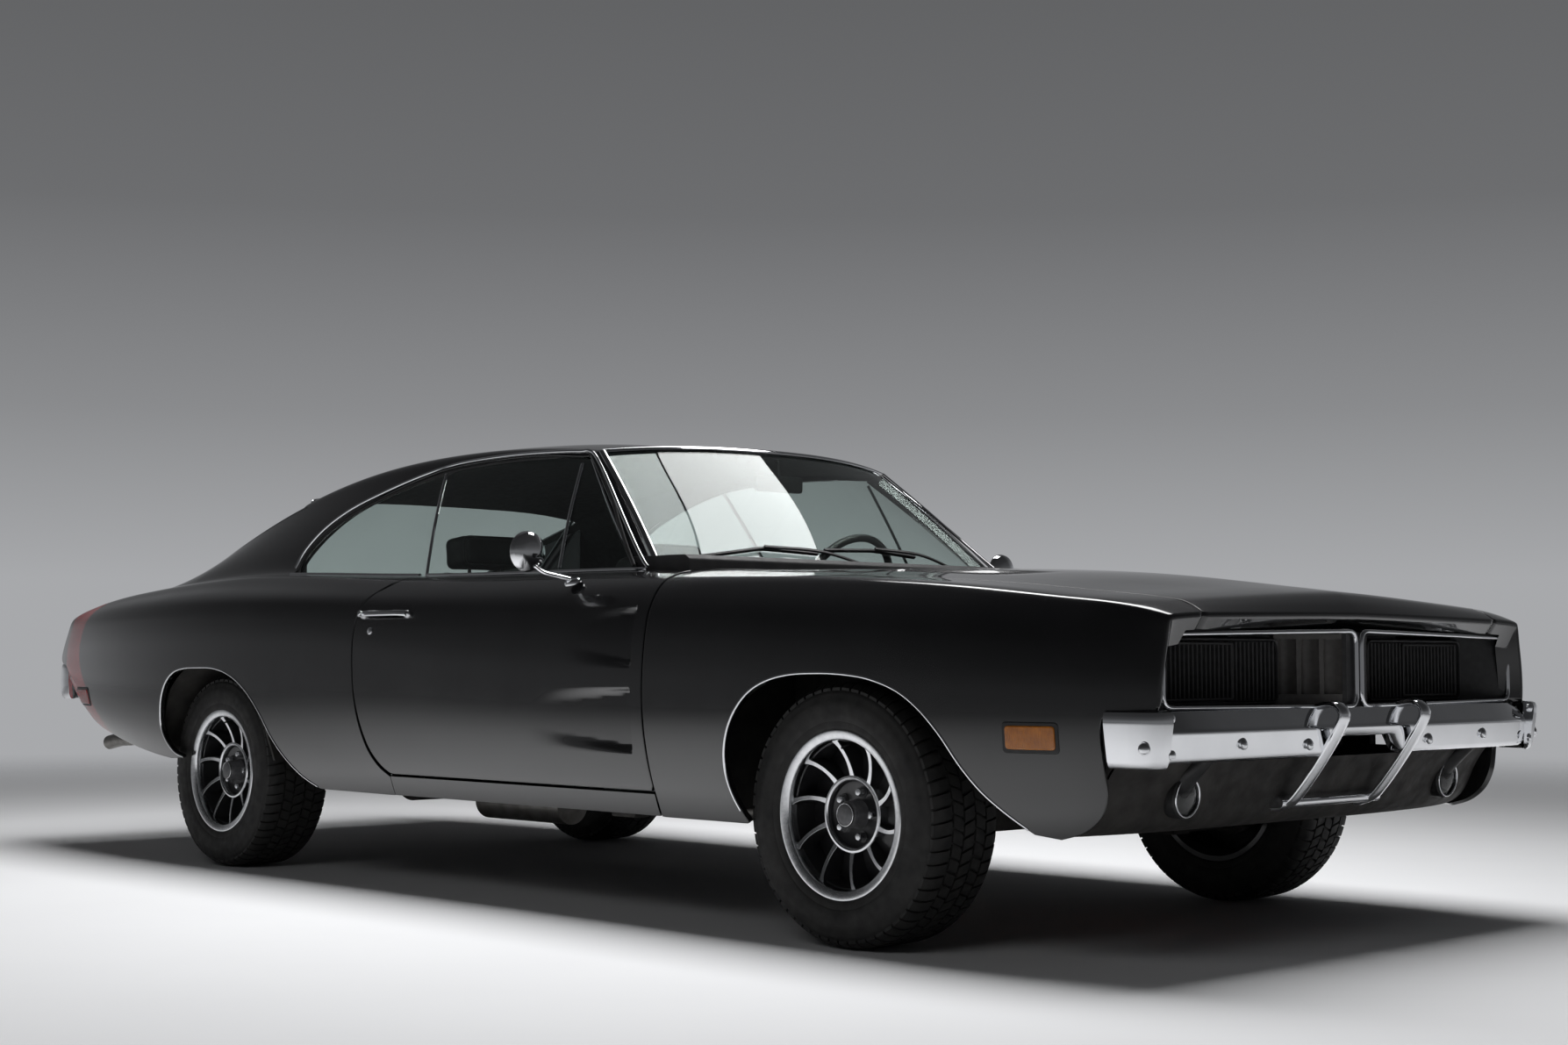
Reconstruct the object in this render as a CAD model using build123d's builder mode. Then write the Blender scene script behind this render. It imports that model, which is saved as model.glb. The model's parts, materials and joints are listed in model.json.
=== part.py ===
"""Two-door hardtop muscle coupe, full size, in millimetres.

Frame: +X forward, +Y to the car's left, +Z up. The origin is on the ground, under the middle of the
car's overall box, so the tyres stand on Z = 0.

The body is a set of shells. The lower body is a ruled loft through cross-sections along X, and the
greenhouse (roof, pillars, glass) is a ruled loft through side profiles along Y. A panel is the skin
between two of these lofts, cut along the real seams.
"""

import os
from math import cos, radians, sin

from build123d import *

os.makedirs("parts", exist_ok=True)

# ---------------------------------------------------------------- driving dimensions
HALF_LENGTH = 2640.0  # bumper guards to the origin, and rear bumper to the origin
WHEELBASE = 2972.0
FRONT_AXLE_X = 1660.0
REAR_AXLE_X = FRONT_AXLE_X - WHEELBASE
HALF_WIDTH = 973.0  # at the rear hips
OUTSIDE_Y = HALF_WIDTH + 27.0  # just outside the body's sides
HALF_TRACK = 770.0

TYRE_R = 325.0
TYRE_WIDTH = 240.0
RIM_LIP_R = 207.0
RIM_BED_R = 191.0
RIM_WIDTH = 228.0  # over the lips
AXLE_Z = TYRE_R

SKIN = 30.0  # fenders, hood, quarters
ROOF_SKIN = 34.0
GLASS = 6.0
GLASS_INSET = 8.0  # outer face of the glass below the outer skin
SEAM = 6.0  # gap round a lid
DOOR_SEAM = 8.0  # gap round a door, which swings back a little as it opens
FIT = 0.3  # running gap where one piece lies on another
LEDGE = 6.0  # thickness of the gutters that the lids rest on
LEDGE_WIDTH = 24.0

SILL_Z = 290.0
DOOR_BOTTOM_Z = 352.0
BELT_Z = 968.0
BELT_Y = 755.0
DOOR_FRONT_X = 991.0
DOOR_REAR_X = -402.0
DOOR_INNER_INSET = 20.0  # the door's inner part inside its skin's outline
DOOR_SKIN_IN_Y = 133.0 - HALF_WIDTH  # the door's skin reaches in to here on the right side
DOOR_INNER_Y = 765.0
DOOR_TOP_INNER_Y = 735.0

# the door hinge: set in from the skin, and behind the door's front edge
HINGE_X = DOOR_FRONT_X - 60.0
HINGE_Y = HALF_WIDTH - 61.0
HINGE_POCKET_R = 80.0

HOOD_REAR_X = 958.0
HOOD_HALF_REAR = 690.0
HOOD_HALF_FRONT = 640.0
COWL_FRONT_X = HOOD_REAR_X - SEAM
COWL_REAR_X = 775.0
TRUNK_FRONT_X = -1730.0
TRUNK_REAR_X = -2478.0
TRUNK_HALF = 594.0
QUARTER_IN_Y = 600.0
DECK_FRONT_X = -1525.0  # front edge of the deck skin, under the rear window
SHELF_Z = (948.0, 960.0)
CABIN_HALF_Y = 722.0
COWL_HALF_Y = 752.0  # the fenders, cowl and pillars end here beside the doors
SAIL_INNER_Y = 600.0  # inner wall of the sail panels
SAIL_WALL = 12.0
GREENHOUSE_TAIL_Z = 950.0
REAR_GLASS_TOP = (-1240.0, 1290.0)
REAR_GLASS_BASE = (-1570.0, 960.0)

FLOOR_Z = 300.0
SHEET = 12.0
FIREWALL_X = 1060.0
KICK_X = -560.0  # where the cabin floor rises to the rear floor
REAR_FLOOR_Z = AXLE_Z + 175.0  # clears the axle and the exhaust over it
REAR_FLOOR_END_X = -2300.0
TUNNEL_HALF = 160.0
TUNNEL_TOP_Z = 492.0
SILL_IN_Y = 780.0
SILL_REAR_X = -246.0
SILL_TOP_Z = DOOR_BOTTOM_Z - DOOR_SEAM
REAR_SEAT_X = -1120.0
TAIL_PLATE_X = -2490.0
TAIL_PLATE = 30.0
TAIL_STEP_Z = REAR_FLOOR_Z + 60.0  # the trunk floor meets the tail panel here

BUMPER_FACE_X = 2590.0
BUMPER_END_X = 2462.0
BUMPER_Z = (475.0, 575.0)
BUMPER_TOP_Z = BUMPER_Z[1]
REAR_BUMPER_Z = (553.0, 685.0)

ENGINE_Z = 322.0
RAIL_Y = (385.0, 455.0)
RAIL_Z = (400.0, 480.0)
RAIL_FRONT_X = 2440.0

KINGPIN_Y = 700.0
KINGPIN_R = 14.0
BALL_R = 30.0
LOWER_BALL_Z = (AXLE_Z - 113.0, AXLE_Z - 81.0)
UPPER_BALL_Z = (AXLE_Z + 81.0, AXLE_Z + 113.0)
SPINDLE_R = 30.0
PIN_GAP = 0.06
SPINDLE_END_Y = 862.0
HUB_Y = (790.0, 866.0)
HUB_R = 55.0
WHEELHOUSE_GAP = 60.0  # wheelhouse beyond the tyre

LAMP_DOOR_Y = (376.0, 636.0)
LAMP_DOOR_Z = (612.0, 735.0)
LAMP_DOOR_X = (2430.0, 2442.0)
LAMP_AXIS = (2350.0, 690.0)

# ---------------------------------------------------------------- lower body sections
# x, tuck of the side inside HALF_WIDTH, bottom z, tuck of the crest, crest z, hood or deck edge y and z,
# centre z
BODY_SECTIONS = (
    (2560.0, 173.0, 440.0, 201.0, 803.0, 640.0, 802.0, 815.0),
    (2490.0, 125.0, 360.0, 165.0, 820.0, 660.0, 838.0, 868.0),
    (2330.0, 73.0, 295.0, 135.0, 843.0, 670.0, 856.0, 888.0),
    (2080.0, 35.0, 290.0, 115.0, 870.0, 682.0, 880.0, 917.0),
    (1660.0, 15.0, 290.0, 101.0, 904.0, 690.0, 910.0, 946.0),
    (1000.0, 25.0, 288.0, 93.0, 918.0, 755.0, 962.0, 964.0),
    (300.0, 29.0, 286.0, 88.0, 924.0, 755.0, 968.0, 972.0),
    (-402.0, 21.0, 290.0, 93.0, 948.0, 755.0, 970.0, 974.0),
    (REAR_AXLE_X, 0.0, 296.0, 117.0, 980.0, 740.0, 988.0, 992.0),
    (-1980.0, 21.0, 420.0, 127.0, 950.0, 640.0, 956.0, 960.0),
    (-2380.0, 68.0, 505.0, 121.0, 898.0, 620.0, 908.0, 916.0),
    (-2480.0, 85.0, 560.0, 117.0, 866.0, 610.0, 880.0, 888.0),
    (-2552.0, 101.0, 640.0, 127.0, 760.0, 610.0, 772.0, 778.0),
)
NOSE_X = BODY_SECTIONS[0][0]
TAIL_X = BODY_SECTIONS[-1][0]
OPEN_END = 60.0  # how far an inner loft runs past the body's open ends

# ---------------------------------------------------------------- greenhouse profiles
# Each row is one corner of the side profile: x and z on the centreline, at the shoulder, at the roof edge.
ROOF_SHOULDER_Y = 330.0
ROOF_EDGE_Y = 600.0
GREENHOUSE_BASE_Z = 900.0
GREENHOUSE_CORNERS = (
    # centreline, shoulder, roof edge
    ((905.0, 962.0), (888.0, 963.0), (815.0, 966.0)),  # windshield base
    ((478.0, 1346.0), (452.0, 1341.0), (377.0, 1318.0)),  # windshield top
    ((150.0, 1376.0), (150.0, 1371.0), (130.0, 1341.0)),
    ((-318.0, 1388.0), (-318.0, 1382.0), (-318.0, 1354.0)),  # roof peak
    ((-778.0, 1362.0), (-778.0, 1356.0), (-778.0, 1328.0)),
    ((-1282.0, 1270.0), (-1282.0, 1264.0), (-1282.0, 1238.0)),
    ((-1836.0, 1086.0), (-1836.0, 1084.0), (-1836.0, 1062.0)),
    ((-2060.0, 960.0), (-2060.0, 960.0), (-2060.0, 950.0)),  # end of the sail panels
)


def outline_face(points):
    """A flat face inside a closed polygon of 3-D points."""
    return Face(Wire.make_polygon([Vector(*point) for point in points], close=True))


def ruled_solid(sections):
    """A solid with straight rulings through polygons that all have the same number of corners."""
    with BuildPart() as solid:
        loft(sections=[outline_face(points) for points in sections], ruled=True)
    return solid.part


def body_outline(row, inset):
    """Half outline of one body section, from the bottom edge to the top centre."""
    x, side_tuck, z_bottom, crest_tuck, z_crest, y_deck, z_deck, z_centre = row
    w = HALF_WIDTH - side_tuck
    y_crest = HALF_WIDTH - crest_tuck
    low = z_bottom - (OPEN_END if inset else 0.0)
    waist = max(600.0, z_bottom + 40.0)
    return [
        (w - 62.0 - inset, low),
        (w - 18.0 - inset, 0.5 * (z_bottom + waist) - 10.0),
        (w - inset, waist),
        (w - 14.0 - inset, waist + 0.55 * (z_crest - waist)),
        (y_crest - inset, z_crest - inset),
        (y_deck - inset, z_deck - inset),
        (0.0, z_centre - inset),
    ]


def body_loft(inset=0.0):
    """The lower body as one solid. With an inset it is the space inside a skin of that thickness."""
    rows = list(BODY_SECTIONS)
    if inset:
        rows[0] = (rows[0][0] + OPEN_END,) + rows[0][1:]
        rows[-1] = (rows[-1][0] - OPEN_END,) + rows[-1][1:]
    sections = []
    for row in rows:
        half = body_outline(row, inset)
        other = [(-y, z) for y, z in reversed(half[:-1])]
        sections.append([(row[0], y, z) for y, z in half + other])
    return ruled_solid(sections)


def greenhouse_profile(column, inset):
    """Side profile of the greenhouse: column 0 on the centreline, 1 at the shoulder, 2 at the edge."""
    corners = [corner[column] for corner in GREENHOUSE_CORNERS]
    base, top, tail = corners[0], corners[1], corners[-1]
    profile = [(base[0] - 1.2 * inset, base[1] - 0.2 * inset)]
    profile.append((top[0] - 0.4 * inset, top[1] - inset))
    profile += [(x, z - 1.02 * inset) for x, z in corners[2:-1]]
    profile.append((tail[0] + 1.5 * inset, tail[1]))
    return profile


def greenhouse_loft(inset=0.0):
    """The greenhouse as one solid, with straight side windows from the roof edge to the belt."""
    edge = greenhouse_profile(2, inset)
    belt = [(x, BELT_Z) for x, z in edge[:-1]] + [(edge[-1][0], GREENHOUSE_TAIL_Z)]
    half = (
        (0.0, greenhouse_profile(0, inset)),
        (ROOF_SHOULDER_Y, greenhouse_profile(1, inset)),
        (ROOF_EDGE_Y - inset, edge),
        (BELT_Y - inset, belt),
    )
    stack = [(-y, profile) for y, profile in reversed(half[1:])] + list(half)
    base_z = GREENHOUSE_BASE_Z - (OPEN_END if inset else 0.0)
    sections = []
    for y, profile in stack:
        low = [(profile[-1][0], base_z), (profile[0][0], base_z)]
        sections.append([(x, y, z) for x, z in low + profile])
    return ruled_solid(sections)


def prism(points, plane, length, grow=0.0):
    """A polygon drawn on a plane, grown by an amount, and carried along the plane's normal."""
    with BuildPart() as solid:
        with BuildSketch(plane):
            with BuildLine():
                Polyline(*points, close=True)
            make_face()
            if grow:
                offset(amount=grow, kind=Kind.INTERSECTION)
        extrude(amount=length)
    return solid.part


def prism_y(points, y_from, y_to, grow=0.0):
    """A side-view outline (x, z) carried from one y to another."""
    return prism(points, Plane.XZ.offset(-y_to), y_to - y_from, grow)


def prism_z(points, z_from, z_to):
    """A plan outline (x, y) carried from one height to another."""
    return prism(points, Plane.XY.offset(z_from), z_to - z_from)


def prism_x(points, x_from, x_to):
    """A front-view outline (y, z) carried from one x to another."""
    return prism(points, Plane.YZ.offset(x_from), x_to - x_from)


def block(x, y, z):
    """A box from its three ranges."""
    return prism_z([(x[0], y[0]), (x[1], y[0]), (x[1], y[1]), (x[0], y[1])], z[0], z[1])


def rod(start, end, radius, hole=0.0):
    """A round bar between two points, or a tube if it has a hole."""
    a, b = Vector(*start), Vector(*end)
    with BuildPart() as bar:
        with BuildSketch(Plane(origin=a, z_dir=b - a)):
            Circle(radius)
            if hole:
                Circle(hole, mode=Mode.SUBTRACT)
        extrude(amount=(b - a).length)
    return bar.part


def pipe(points, radius):
    """A round bar with mitred bends along a path."""
    a, b = Vector(*points[0]), Vector(*points[1])
    with BuildPart() as bent:
        with BuildLine():
            Polyline(*points)
        with BuildSketch(Plane(origin=a, z_dir=b - a)):
            Circle(radius)
        sweep(transition=Transition.RIGHT)
    return bent.part


def mirrored(part):
    """The same piece on the car's other side."""
    with BuildPart() as other:
        mirror(part, about=Plane.XZ, mode=Mode.ADD)
    return other.part


def trimmed(part, keep=None, cuts=()):
    """A piece limited to one region and cut by others."""
    with BuildPart() as piece:
        add(part)
        if keep is not None:
            add(keep, mode=Mode.INTERSECT)
        for cut in cuts:
            add(cut, mode=Mode.SUBTRACT)
    return piece.part


def joined(*parts):
    """Touching pieces as one solid."""
    with BuildPart() as whole:
        for part in parts:
            add(part)
    return whole.part


def save(name, *parts):
    """Writes one node from its solids."""
    node = parts[0] if len(parts) == 1 else Compound(children=list(parts))
    node.label = name
    export_step(node, f"parts/{name}.step")


# ---------------------------------------------------------------- shells
BODY = body_loft()
BODY_IN_SKIN = body_loft(SKIN)
UNDER_LID = body_loft(SKIN + FIT)
UNDER_LEDGE = body_loft(SKIN + LEDGE)
GREENHOUSE = greenhouse_loft()
GREENHOUSE_IN = greenhouse_loft(ROOF_SKIN)
GLASS_OUTER = greenhouse_loft(GLASS_INSET)
GLASS_INNER = greenhouse_loft(GLASS_INSET + GLASS)
SKIN_SHELL = trimmed(BODY, cuts=[BODY_IN_SKIN])
GLASS_SHELL = trimmed(GLASS_OUTER, cuts=[GLASS_INNER, BODY])


# ---------------------------------------------------------------- seams and openings
def hood_plan(gap=0.0):
    """Plan outline of the hood, grown by a gap."""
    rear, front = HOOD_HALF_REAR + gap, HOOD_HALF_FRONT + gap
    return [
        (HOOD_REAR_X - gap, -rear),
        (NOSE_X + OPEN_END, -front),
        (NOSE_X + OPEN_END, front),
        (HOOD_REAR_X - gap, rear),
    ]


def trunk_plan(gap=0.0):
    """Plan outline of the trunk lid, grown by a gap."""
    front, rear, half = TRUNK_FRONT_X + gap, TRUNK_REAR_X - gap, TRUNK_HALF + gap
    return [(rear, -half), (front, -half), (front, half), (rear, half)]


def gutter(inner, outer, keep):
    """A ledge under a lid's edge: against the skin outside the lid, and just below the lid inside it."""
    beside = trimmed(trimmed(BODY_IN_SKIN, None, [UNDER_LEDGE]), keep, [outer])
    below = trimmed(trimmed(UNDER_LID, None, [UNDER_LEDGE]), keep, [inner])
    below = trimmed(below, outer)
    return joined(beside, below)


def door_outline(inset=0.0):
    """Side outline of a door: straight front, bowed rear, cut-off lower rear corner."""
    front, rear, low = DOOR_FRONT_X - inset, DOOR_REAR_X + inset, DOOR_BOTTOM_Z + inset
    return [
        (front, BELT_Z + 60.0),
        (front - 4.0, 500.0),
        (front + 14.0, low),
        (rear + 150.0, low),
        (rear + 62.0, low + 68.0),
        (rear + 18.0, low + 170.0),
        (rear, 660.0),
        (rear + 2.0, 810.0),
        (rear + 45.0, 895.0),
        (rear + 120.0, BELT_Z + 60.0),
    ]


SIDE_WINDOW = (
    # x and z of the opening's corners, from the windshield pillar over the top to the rear
    (745.0, 940.0),
    (722.0, 962.0),
    (335.0, 1302.0),
    (140.0, 1312.0),
    (-71.0, 1314.0),
    (-335.0, 1304.0),
    (-472.0, 1287.0),
    (-684.0, 1238.0),
    (-907.0, 1171.0),
    (-1050.0, 1040.0),
    (-980.0, 940.0),
)
SPLIT = ((-280.0, 940.0), (-410.0, 1330.0))  # rear edge of the door glass, bottom and top
SPLIT_GAP = 8.0
WINDSHIELD = ((-718.0, 940.0), (718.0, 940.0), (706.0, 975.0), (574.0, 1306.0))

FRONT_ARCH = (
    # angle round the axle from straight ahead, and clearance beyond the tyre, over the top to the other foot
    (202.4, 4.0),
    (173.5, 19.0),
    (165.4, 41.0),
    (156.7, 54.0),
    (145.5, 63.0),
    (133.9, 65.0),
    (121.7, 52.0),
    (106.3, 30.0),
    (90.0, 21.0),
    (73.7, 31.0),
    (59.8, 53.0),
    (48.6, 76.0),
    (37.7, 92.0),
    (26.0, 109.0),
    (14.3, 139.0),
    (4.0, 206.0),
    (-3.2, 306.0),
    (-10.6, 357.0),
)
REAR_ARCH = (
    (216.7, -116.0),
    (167.3, -138.0),
    (166.9, -79.0),
    (160.9, -17.0),
    (152.4, 23.0),
    (139.8, 52.0),
    (128.8, 60.0),
    (116.2, 52.0),
    (101.0, 31.0),
    (75.2, 36.0),
    (62.8, 51.0),
    (50.2, 66.0),
    (37.3, 80.0),
    (25.2, 97.0),
    (12.1, 129.0),
    (3.7, 188.0),
    (-2.2, 287.0),
    (-4.7, 349.0),
    (-10.2, 378.0),
)



def arch_outline(table, axle_x):
    """Side outline of a wheel opening, from its table."""
    reach = [(TYRE_R + clearance, radians(angle)) for angle, clearance in table]
    return [(axle_x + r * cos(angle), AXLE_Z + r * sin(angle)) for r, angle in reach]


RIGHT = (-OUTSIDE_Y - 100.0, -450.0)  # y range that holds everything on the right side
hinge_pocket = rod((HINGE_X, -HINGE_Y, 200.0), (HINGE_X, -HINGE_Y, 1000.0), HINGE_POCKET_R)
LEDGE_X = (-324.0, 722.0)
door_gap = prism_y(door_outline(-DOOR_SEAM), RIGHT[0], -COWL_HALF_Y)
ledge_gap = block(LEDGE_X, (-COWL_HALF_Y - 20.0, -CABIN_HALF_Y), (900.0, 1000.0))
side_opening = prism_y(SIDE_WINDOW, *RIGHT)
windshield_outline = list(WINDSHIELD) + [(-y, z) for y, z in reversed(WINDSHIELD[2:])]
pillar_line = [(770.0, 930.0), (1000.0, 930.0), (1000.0, 1400.0), (345.0, 1400.0), (345.0, 1322.0)]
ahead_of_pillars = prism_y(pillar_line, -800.0, 800.0)
windshield_opening = trimmed(prism_x(windshield_outline, 330.0, 1000.0), ahead_of_pillars)

# ---------------------------------------------------------------- front end
fender_region = prism_z(
    [
        (COWL_REAR_X, -OUTSIDE_Y),
        (NOSE_X + OPEN_END, -OUTSIDE_Y),
        (NOSE_X + OPEN_END, -HOOD_HALF_FRONT - SEAM),
        (COWL_FRONT_X, -HOOD_HALF_REAR - SEAM),
        (COWL_FRONT_X, -COWL_HALF_Y),
        (COWL_REAR_X, -COWL_HALF_Y),
    ],
    200.0,
    1000.0,
)
front_arch = prism_y(arch_outline(FRONT_ARCH, FRONT_AXLE_X), *RIGHT)
bumper_notch = block((BUMPER_END_X - 12.0, 2700.0), (-OUTSIDE_Y, -500.0), (200.0, BUMPER_TOP_Z + 10.0))
sill_end = block((COWL_REAR_X - 10.0, DOOR_FRONT_X + DOOR_SEAM), RIGHT, (200.0, SILL_TOP_Z))
fender = trimmed(SKIN_SHELL, fender_region, [front_arch, bumper_notch, door_gap, hinge_pocket, sill_end])
hood_gutter = gutter(
    prism_z(hood_plan(-LEDGE_WIDTH), 700.0, 1000.0),
    prism_z(hood_plan(SEAM), 700.0, 1000.0),
    block((1120.0, 2300.0), (-735.0, -600.0), (780.0, 1000.0)),
)
fender = joined(fender, hood_gutter)
save("front_fenders", mirrored(fender), fender)

hood = trimmed(SKIN_SHELL, prism_z(hood_plan(), 700.0, 1000.0))
save("hood", hood)

cowl_region = block((COWL_REAR_X, COWL_FRONT_X), (-COWL_HALF_Y, COWL_HALF_Y), (800.0, 1000.0))
cowl = trimmed(SKIN_SHELL, cowl_region)
save("cowl", cowl)

VALANCE_HALF = HALF_WIDTH - SKIN - 163.0
valance = block((RAIL_FRONT_X, RAIL_FRONT_X + SHEET), (-VALANCE_HALF, VALANCE_HALF), (300.0, 438.0))

guard_profile = [
    (BUMPER_FACE_X, 569.0),
    (HALF_LENGTH, 560.0),
    (HALF_LENGTH, 470.0),
    (2560.0, 400.0),
    (2460.0, 350.0),
    (2400.0, 352.0),
    (2400.0, 372.0),
    (2540.0, 430.0),
    (BUMPER_FACE_X, 480.0),
]
guard = prism_y(guard_profile, -200.0, -160.0)
FRONT_BUMPER_HALF = (
    # x, and distance inside HALF_WIDTH: outer face from the end to the front, then the inner face back
    (BUMPER_END_X, 103.0),
    (2540.0, 127.0),
    (2575.0, 173.0),
    (BUMPER_FACE_X, 273.0),
    (2562.0, 283.0),
    (2548.0, 185.0),
    (2520.0, 147.0),
    (BUMPER_END_X, 127.0),
)


def bumper_plan(half):
    """Plan outline of a whole bumper, from its half table."""
    right = [(x, inside - HALF_WIDTH) for x, inside in half]
    left = [(x, -y) for x, y in right]
    outer, inner = slice(0, 4), slice(4, 8)
    return right[outer] + left[outer][::-1] + left[inner][::-1] + right[inner]


bracket = block((RAIL_FRONT_X, 2562.0), (-440.0, -400.0), (440.0, 500.0))
bumper_bar = prism_z(bumper_plan(FRONT_BUMPER_HALF), *BUMPER_Z)
front_bumper = joined(bumper_bar, guard, mirrored(guard), bracket, mirrored(bracket))
save("front_bumper", front_bumper)

turn_lamp = rod((2390.0, -570.0, 390.0), (2462.0, -570.0, 390.0), 46.0)
save("turn_lamps", mirrored(turn_lamp), turn_lamp)
save("front_valance", trimmed(valance, None, [front_bumper, turn_lamp, mirrored(turn_lamp)]))

# ---------------------------------------------------------------- grille and headlights
DOOR_IN_Y, DOOR_OUT_Y = LAMP_DOOR_Y
lamp_opening_y = (-DOOR_OUT_Y - SEAM, SEAM - DOOR_IN_Y)
lamp_opening = block((2400.0, 2500.0), lamp_opening_y, (LAMP_DOOR_Z[0] - SEAM, 790.0))
PIN_X, PIN_Z = LAMP_AXIS
ear_in = block((PIN_X - 16.0, 2428.0), (-368.0, -358.0), (PIN_Z - 18.0, PIN_Z + 18.0))
ear_out = block((PIN_X - 16.0, 2428.0), (-656.0, -646.0), (PIN_Z - 18.0, PIN_Z + 18.0))
pin_bore = rod((PIN_X, -700.0, PIN_Z), (PIN_X, -300.0, PIN_Z), 8.0 + PIN_GAP)
ears = trimmed(joined(ear_in, ear_out), None, [pin_bore])
leg = block((2428.0, 2440.0), (-440.0, -400.0), (RAIL_Z[1], 590.0))
grille_plate = trimmed(
    block((2428.0, 2440.0), (-700.0, 700.0), (590.0, 752.0)),
    None,
    [lamp_opening, mirrored(lamp_opening)],
)
grille = joined(
    grille_plate,
    block((2475.0, 2556.0), (-725.0, 725.0), (750.0, 765.0)),
    block((2475.0, 2556.0), (-725.0, 725.0), (580.0, 600.0)),
    block((2428.0, 2556.0), (-725.0, -700.0), (580.0, 765.0)),
    block((2428.0, 2556.0), (700.0, 725.0), (580.0, 765.0)),
    block((2428.0, 2550.0), (-43.0, 43.0), (590.0, 752.0)),
    ears,
    mirrored(ears),
    leg,
    mirrored(leg),
)
save("grille", grille)

arm_profile = [
    (LAMP_DOOR_X[0], 640.0),
    (LAMP_DOOR_X[0], 722.0),
    (PIN_X - 12.0, PIN_Z + 14.0),
    (PIN_X - 12.0, PIN_Z - 14.0),
]
lamp_door = joined(
    block(LAMP_DOOR_X, (-DOOR_OUT_Y, -DOOR_IN_Y), LAMP_DOOR_Z),
    prism_y(arm_profile, -DOOR_IN_Y - 6.0, -DOOR_IN_Y),
    prism_y(arm_profile, -DOOR_OUT_Y, -DOOR_OUT_Y + 6.0),
    rod((PIN_X, -DOOR_IN_Y - 3.0, PIN_Z), (PIN_X, -360.0, PIN_Z), 8.0),
    rod((PIN_X, -654.0, PIN_Z), (PIN_X, -DOOR_OUT_Y + 3.0, PIN_Z), 8.0),
)
save("right_headlight_door", lamp_door)
save("left_headlight_door", mirrored(lamp_door))

headlight = joined(
    block((2318.0, 2330.0), (-621.0, -391.0), (616.0, 728.0)),
    block((2318.0, 2330.0), (-440.0, -410.0), (RAIL_Z[1], 616.0)),
    rod((2330.0, -447.0, 672.0), (2398.0, -447.0, 672.0), 55.0),
    rod((2330.0, -565.0, 672.0), (2398.0, -565.0, 672.0), 55.0),
)
save("headlights", mirrored(headlight), headlight)

# ---------------------------------------------------------------- doors
door_body = block((DOOR_REAR_X, DOOR_FRONT_X), (-OUTSIDE_Y, -DOOR_INNER_Y), (300.0, 1000.0))
glass_ledge = block(
    (LEDGE_X[0] + 54.0, LEDGE_X[1] - DOOR_SEAM), (-DOOR_INNER_Y - 1.0, -DOOR_TOP_INNER_Y), (915.0, 1000.0)
)
door_skin = trimmed(SKIN_SHELL, prism_y(door_outline(), RIGHT[0], DOOR_SKIN_IN_Y))
door_inner = trimmed(
    trimmed(BODY, prism_y(door_outline(DOOR_INNER_INSET), RIGHT[0], -700.0)),
    joined(door_body, glass_ledge),
)
right_door = joined(door_skin, door_inner)
save("right_door", right_door)
save("left_door", mirrored(right_door))

ahead_of_split = [
    (SPLIT[0][0], 900.0),
    SPLIT[0],
    SPLIT[1],
    (SPLIT[1][0], 1400.0),
    (900.0, 1400.0),
    (900.0, 900.0),
]
behind_split = [
    (SPLIT[0][0] - SPLIT_GAP, 900.0),
    (SPLIT[0][0] - SPLIT_GAP, SPLIT[0][1]),
    (SPLIT[1][0] - SPLIT_GAP, SPLIT[1][1]),
    (SPLIT[1][0] - SPLIT_GAP, 1400.0),
    (-1400.0, 1400.0),
    (-1400.0, 900.0),
]
door_pane = trimmed(GLASS_SHELL, prism_y(SIDE_WINDOW, *RIGHT, grow=-SEAM))
door_pane = trimmed(door_pane, prism_y(ahead_of_split, *RIGHT))
save("right_door_glass", door_pane)
save("left_door_glass", mirrored(door_pane))
rear_pane = trimmed(trimmed(GLASS_SHELL, side_opening), prism_y(behind_split, *RIGHT))
save("quarter_windows", mirrored(rear_pane), rear_pane)

MIRROR_FOOT_Y = 105.0 - HALF_WIDTH
mirror_body = joined(
    rod((553.0, -OUTSIDE_Y, 1001.0), (583.0, -OUTSIDE_Y, 1001.0), 57.0),
    rod((572.0, 10.0 - OUTSIDE_Y, 975.0), (613.0, MIRROR_FOOT_Y, 925.0), 9.0),
    rod((613.0, MIRROR_FOOT_Y, 900.0), (613.0, MIRROR_FOOT_Y, 938.0), 24.0),
)
door_mirror = trimmed(mirror_body, None, [BODY])
save("right_mirror", door_mirror)
save("left_mirror", mirrored(door_mirror))

# ---------------------------------------------------------------- sills, quarters and tail
jack_pad = block(
    (DOOR_FRONT_X - 231.0, DOOR_FRONT_X - 131.0),
    (-SILL_IN_Y - 80.0, -SILL_IN_Y - 30.0),
    (276.0, 300.0),
)
sill = trimmed(
    BODY,
    block((SILL_REAR_X, DOOR_FRONT_X + DOOR_SEAM), (-OUTSIDE_Y, -SILL_IN_Y), (200.0, SILL_TOP_Z)),
)
sill = joined(sill, jack_pad)
save("sills", mirrored(sill), sill)

quarter_region = block((-2700.0, SILL_REAR_X), RIGHT, (200.0, 1100.0))
cabin_opening = block((DECK_FRONT_X, 0.0), (-CABIN_HALF_Y, 0.0), (900.0, 1100.0))
deck_opening = block((-2700.0, DECK_FRONT_X), (-QUARTER_IN_Y, 0.0), (700.0, 1100.0))
rear_arch = prism_y(arch_outline(REAR_ARCH, REAR_AXLE_X), *RIGHT)
TYRE_OUT_Y = HALF_TRACK + 0.5 * TYRE_WIDTH
tyre_space = rod((REAR_AXLE_X, -TYRE_OUT_Y - 12.0, AXLE_Z), (REAR_AXLE_X, -600.0, AXLE_Z), TYRE_R + 15.0)
quarter = trimmed(
    SKIN_SHELL,
    quarter_region,
    [door_gap, ledge_gap, cabin_opening, deck_opening, rear_arch, tyre_space],
)
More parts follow.
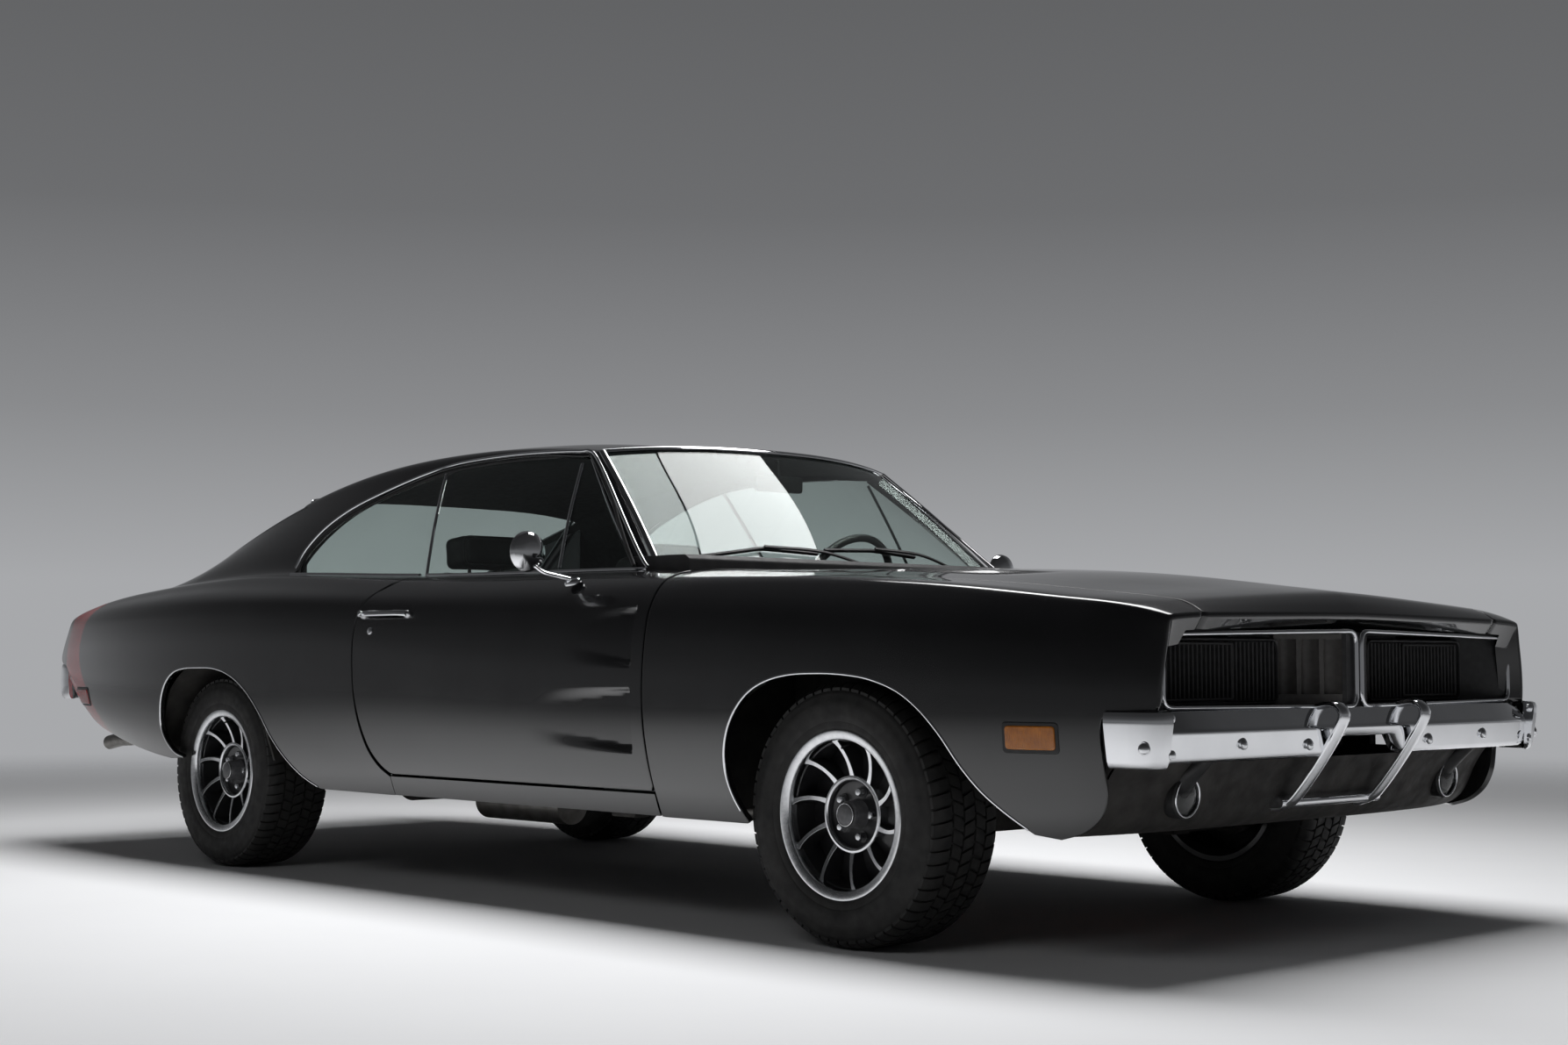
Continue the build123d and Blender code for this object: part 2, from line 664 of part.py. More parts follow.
trunk_gutter = gutter(
    prism_z(trunk_plan(-LEDGE_WIDTH), 700.0, 1100.0),
    prism_z(trunk_plan(SEAM), 700.0, 1100.0),
    block((-2440.0, -1760.0), (-640.0, -500.0), (800.0, 1100.0)),
)
quarter = joined(quarter, trunk_gutter)
save("quarter_panels", mirrored(quarter), quarter)

save("trunk_lid", trimmed(SKIN_SHELL, prism_z(trunk_plan(), 700.0, 1100.0)))
deck_skin = trimmed(
    SKIN_SHELL,
    block((TRUNK_FRONT_X + SEAM, DECK_FRONT_X), (-QUARTER_IN_Y, QUARTER_IN_Y), (800.0, 1100.0)),
)
shelf = block((DECK_FRONT_X, REAR_SEAT_X), (-CABIN_HALF_Y, CABIN_HALF_Y), SHELF_Z)
save("rear_deck", joined(deck_skin, shelf))

PLATE_BOLT_Y = 88.9
PLATE_BOLT_Z = 500.0
PLATE_BOLT_R = 3.5
tail_upper = trimmed(
    block((TAIL_PLATE_X, TAIL_PLATE_X + TAIL_PLATE), (-OUTSIDE_Y, OUTSIDE_Y), (TAIL_STEP_Z, 822.0)),
    BODY_IN_SKIN,
)
bolt_hole = rod((-2600.0, -PLATE_BOLT_Y, PLATE_BOLT_Z), (-2400.0, -PLATE_BOLT_Y, PLATE_BOLT_Z), PLATE_BOLT_R)
tail_lower = block((TAIL_PLATE_X, TAIL_PLATE_X + TAIL_PLATE), (-790.0, 790.0), (430.0, TAIL_STEP_Z))
tail_panel = trimmed(
    joined(tail_upper, tail_lower),
    None,
    [bolt_hole, mirrored(bolt_hole)],
)
save("tail_panel", tail_panel)
tail_lamp = block((TAIL_PLATE_X - SHEET, TAIL_PLATE_X), (-590.0, -160.0), (715.0, 800.0))
save("tail_lamps", mirrored(tail_lamp), tail_lamp)

REAR_BUMPER_HALF = (
    # x, and distance inside HALF_WIDTH: outer face from the end to the rear, then the inner face back
    (-2462.0, 78.0),
    (-2530.0, 86.0),
    (-2592.0, 115.0),
    (-HALF_LENGTH, 273.0),
    (-2612.0, 283.0),
    (-2572.0, 131.0),
    (-2522.0, 100.0),
    (-2462.0, 92.0),
)
rear_bracket = block((-2612.0, TAIL_PLATE_X), (-420.0, -380.0), (600.0, 640.0))
save(
    "rear_bumper",
    trimmed(
        joined(prism_z(bumper_plan(REAR_BUMPER_HALF), *REAR_BUMPER_Z), rear_bracket, mirrored(rear_bracket)),
        None,
        [quarter, mirrored(quarter)],
    ),
)

marker_shell = trimmed(body_loft(-6.0), None, [BODY])
front_marker = trimmed(marker_shell, block((2220.0, 2344.0), RIGHT, (503.0, 554.0)))
rear_marker = trimmed(marker_shell, block((-2375.0, -2258.0), RIGHT, (539.0, 590.0)))
save("side_markers", mirrored(front_marker), front_marker, mirrored(rear_marker), rear_marker)

# ---------------------------------------------------------------- roof and fixed glass
(TOP_X, TOP_Z), (FOOT_X, FOOT_Z) = REAR_GLASS_TOP, REAR_GLASS_BASE
behind_glass = [
    (TOP_X, 1450.0),
    (TOP_X, TOP_Z),
    (FOOT_X, FOOT_Z),
    (FOOT_X, 880.0),
    (-2200.0, 880.0),
    (-2200.0, 1450.0),
]
between_sails = prism_y(behind_glass, -SAIL_INNER_Y, SAIL_INNER_Y)
sail_wall = trimmed(GREENHOUSE, prism_y(behind_glass, -SAIL_INNER_Y - SAIL_WALL, -SAIL_INNER_Y), [BODY])
roof_shell = trimmed(
    GREENHOUSE,
    None,
    [GREENHOUSE_IN, BODY, windshield_opening, side_opening, mirrored(side_opening), between_sails],
)
roof = joined(roof_shell, sail_wall, mirrored(sail_wall))
save("roof", roof)
save("windshield", trimmed(GLASS_SHELL, windshield_opening))
slab = [(TOP_X, TOP_Z), (FOOT_X, FOOT_Z), (FOOT_X + 5.0, FOOT_Z - 5.0), (TOP_X + 5.0, TOP_Z - 5.0)]
rear_window = trimmed(prism_y(slab, -SAIL_INNER_Y, SAIL_INNER_Y), GREENHOUSE, [roof, BODY])
save("rear_window", rear_window)

# ---------------------------------------------------------------- floor and cabin
floor_profile = [
    (FIREWALL_X, FLOOR_Z),
    (KICK_X, FLOOR_Z),
    (KICK_X - 80.0, REAR_FLOOR_Z),
    (REAR_FLOOR_END_X, REAR_FLOOR_Z),
    (TAIL_PLATE_X + TAIL_PLATE, TAIL_STEP_Z),
    (TAIL_PLATE_X + TAIL_PLATE, TAIL_STEP_Z + SHEET),
    (REAR_FLOOR_END_X - 3.0, REAR_FLOOR_Z + SHEET),
    (KICK_X - 74.0, REAR_FLOOR_Z + SHEET),
    (KICK_X + 6.0, FLOOR_Z + SHEET),
    (FIREWALL_X, FLOOR_Z + SHEET),
]
floor_sheet = prism_y(floor_profile, -OUTSIDE_Y, OUTSIDE_Y)
cabin_floor = trimmed(floor_sheet, block((SILL_REAR_X, FIREWALL_X), (-SILL_IN_Y, SILL_IN_Y), (200.0, 400.0)))
front_part = block((SILL_REAR_X, 1100.0), (-OUTSIDE_Y, OUTSIDE_Y), (200.0, 400.0))
rear_floor = trimmed(floor_sheet, BODY_IN_SKIN, [front_part])
TUNNEL_IN = TUNNEL_HALF - SHEET
tunnel_space = block((KICK_X - 90.0, 1200.0), (-TUNNEL_IN, TUNNEL_IN), (200.0, TUNNEL_TOP_Z - SHEET))
tunnel = trimmed(
    block((KICK_X - 74.0, FIREWALL_X), (-TUNNEL_HALF, TUNNEL_HALF), (FLOOR_Z, TUNNEL_TOP_Z)),
    None,
    [tunnel_space],
)
firewall = trimmed(
    block((FIREWALL_X, FIREWALL_X + SHEET), (-850.0, 850.0), (FLOOR_Z, 880.0)),
    BODY_IN_SKIN,
    [tunnel_space],
)
hinge_pillar = trimmed(
    block((DOOR_FRONT_X + 21.0, FIREWALL_X), (-OUTSIDE_Y, -SILL_IN_Y), (SILL_TOP_Z, 880.0)),
    BODY_IN_SKIN,
)
LOCK_PILLAR_X = (DOOR_REAR_X - 78.0, DOOR_REAR_X - 28.0)
lock_pillar = joined(
    trimmed(block(LOCK_PILLAR_X, (-OUTSIDE_Y, -DOOR_INNER_Y), (FLOOR_Z, 940.0)), BODY_IN_SKIN),
    block((LOCK_PILLAR_X[0], DOOR_REAR_X + 57.0), (FIT - DOOR_INNER_Y, 15.0 - DOOR_INNER_Y), (400.0, 880.0)),
    block(LOCK_PILLAR_X, (-DOOR_INNER_Y, 15.0 - DOOR_INNER_Y), (400.0, 880.0)),
)
HOUSE_R = TYRE_R + WHEELHOUSE_GAP
house_space = rod((REAR_AXLE_X, -OUTSIDE_Y, AXLE_Z), (REAR_AXLE_X, -620.0, AXLE_Z), HOUSE_R)
floor_pan = trimmed(
    joined(cabin_floor, rear_floor, tunnel, firewall, hinge_pillar, mirrored(hinge_pillar), lock_pillar,
           mirrored(lock_pillar)),
    None,
    [house_space, mirrored(house_space), tunnel_space],
)
save("floor_pan", floor_pan)

rear_house = trimmed(
    house_space,
    BODY_IN_SKIN,
    [
        rod((REAR_AXLE_X, -OUTSIDE_Y, AXLE_Z), (REAR_AXLE_X, -630.0, AXLE_Z), HOUSE_R - 10.0),
        block((REAR_AXLE_X - 500.0, REAR_AXLE_X + 500.0), (-OUTSIDE_Y, -600.0), (-100.0, AXLE_Z + 47.0)),
    ],
)
APRON_Z = AXLE_Z + TYRE_R + 50.0  # over the front tyre
front_apron = trimmed(
    joined(
        block((FIREWALL_X + SHEET, 2300.0), (-RAIL_Y[1] - 8.0, -RAIL_Y[1]), (445.0, APRON_Z + 8.0)),
        block((FIREWALL_X + SHEET, 2300.0), (-OUTSIDE_Y, -RAIL_Y[1] - 8.0), (APRON_Z, APRON_Z + 8.0)),
    ),
    BODY_IN_SKIN,
)
save("wheelhouses", front_apron, mirrored(front_apron), rear_house, mirrored(rear_house))

WHEEL_CENTRE = Vector(437.0, 370.0, 920.0)
COLUMN = Vector(0.906, 0.0, -0.4226).normalized()


def on_column(distance):
    """A point on the steering column's axis, forward of the steering wheel's plane."""
    return tuple(WHEEL_CENTRE + COLUMN * distance)


dash_profile = [
    (FIREWALL_X, 640.0),
    (FIREWALL_X, 880.0),
    (945.0, 880.0),
    (945.0, 990.0),
    (640.0, 990.0),
    (604.0, 890.0),
    (625.0, 720.0),
    (700.0, 640.0),
]
dash = trimmed(prism_y(dash_profile, -CABIN_HALF_Y, CABIN_HALF_Y), BODY_IN_SKIN)
column_tube = rod(on_column(35.0), on_column(420.0), 30.0)
column_shaft = rod(on_column(-8.0), on_column(60.0), 12.0)
save("dashboard", joined(dash, column_tube, column_shaft))

with BuildPart() as wheel_rim:
    with Locations(Plane(origin=WHEEL_CENTRE, z_dir=COLUMN)):
        Torus(188.0, 14.0)
hub = rod(on_column(-12.0), on_column(25.0), 42.0)
cross = Vector(0.0, 1.0, 0.0)
spokes = [
    rod(tuple(WHEEL_CENTRE), tuple(WHEEL_CENTRE + (cross * y + COLUMN.cross(cross) * z) * 180.0), 9.0)
    for y, z in ((0.98, 0.2), (-0.98, 0.2), (0.0, -1.0))
]
shaft_space = rod(on_column(-20.0), on_column(60.0), 12.0 + PIN_GAP)
save("steering_wheel", trimmed(joined(wheel_rim.part, hub, *spokes), None, [shaft_space]))

save("center_console", block((-100.0, 560.0), (-105.0, 105.0), (TUNNEL_TOP_Z, 600.0)))

seat_profile = [
    (160.0, FLOOR_Z + SHEET),
    (175.0, 480.0),
    (130.0, 545.0),
    (-290.0, 515.0),
    (-400.0, 960.0),
    (-510.0, 985.0),
    (-470.0, 520.0),
    (-430.0, FLOOR_Z + SHEET),
]
headrest_profile = [
    (-400.0, 950.0),
    (-405.0, 1100.0),
    (-450.0, 1109.0),
    (-545.0, 1105.0),
    (-561.0, 1002.0),
    (-500.0, 950.0),
]
seat = joined(prism_y(seat_profile, -620.0, -170.0), prism_y(headrest_profile, -520.0, -270.0))
save("front_seats", mirrored(seat), seat)

rear_seat_profile = [
    (KICK_X - 74.0, REAR_FLOOR_Z + SHEET),
    (-606.0, 655.0),
    (-950.0, 622.0),
    (-1100.0, SHELF_Z[0]),
    (-1200.0, SHELF_Z[0]),
    (-1200.0, REAR_FLOOR_Z + SHEET),
]
save("rear_seat", prism_y(rear_seat_profile, -600.0, 600.0))

# ---------------------------------------------------------------- chassis
CROSS_X = (FRONT_AXLE_X - 60.0, FRONT_AXLE_X + 60.0)
ARM_X = (FRONT_AXLE_X - 20.0, FRONT_AXLE_X + 20.0)
arm_holes = [rod((FRONT_AXLE_X, -KINGPIN_Y, 100.0), (FRONT_AXLE_X, -KINGPIN_Y, 600.0), KINGPIN_R + PIN_GAP)]
side_frame = joined(
    block((FIREWALL_X + SHEET, RAIL_FRONT_X), (-RAIL_Y[1], -RAIL_Y[0]), RAIL_Z),
    block(CROSS_X, (-RAIL_Y[1], -RAIL_Y[0]), (LOWER_BALL_Z[0], RAIL_Z[0])),
    block((2230.0, 2310.0), (-RAIL_Y[1], -RAIL_Y[0]), (330.0, RAIL_Z[0])),
    block(ARM_X, (-KINGPIN_Y, -RAIL_Y[1]), LOWER_BALL_Z),
    block(ARM_X, (-KINGPIN_Y, -RAIL_Y[1]), UPPER_BALL_Z),
    rod((FRONT_AXLE_X, -KINGPIN_Y, LOWER_BALL_Z[0]), (FRONT_AXLE_X, -KINGPIN_Y, LOWER_BALL_Z[1]), BALL_R),
    rod((FRONT_AXLE_X, -KINGPIN_Y, UPPER_BALL_Z[0]), (FRONT_AXLE_X, -KINGPIN_Y, UPPER_BALL_Z[1]), BALL_R),
)
side_frame = trimmed(side_frame, None, arm_holes)
front_frame = joined(
    side_frame,
    mirrored(side_frame),
    block(CROSS_X, (-RAIL_Y[0], RAIL_Y[0]), (ENGINE_Z - 60.0, ENGINE_Z)),
    block((2230.0, 2310.0), (-RAIL_Y[0], RAIL_Y[0]), (330.0, RAIL_Z[0])),
)
save("front_frame", front_frame)
save("radiator", block((2240.0, 2300.0), (-330.0, 330.0), (RAIL_Z[0], 820.0)))
save("engine", block((1340.0, 1980.0), (-250.0, 250.0), (ENGINE_Z, 850.0)))
DRIVE_Z = AXLE_Z + 35.0
PINION_X = REAR_AXLE_X + 150.0
save(
    "driveline",
    joined(
        block((960.0, 1340.0), (-110.0, 110.0), (ENGINE_Z - 12.0, 460.0)),
        block((700.0, 960.0), (-65.0, 65.0), (ENGINE_Z - 12.0, 430.0)),
        rod((PINION_X, 0.0, DRIVE_Z), (700.0, 0.0, DRIVE_Z), 38.0),
    ),
)

AXLE_TUBE_R = 42.0
SPRING_Y = (-590.0, -530.0)
pad = block((REAR_AXLE_X - 35.0, REAR_AXLE_X + 35.0), SPRING_Y, (AXLE_Z - AXLE_TUBE_R, AXLE_Z))
axle_side = joined(
    rod((REAR_AXLE_X, -745.0, AXLE_Z), (REAR_AXLE_X, 0.0, AXLE_Z), AXLE_TUBE_R),
    rod((REAR_AXLE_X, -750.0, AXLE_Z), (REAR_AXLE_X, -735.0, AXLE_Z), 140.0),
    rod((REAR_AXLE_X, -SPINDLE_END_Y, AXLE_Z), (REAR_AXLE_X, -740.0, AXLE_Z), SPINDLE_R),
    pad,
)
save(
    "rear_axle",
    joined(
        axle_side,
        mirrored(axle_side),
        rod((REAR_AXLE_X, -110.0, AXLE_Z), (REAR_AXLE_X, 110.0, AXLE_Z), 135.0),
        rod((REAR_AXLE_X + 40.0, 0.0, DRIVE_Z), (PINION_X, 0.0, DRIVE_Z), 60.0),
    ),
)
SPRING_PROFILE = (
    # x from the axle, and z from the underside of the axle tube
    (572.0, 137.0),
    (312.0, 35.0),
    (62.0, 0.0),
    (-62.0, 0.0),
    (-338.0, 47.0),
    (-738.0, 157.0),
    (-738.0, 127.0),
    (-338.0, 19.0),
    (-62.0, -28.0),
    (62.0, -28.0),
    (312.0, 7.0),
    (572.0, 109.0),
)
spring_z = AXLE_Z - AXLE_TUBE_R
spring_profile = [(REAR_AXLE_X + x, spring_z + z) for x, z in SPRING_PROFILE]
spring = joined(
    prism_y(spring_profile, *SPRING_Y),
    block((REAR_AXLE_X + 532.0, REAR_AXLE_X + 572.0), (-585.0, -535.0), (spring_z + 109.0, REAR_FLOOR_Z)),
    block((REAR_AXLE_X - 738.0, REAR_AXLE_X - 708.0), (-585.0, -535.0), (spring_z + 132.0, REAR_FLOOR_Z)),
)
save("rear_springs", mirrored(spring), spring)
save("fuel_tank", block((-2250.0, -1800.0), (-380.0, 380.0), (340.0, REAR_FLOOR_Z)))

exhaust_path = [
    (1500.0, -250.0, 400.0),
    (1500.0, -315.0, 400.0),
    (1380.0, -320.0, 262.0),
    (-540.0, -320.0, 262.0),
    (REAR_AXLE_X + 552.0, -400.0, 300.0),
    (REAR_AXLE_X + 312.0, -430.0, AXLE_Z + 115.0),
    (REAR_AXLE_X - 168.0, -430.0, AXLE_Z + 120.0),
    (REAR_AXLE_X - 488.0, -655.0, AXLE_Z + 105.0),
    (-2480.0, -655.0, 396.0),
    (-2580.0, -655.0, 380.0),
]
exhaust = joined(pipe(exhaust_path, 27.0), rod((-100.0, -320.0, 238.0), (-540.0, -320.0, 238.0), 60.0))
save("exhaust", mirrored(exhaust), exhaust)

# ---------------------------------------------------------------- wheels
TYRE_HALF = 0.5 * TYRE_WIDTH
RIM_HALF = 0.5 * RIM_WIDTH
TYRE_PROFILE = (
    # radius and distance from the wheel's middle plane
    (RIM_BED_R, RIM_HALF - 17.0),
    (RIM_BED_R + 5.4, RIM_HALF - 8.8),
    (RIM_LIP_R + 0.4, RIM_HALF - 6.6),
    (RIM_LIP_R + 5.0, RIM_HALF),
    (TYRE_R - 63.0, TYRE_HALF),
    (TYRE_R - 25.0, TYRE_HALF - 5.0),
    (TYRE_R - 5.0, TYRE_HALF - 19.0),
    (TYRE_R, TYRE_HALF - 58.0),
)
RIM_PROFILE = (
    # radius and distance out from the wheel's middle plane
    (RIM_BED_R, -RIM_HALF),
    (RIM_LIP_R, -RIM_HALF),
    (RIM_LIP_R, 6.0 - RIM_HALF),
    (RIM_BED_R + 5.0, 8.0 - RIM_HALF),
    (RIM_BED_R - FIT, 16.0 - RIM_HALF),
    (RIM_BED_R - FIT, RIM_HALF - 16.0),
    (RIM_BED_R + 5.0, RIM_HALF - 8.0),
    (RIM_LIP_R, RIM_HALF - 6.0),
    (RIM_LIP_R, RIM_HALF),
    (RIM_BED_R, RIM_HALF),
    (RIM_BED_R - 8.0, RIM_HALF - 18.0),
    (RIM_BED_R - 13.0, RIM_HALF - 26.0),
    (88.0, 67.0),
    (HUB_R, 92.0),
    (SPINDLE_R + PIN_GAP, 92.0),
    (SPINDLE_R + PIN_GAP, 20.0),
    (HUB_R, 20.0),
    (88.0, 55.0),
    (RIM_BED_R - 10.0, RIM_HALF - 40.0),
    (RIM_BED_R - 10.0, 14.0 - RIM_HALF),
)


def revolved(profile, x, y, outward):
    """A closed (radius, offset) outline turned round a wheel's axle. Offsets point away from the car."""
    with BuildPart() as ring:
        with BuildSketch(Plane.XY.offset(AXLE_Z)):
            with BuildLine():
                Polyline(*[(x + radius, y + outward * out) for radius, out in profile], close=True)
            make_face()
        revolve(axis=Axis((x, y, AXLE_Z), (0.0, 1.0, 0.0)))
    return ring.part


TYRE_HOLLOW = (
    (RIM_BED_R, 20.0 - RIM_HALF),
    (RIM_BED_R + 30.0, 14.0 - RIM_HALF),
    (TYRE_R - 63.0, 12.0 - TYRE_HALF),
    (TYRE_R - 30.0, 17.0 - TYRE_HALF),
    (TYRE_R - 15.0, 28.0 - TYRE_HALF),
    (TYRE_R - 13.0, 0.0),
)
tyre_half = list(TYRE_PROFILE) + [(radius, -out) for radius, out in reversed(TYRE_PROFILE)]
tyre_section = tyre_half + list(TYRE_HOLLOW) + [(radius, -out) for radius, out in reversed(TYRE_HOLLOW[:-1])]
WHEELS = (
    # name, axle x, side (+1 is the car's left)
    ("front_left", FRONT_AXLE_X, 1.0),
    ("front_right", FRONT_AXLE_X, -1.0),
    ("rear_left", REAR_AXLE_X, 1.0),
    ("rear_right", REAR_AXLE_X, -1.0),
)
for name, x, side in WHEELS:
    save(f"{name}_tyre", revolved(tyre_section, x, side * HALF_TRACK, side))
    save(f"{name}_wheel", revolved(RIM_PROFILE, x, side * HALF_TRACK, side))

kingpin_foot = (FRONT_AXLE_X, -KINGPIN_Y, LOWER_BALL_Z[0] + 2.0)
kingpin_top = (FRONT_AXLE_X, -KINGPIN_Y, UPPER_BALL_Z[1] - 2.0)
knuckle = joined(
    rod(kingpin_foot, kingpin_top, KINGPIN_R),
    block((FRONT_AXLE_X - 34.0, FRONT_AXLE_X + 34.0), (-732.0, -672.0), (AXLE_Z - 74.0, AXLE_Z + 74.0)),
    rod((FRONT_AXLE_X, -750.0, AXLE_Z), (FRONT_AXLE_X, -730.0, AXLE_Z), 130.0),
    rod((FRONT_AXLE_X, -SPINDLE_END_Y, AXLE_Z), (FRONT_AXLE_X, -732.0, AXLE_Z), SPINDLE_R),
)
save("right_knuckle", knuckle)
save("left_knuckle", mirrored(knuckle))
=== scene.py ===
import json
import math

import bpy
import numpy as np
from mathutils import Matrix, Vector
from mathutils.geometry import delaunay_2d_cdt

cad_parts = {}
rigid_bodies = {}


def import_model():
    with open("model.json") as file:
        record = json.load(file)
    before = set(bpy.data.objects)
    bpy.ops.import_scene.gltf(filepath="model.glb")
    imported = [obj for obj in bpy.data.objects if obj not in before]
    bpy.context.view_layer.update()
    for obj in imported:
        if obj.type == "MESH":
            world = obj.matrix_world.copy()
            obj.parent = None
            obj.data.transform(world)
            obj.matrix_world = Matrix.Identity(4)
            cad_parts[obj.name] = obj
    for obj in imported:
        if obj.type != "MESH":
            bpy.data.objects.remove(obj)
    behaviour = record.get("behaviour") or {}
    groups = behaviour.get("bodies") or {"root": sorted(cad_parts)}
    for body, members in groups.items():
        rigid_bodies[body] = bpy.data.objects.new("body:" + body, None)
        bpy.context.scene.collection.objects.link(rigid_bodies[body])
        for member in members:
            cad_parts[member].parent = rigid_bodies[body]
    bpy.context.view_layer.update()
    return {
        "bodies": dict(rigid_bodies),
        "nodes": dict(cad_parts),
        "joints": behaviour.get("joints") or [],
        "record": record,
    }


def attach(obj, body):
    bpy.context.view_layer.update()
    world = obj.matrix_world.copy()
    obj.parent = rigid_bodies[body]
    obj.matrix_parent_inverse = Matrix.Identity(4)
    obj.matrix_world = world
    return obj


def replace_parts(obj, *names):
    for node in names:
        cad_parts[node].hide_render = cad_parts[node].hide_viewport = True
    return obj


# The looks of a two-door hardtop muscle coupe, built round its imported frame.
# Tables and lengths are in millimetres in the row frame (+X forward, +Y left, +Z up), and every mesh
# is turned into metres as it is made. "Station" is a place along X, "section" a place across the body,
# counted from 0 on the centreline outward and down, and negative on the right side.

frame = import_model()
MM = 0.001
LEFT, RIGHT = 1.0, -1.0
SIDES = ((LEFT, "left"), (RIGHT, "right"))

# ------------------------------------------------------------------ driving sizes
FRONT_AXLE_X = 1660.0
REAR_AXLE_X = -1312.0
AXLE_Z = 325.0
HALF_TRACK = 770.0
TYRE_R = 325.0

SEAM = 5.0  # what shows between two panels
EDGE_R = 3.0  # rounding of a panel's edge
SKIN = 16.0  # a panel's thickness, hems included
GLASS = 5.0

DOOR_FRONT_X, DOOR_REAR_X, DOOR_LOW_Z = 991.0, -402.0, 352.0
BELT_Z = 968.0
HOOD_REAR_X, NOSE_X = 958.0, 2560.0
HOOD_HALF_REAR, HOOD_HALF_FRONT = 690.0, 642.0
TRUNK_FRONT_X, TRUNK_REAR_X, TRUNK_HALF = -1730.0, -2478.0, 594.0
DECK_FRONT_X = -1536.0  # the fixed deck's front, under the rear window
SILL_REAR_X = -246.0

BODY_ROWS = (
    # x, half width, bottom z, waist z, crest y, crest z, deck edge y, deck edge z, centre z, crest softness
    (2560.0, 800.0, 440.0, 622.0, 772.0, 803.0, 640.0, 827.0, 857.0, 9.0),
    (2490.0, 848.0, 360.0, 622.0, 808.0, 822.0, 660.0, 838.0, 868.0, 10.0),
    (2330.0, 900.0, 300.0, 624.0, 838.0, 845.0, 670.0, 856.0, 888.0, 11.0),
    (2080.0, 938.0, 290.0, 626.0, 858.0, 872.0, 682.0, 880.0, 917.0, 12.0),
    (1660.0, 958.0, 290.0, 626.0, 872.0, 904.0, 692.0, 911.0, 947.0, 14.0),
    (1000.0, 948.0, 288.0, 632.0, 880.0, 918.0, 755.0, 948.0, 964.0, 22.0),
    (300.0, 944.0, 286.0, 662.0, 885.0, 924.0, 755.0, 960.0, 970.0, 34.0),
    (-402.0, 952.0, 288.0, 730.0, 880.0, 948.0, 755.0, 968.0, 974.0, 36.0),
    (-1312.0, 973.0, 296.0, 750.0, 856.0, 980.0, 740.0, 988.0, 992.0, 34.0),
    (-1980.0, 952.0, 405.0, 740.0, 846.0, 950.0, 640.0, 956.0, 960.0, 26.0),
    (-2380.0, 905.0, 505.0, 720.0, 852.0, 898.0, 620.0, 908.0, 916.0, 20.0),
    (-2480.0, 888.0, 560.0, 705.0, 856.0, 872.0, 610.0, 884.0, 892.0, 18.0),
    (-2580.0, 866.0, 640.0, 690.0, 840.0, 842.0, 606.0, 854.0, 862.0, 18.0),
)
NOSE_DROP_X, NOSE_DROP = 2492.0, (18.0, 42.0)  # where the hood's peak turns down, and by how much

ROOF_CENTRE = ((478.0, 1346.0), (150.0, 1376.0), (-318.0, 1386.5), (-778.0, 1362.0), (-1282.0, 1270.0),
               (-1836.0, 1086.0), (-2060.0, 985.0))
ROOF_SHOULDER = ((452.0, 1341.0), (150.0, 1371.0), (-318.0, 1382.0), (-778.0, 1356.0), (-1282.0, 1264.0),
                 (-1836.0, 1084.0), (-2060.0, 985.0))
ROOF_EDGE = ((377.0, 1318.0), (130.0, 1341.0), (-318.0, 1354.0), (-778.0, 1328.0), (-1282.0, 1238.0),
             (-1836.0, 1062.0), (-2060.0, 978.0))
ROOF_SHOULDER_Y, ROOF_EDGE_Y = 330.0, 600.0
SAIL_FOOT_Y = 786.0  # where the sail panel leaves the quarter

FRONT_ARCH = ((1350.0, 291.0), (1318.0, 364.0), (1306.0, 417.0), (1310.0, 473.0), (1331.0, 532.0),
              (1367.0, 583.0), (1415.0, 623.0), (1477.0, 650.0), (1552.0, 665.0), (1650.0, 670.0),
              (1750.0, 667.0), (1838.0, 655.0), (1922.0, 627.0), (1985.0, 586.0), (2040.0, 531.0),
              (2096.0, 455.0), (2142.0, 403.0), (2193.0, 360.0), (2258.0, 312.0))
REAR_ARCH = ((-1492.0, 366.0), (-1552.0, 382.0), (-1600.0, 424.0), (-1619.0, 466.0), (-1613.0, 514.0),
             (-1594.0, 570.0), (-1556.0, 621.0), (-1500.0, 656.0), (-1430.0, 671.0), (-1330.0, 675.0),
             (-1225.0, 673.0), (-1142.0, 658.0), (-1070.0, 630.0), (-1003.0, 586.0), (-942.0, 526.0),
             (-880.0, 446.0), (-810.0, 380.0), (-732.0, 328.0), (-663.0, 298.0))

# ------------------------------------------------------------------ materials


def new_material(name):
    """A Principled material with its node tree, shader and link function."""
    material = bpy.data.materials.new(name)
    material.use_nodes = True
    tree = material.node_tree
    return material, tree, tree.nodes["Principled BSDF"]


def noise(tree, scale, detail=4.0, stretch=(1.0, 1.0, 1.0)):
    """Noise in the object's own metres."""
    place = tree.nodes.new("ShaderNodeTexCoord")
    mapping = tree.nodes.new("ShaderNodeMapping")
    mapping.inputs["Scale"].default_value = stretch
    texture = tree.nodes.new("ShaderNodeTexNoise")
    texture.inputs["Scale"].default_value = scale
    texture.inputs["Detail"].default_value = detail
    tree.links.new(place.outputs["Object"], mapping.inputs["Vector"])
    tree.links.new(mapping.outputs["Vector"], texture.inputs["Vector"])
    return texture.outputs["Fac"]


def spread(tree, factor, low, high):
    """A factor stretched over a range."""
    node = tree.nodes.new("ShaderNodeMapRange")
    node.inputs["From Min"].default_value = 0.3
    node.inputs["From Max"].default_value = 0.7
    node.inputs["To Min"].default_value = low
    node.inputs["To Max"].default_value = high
    tree.links.new(factor, node.inputs["Value"])
    return node.outputs["Result"]


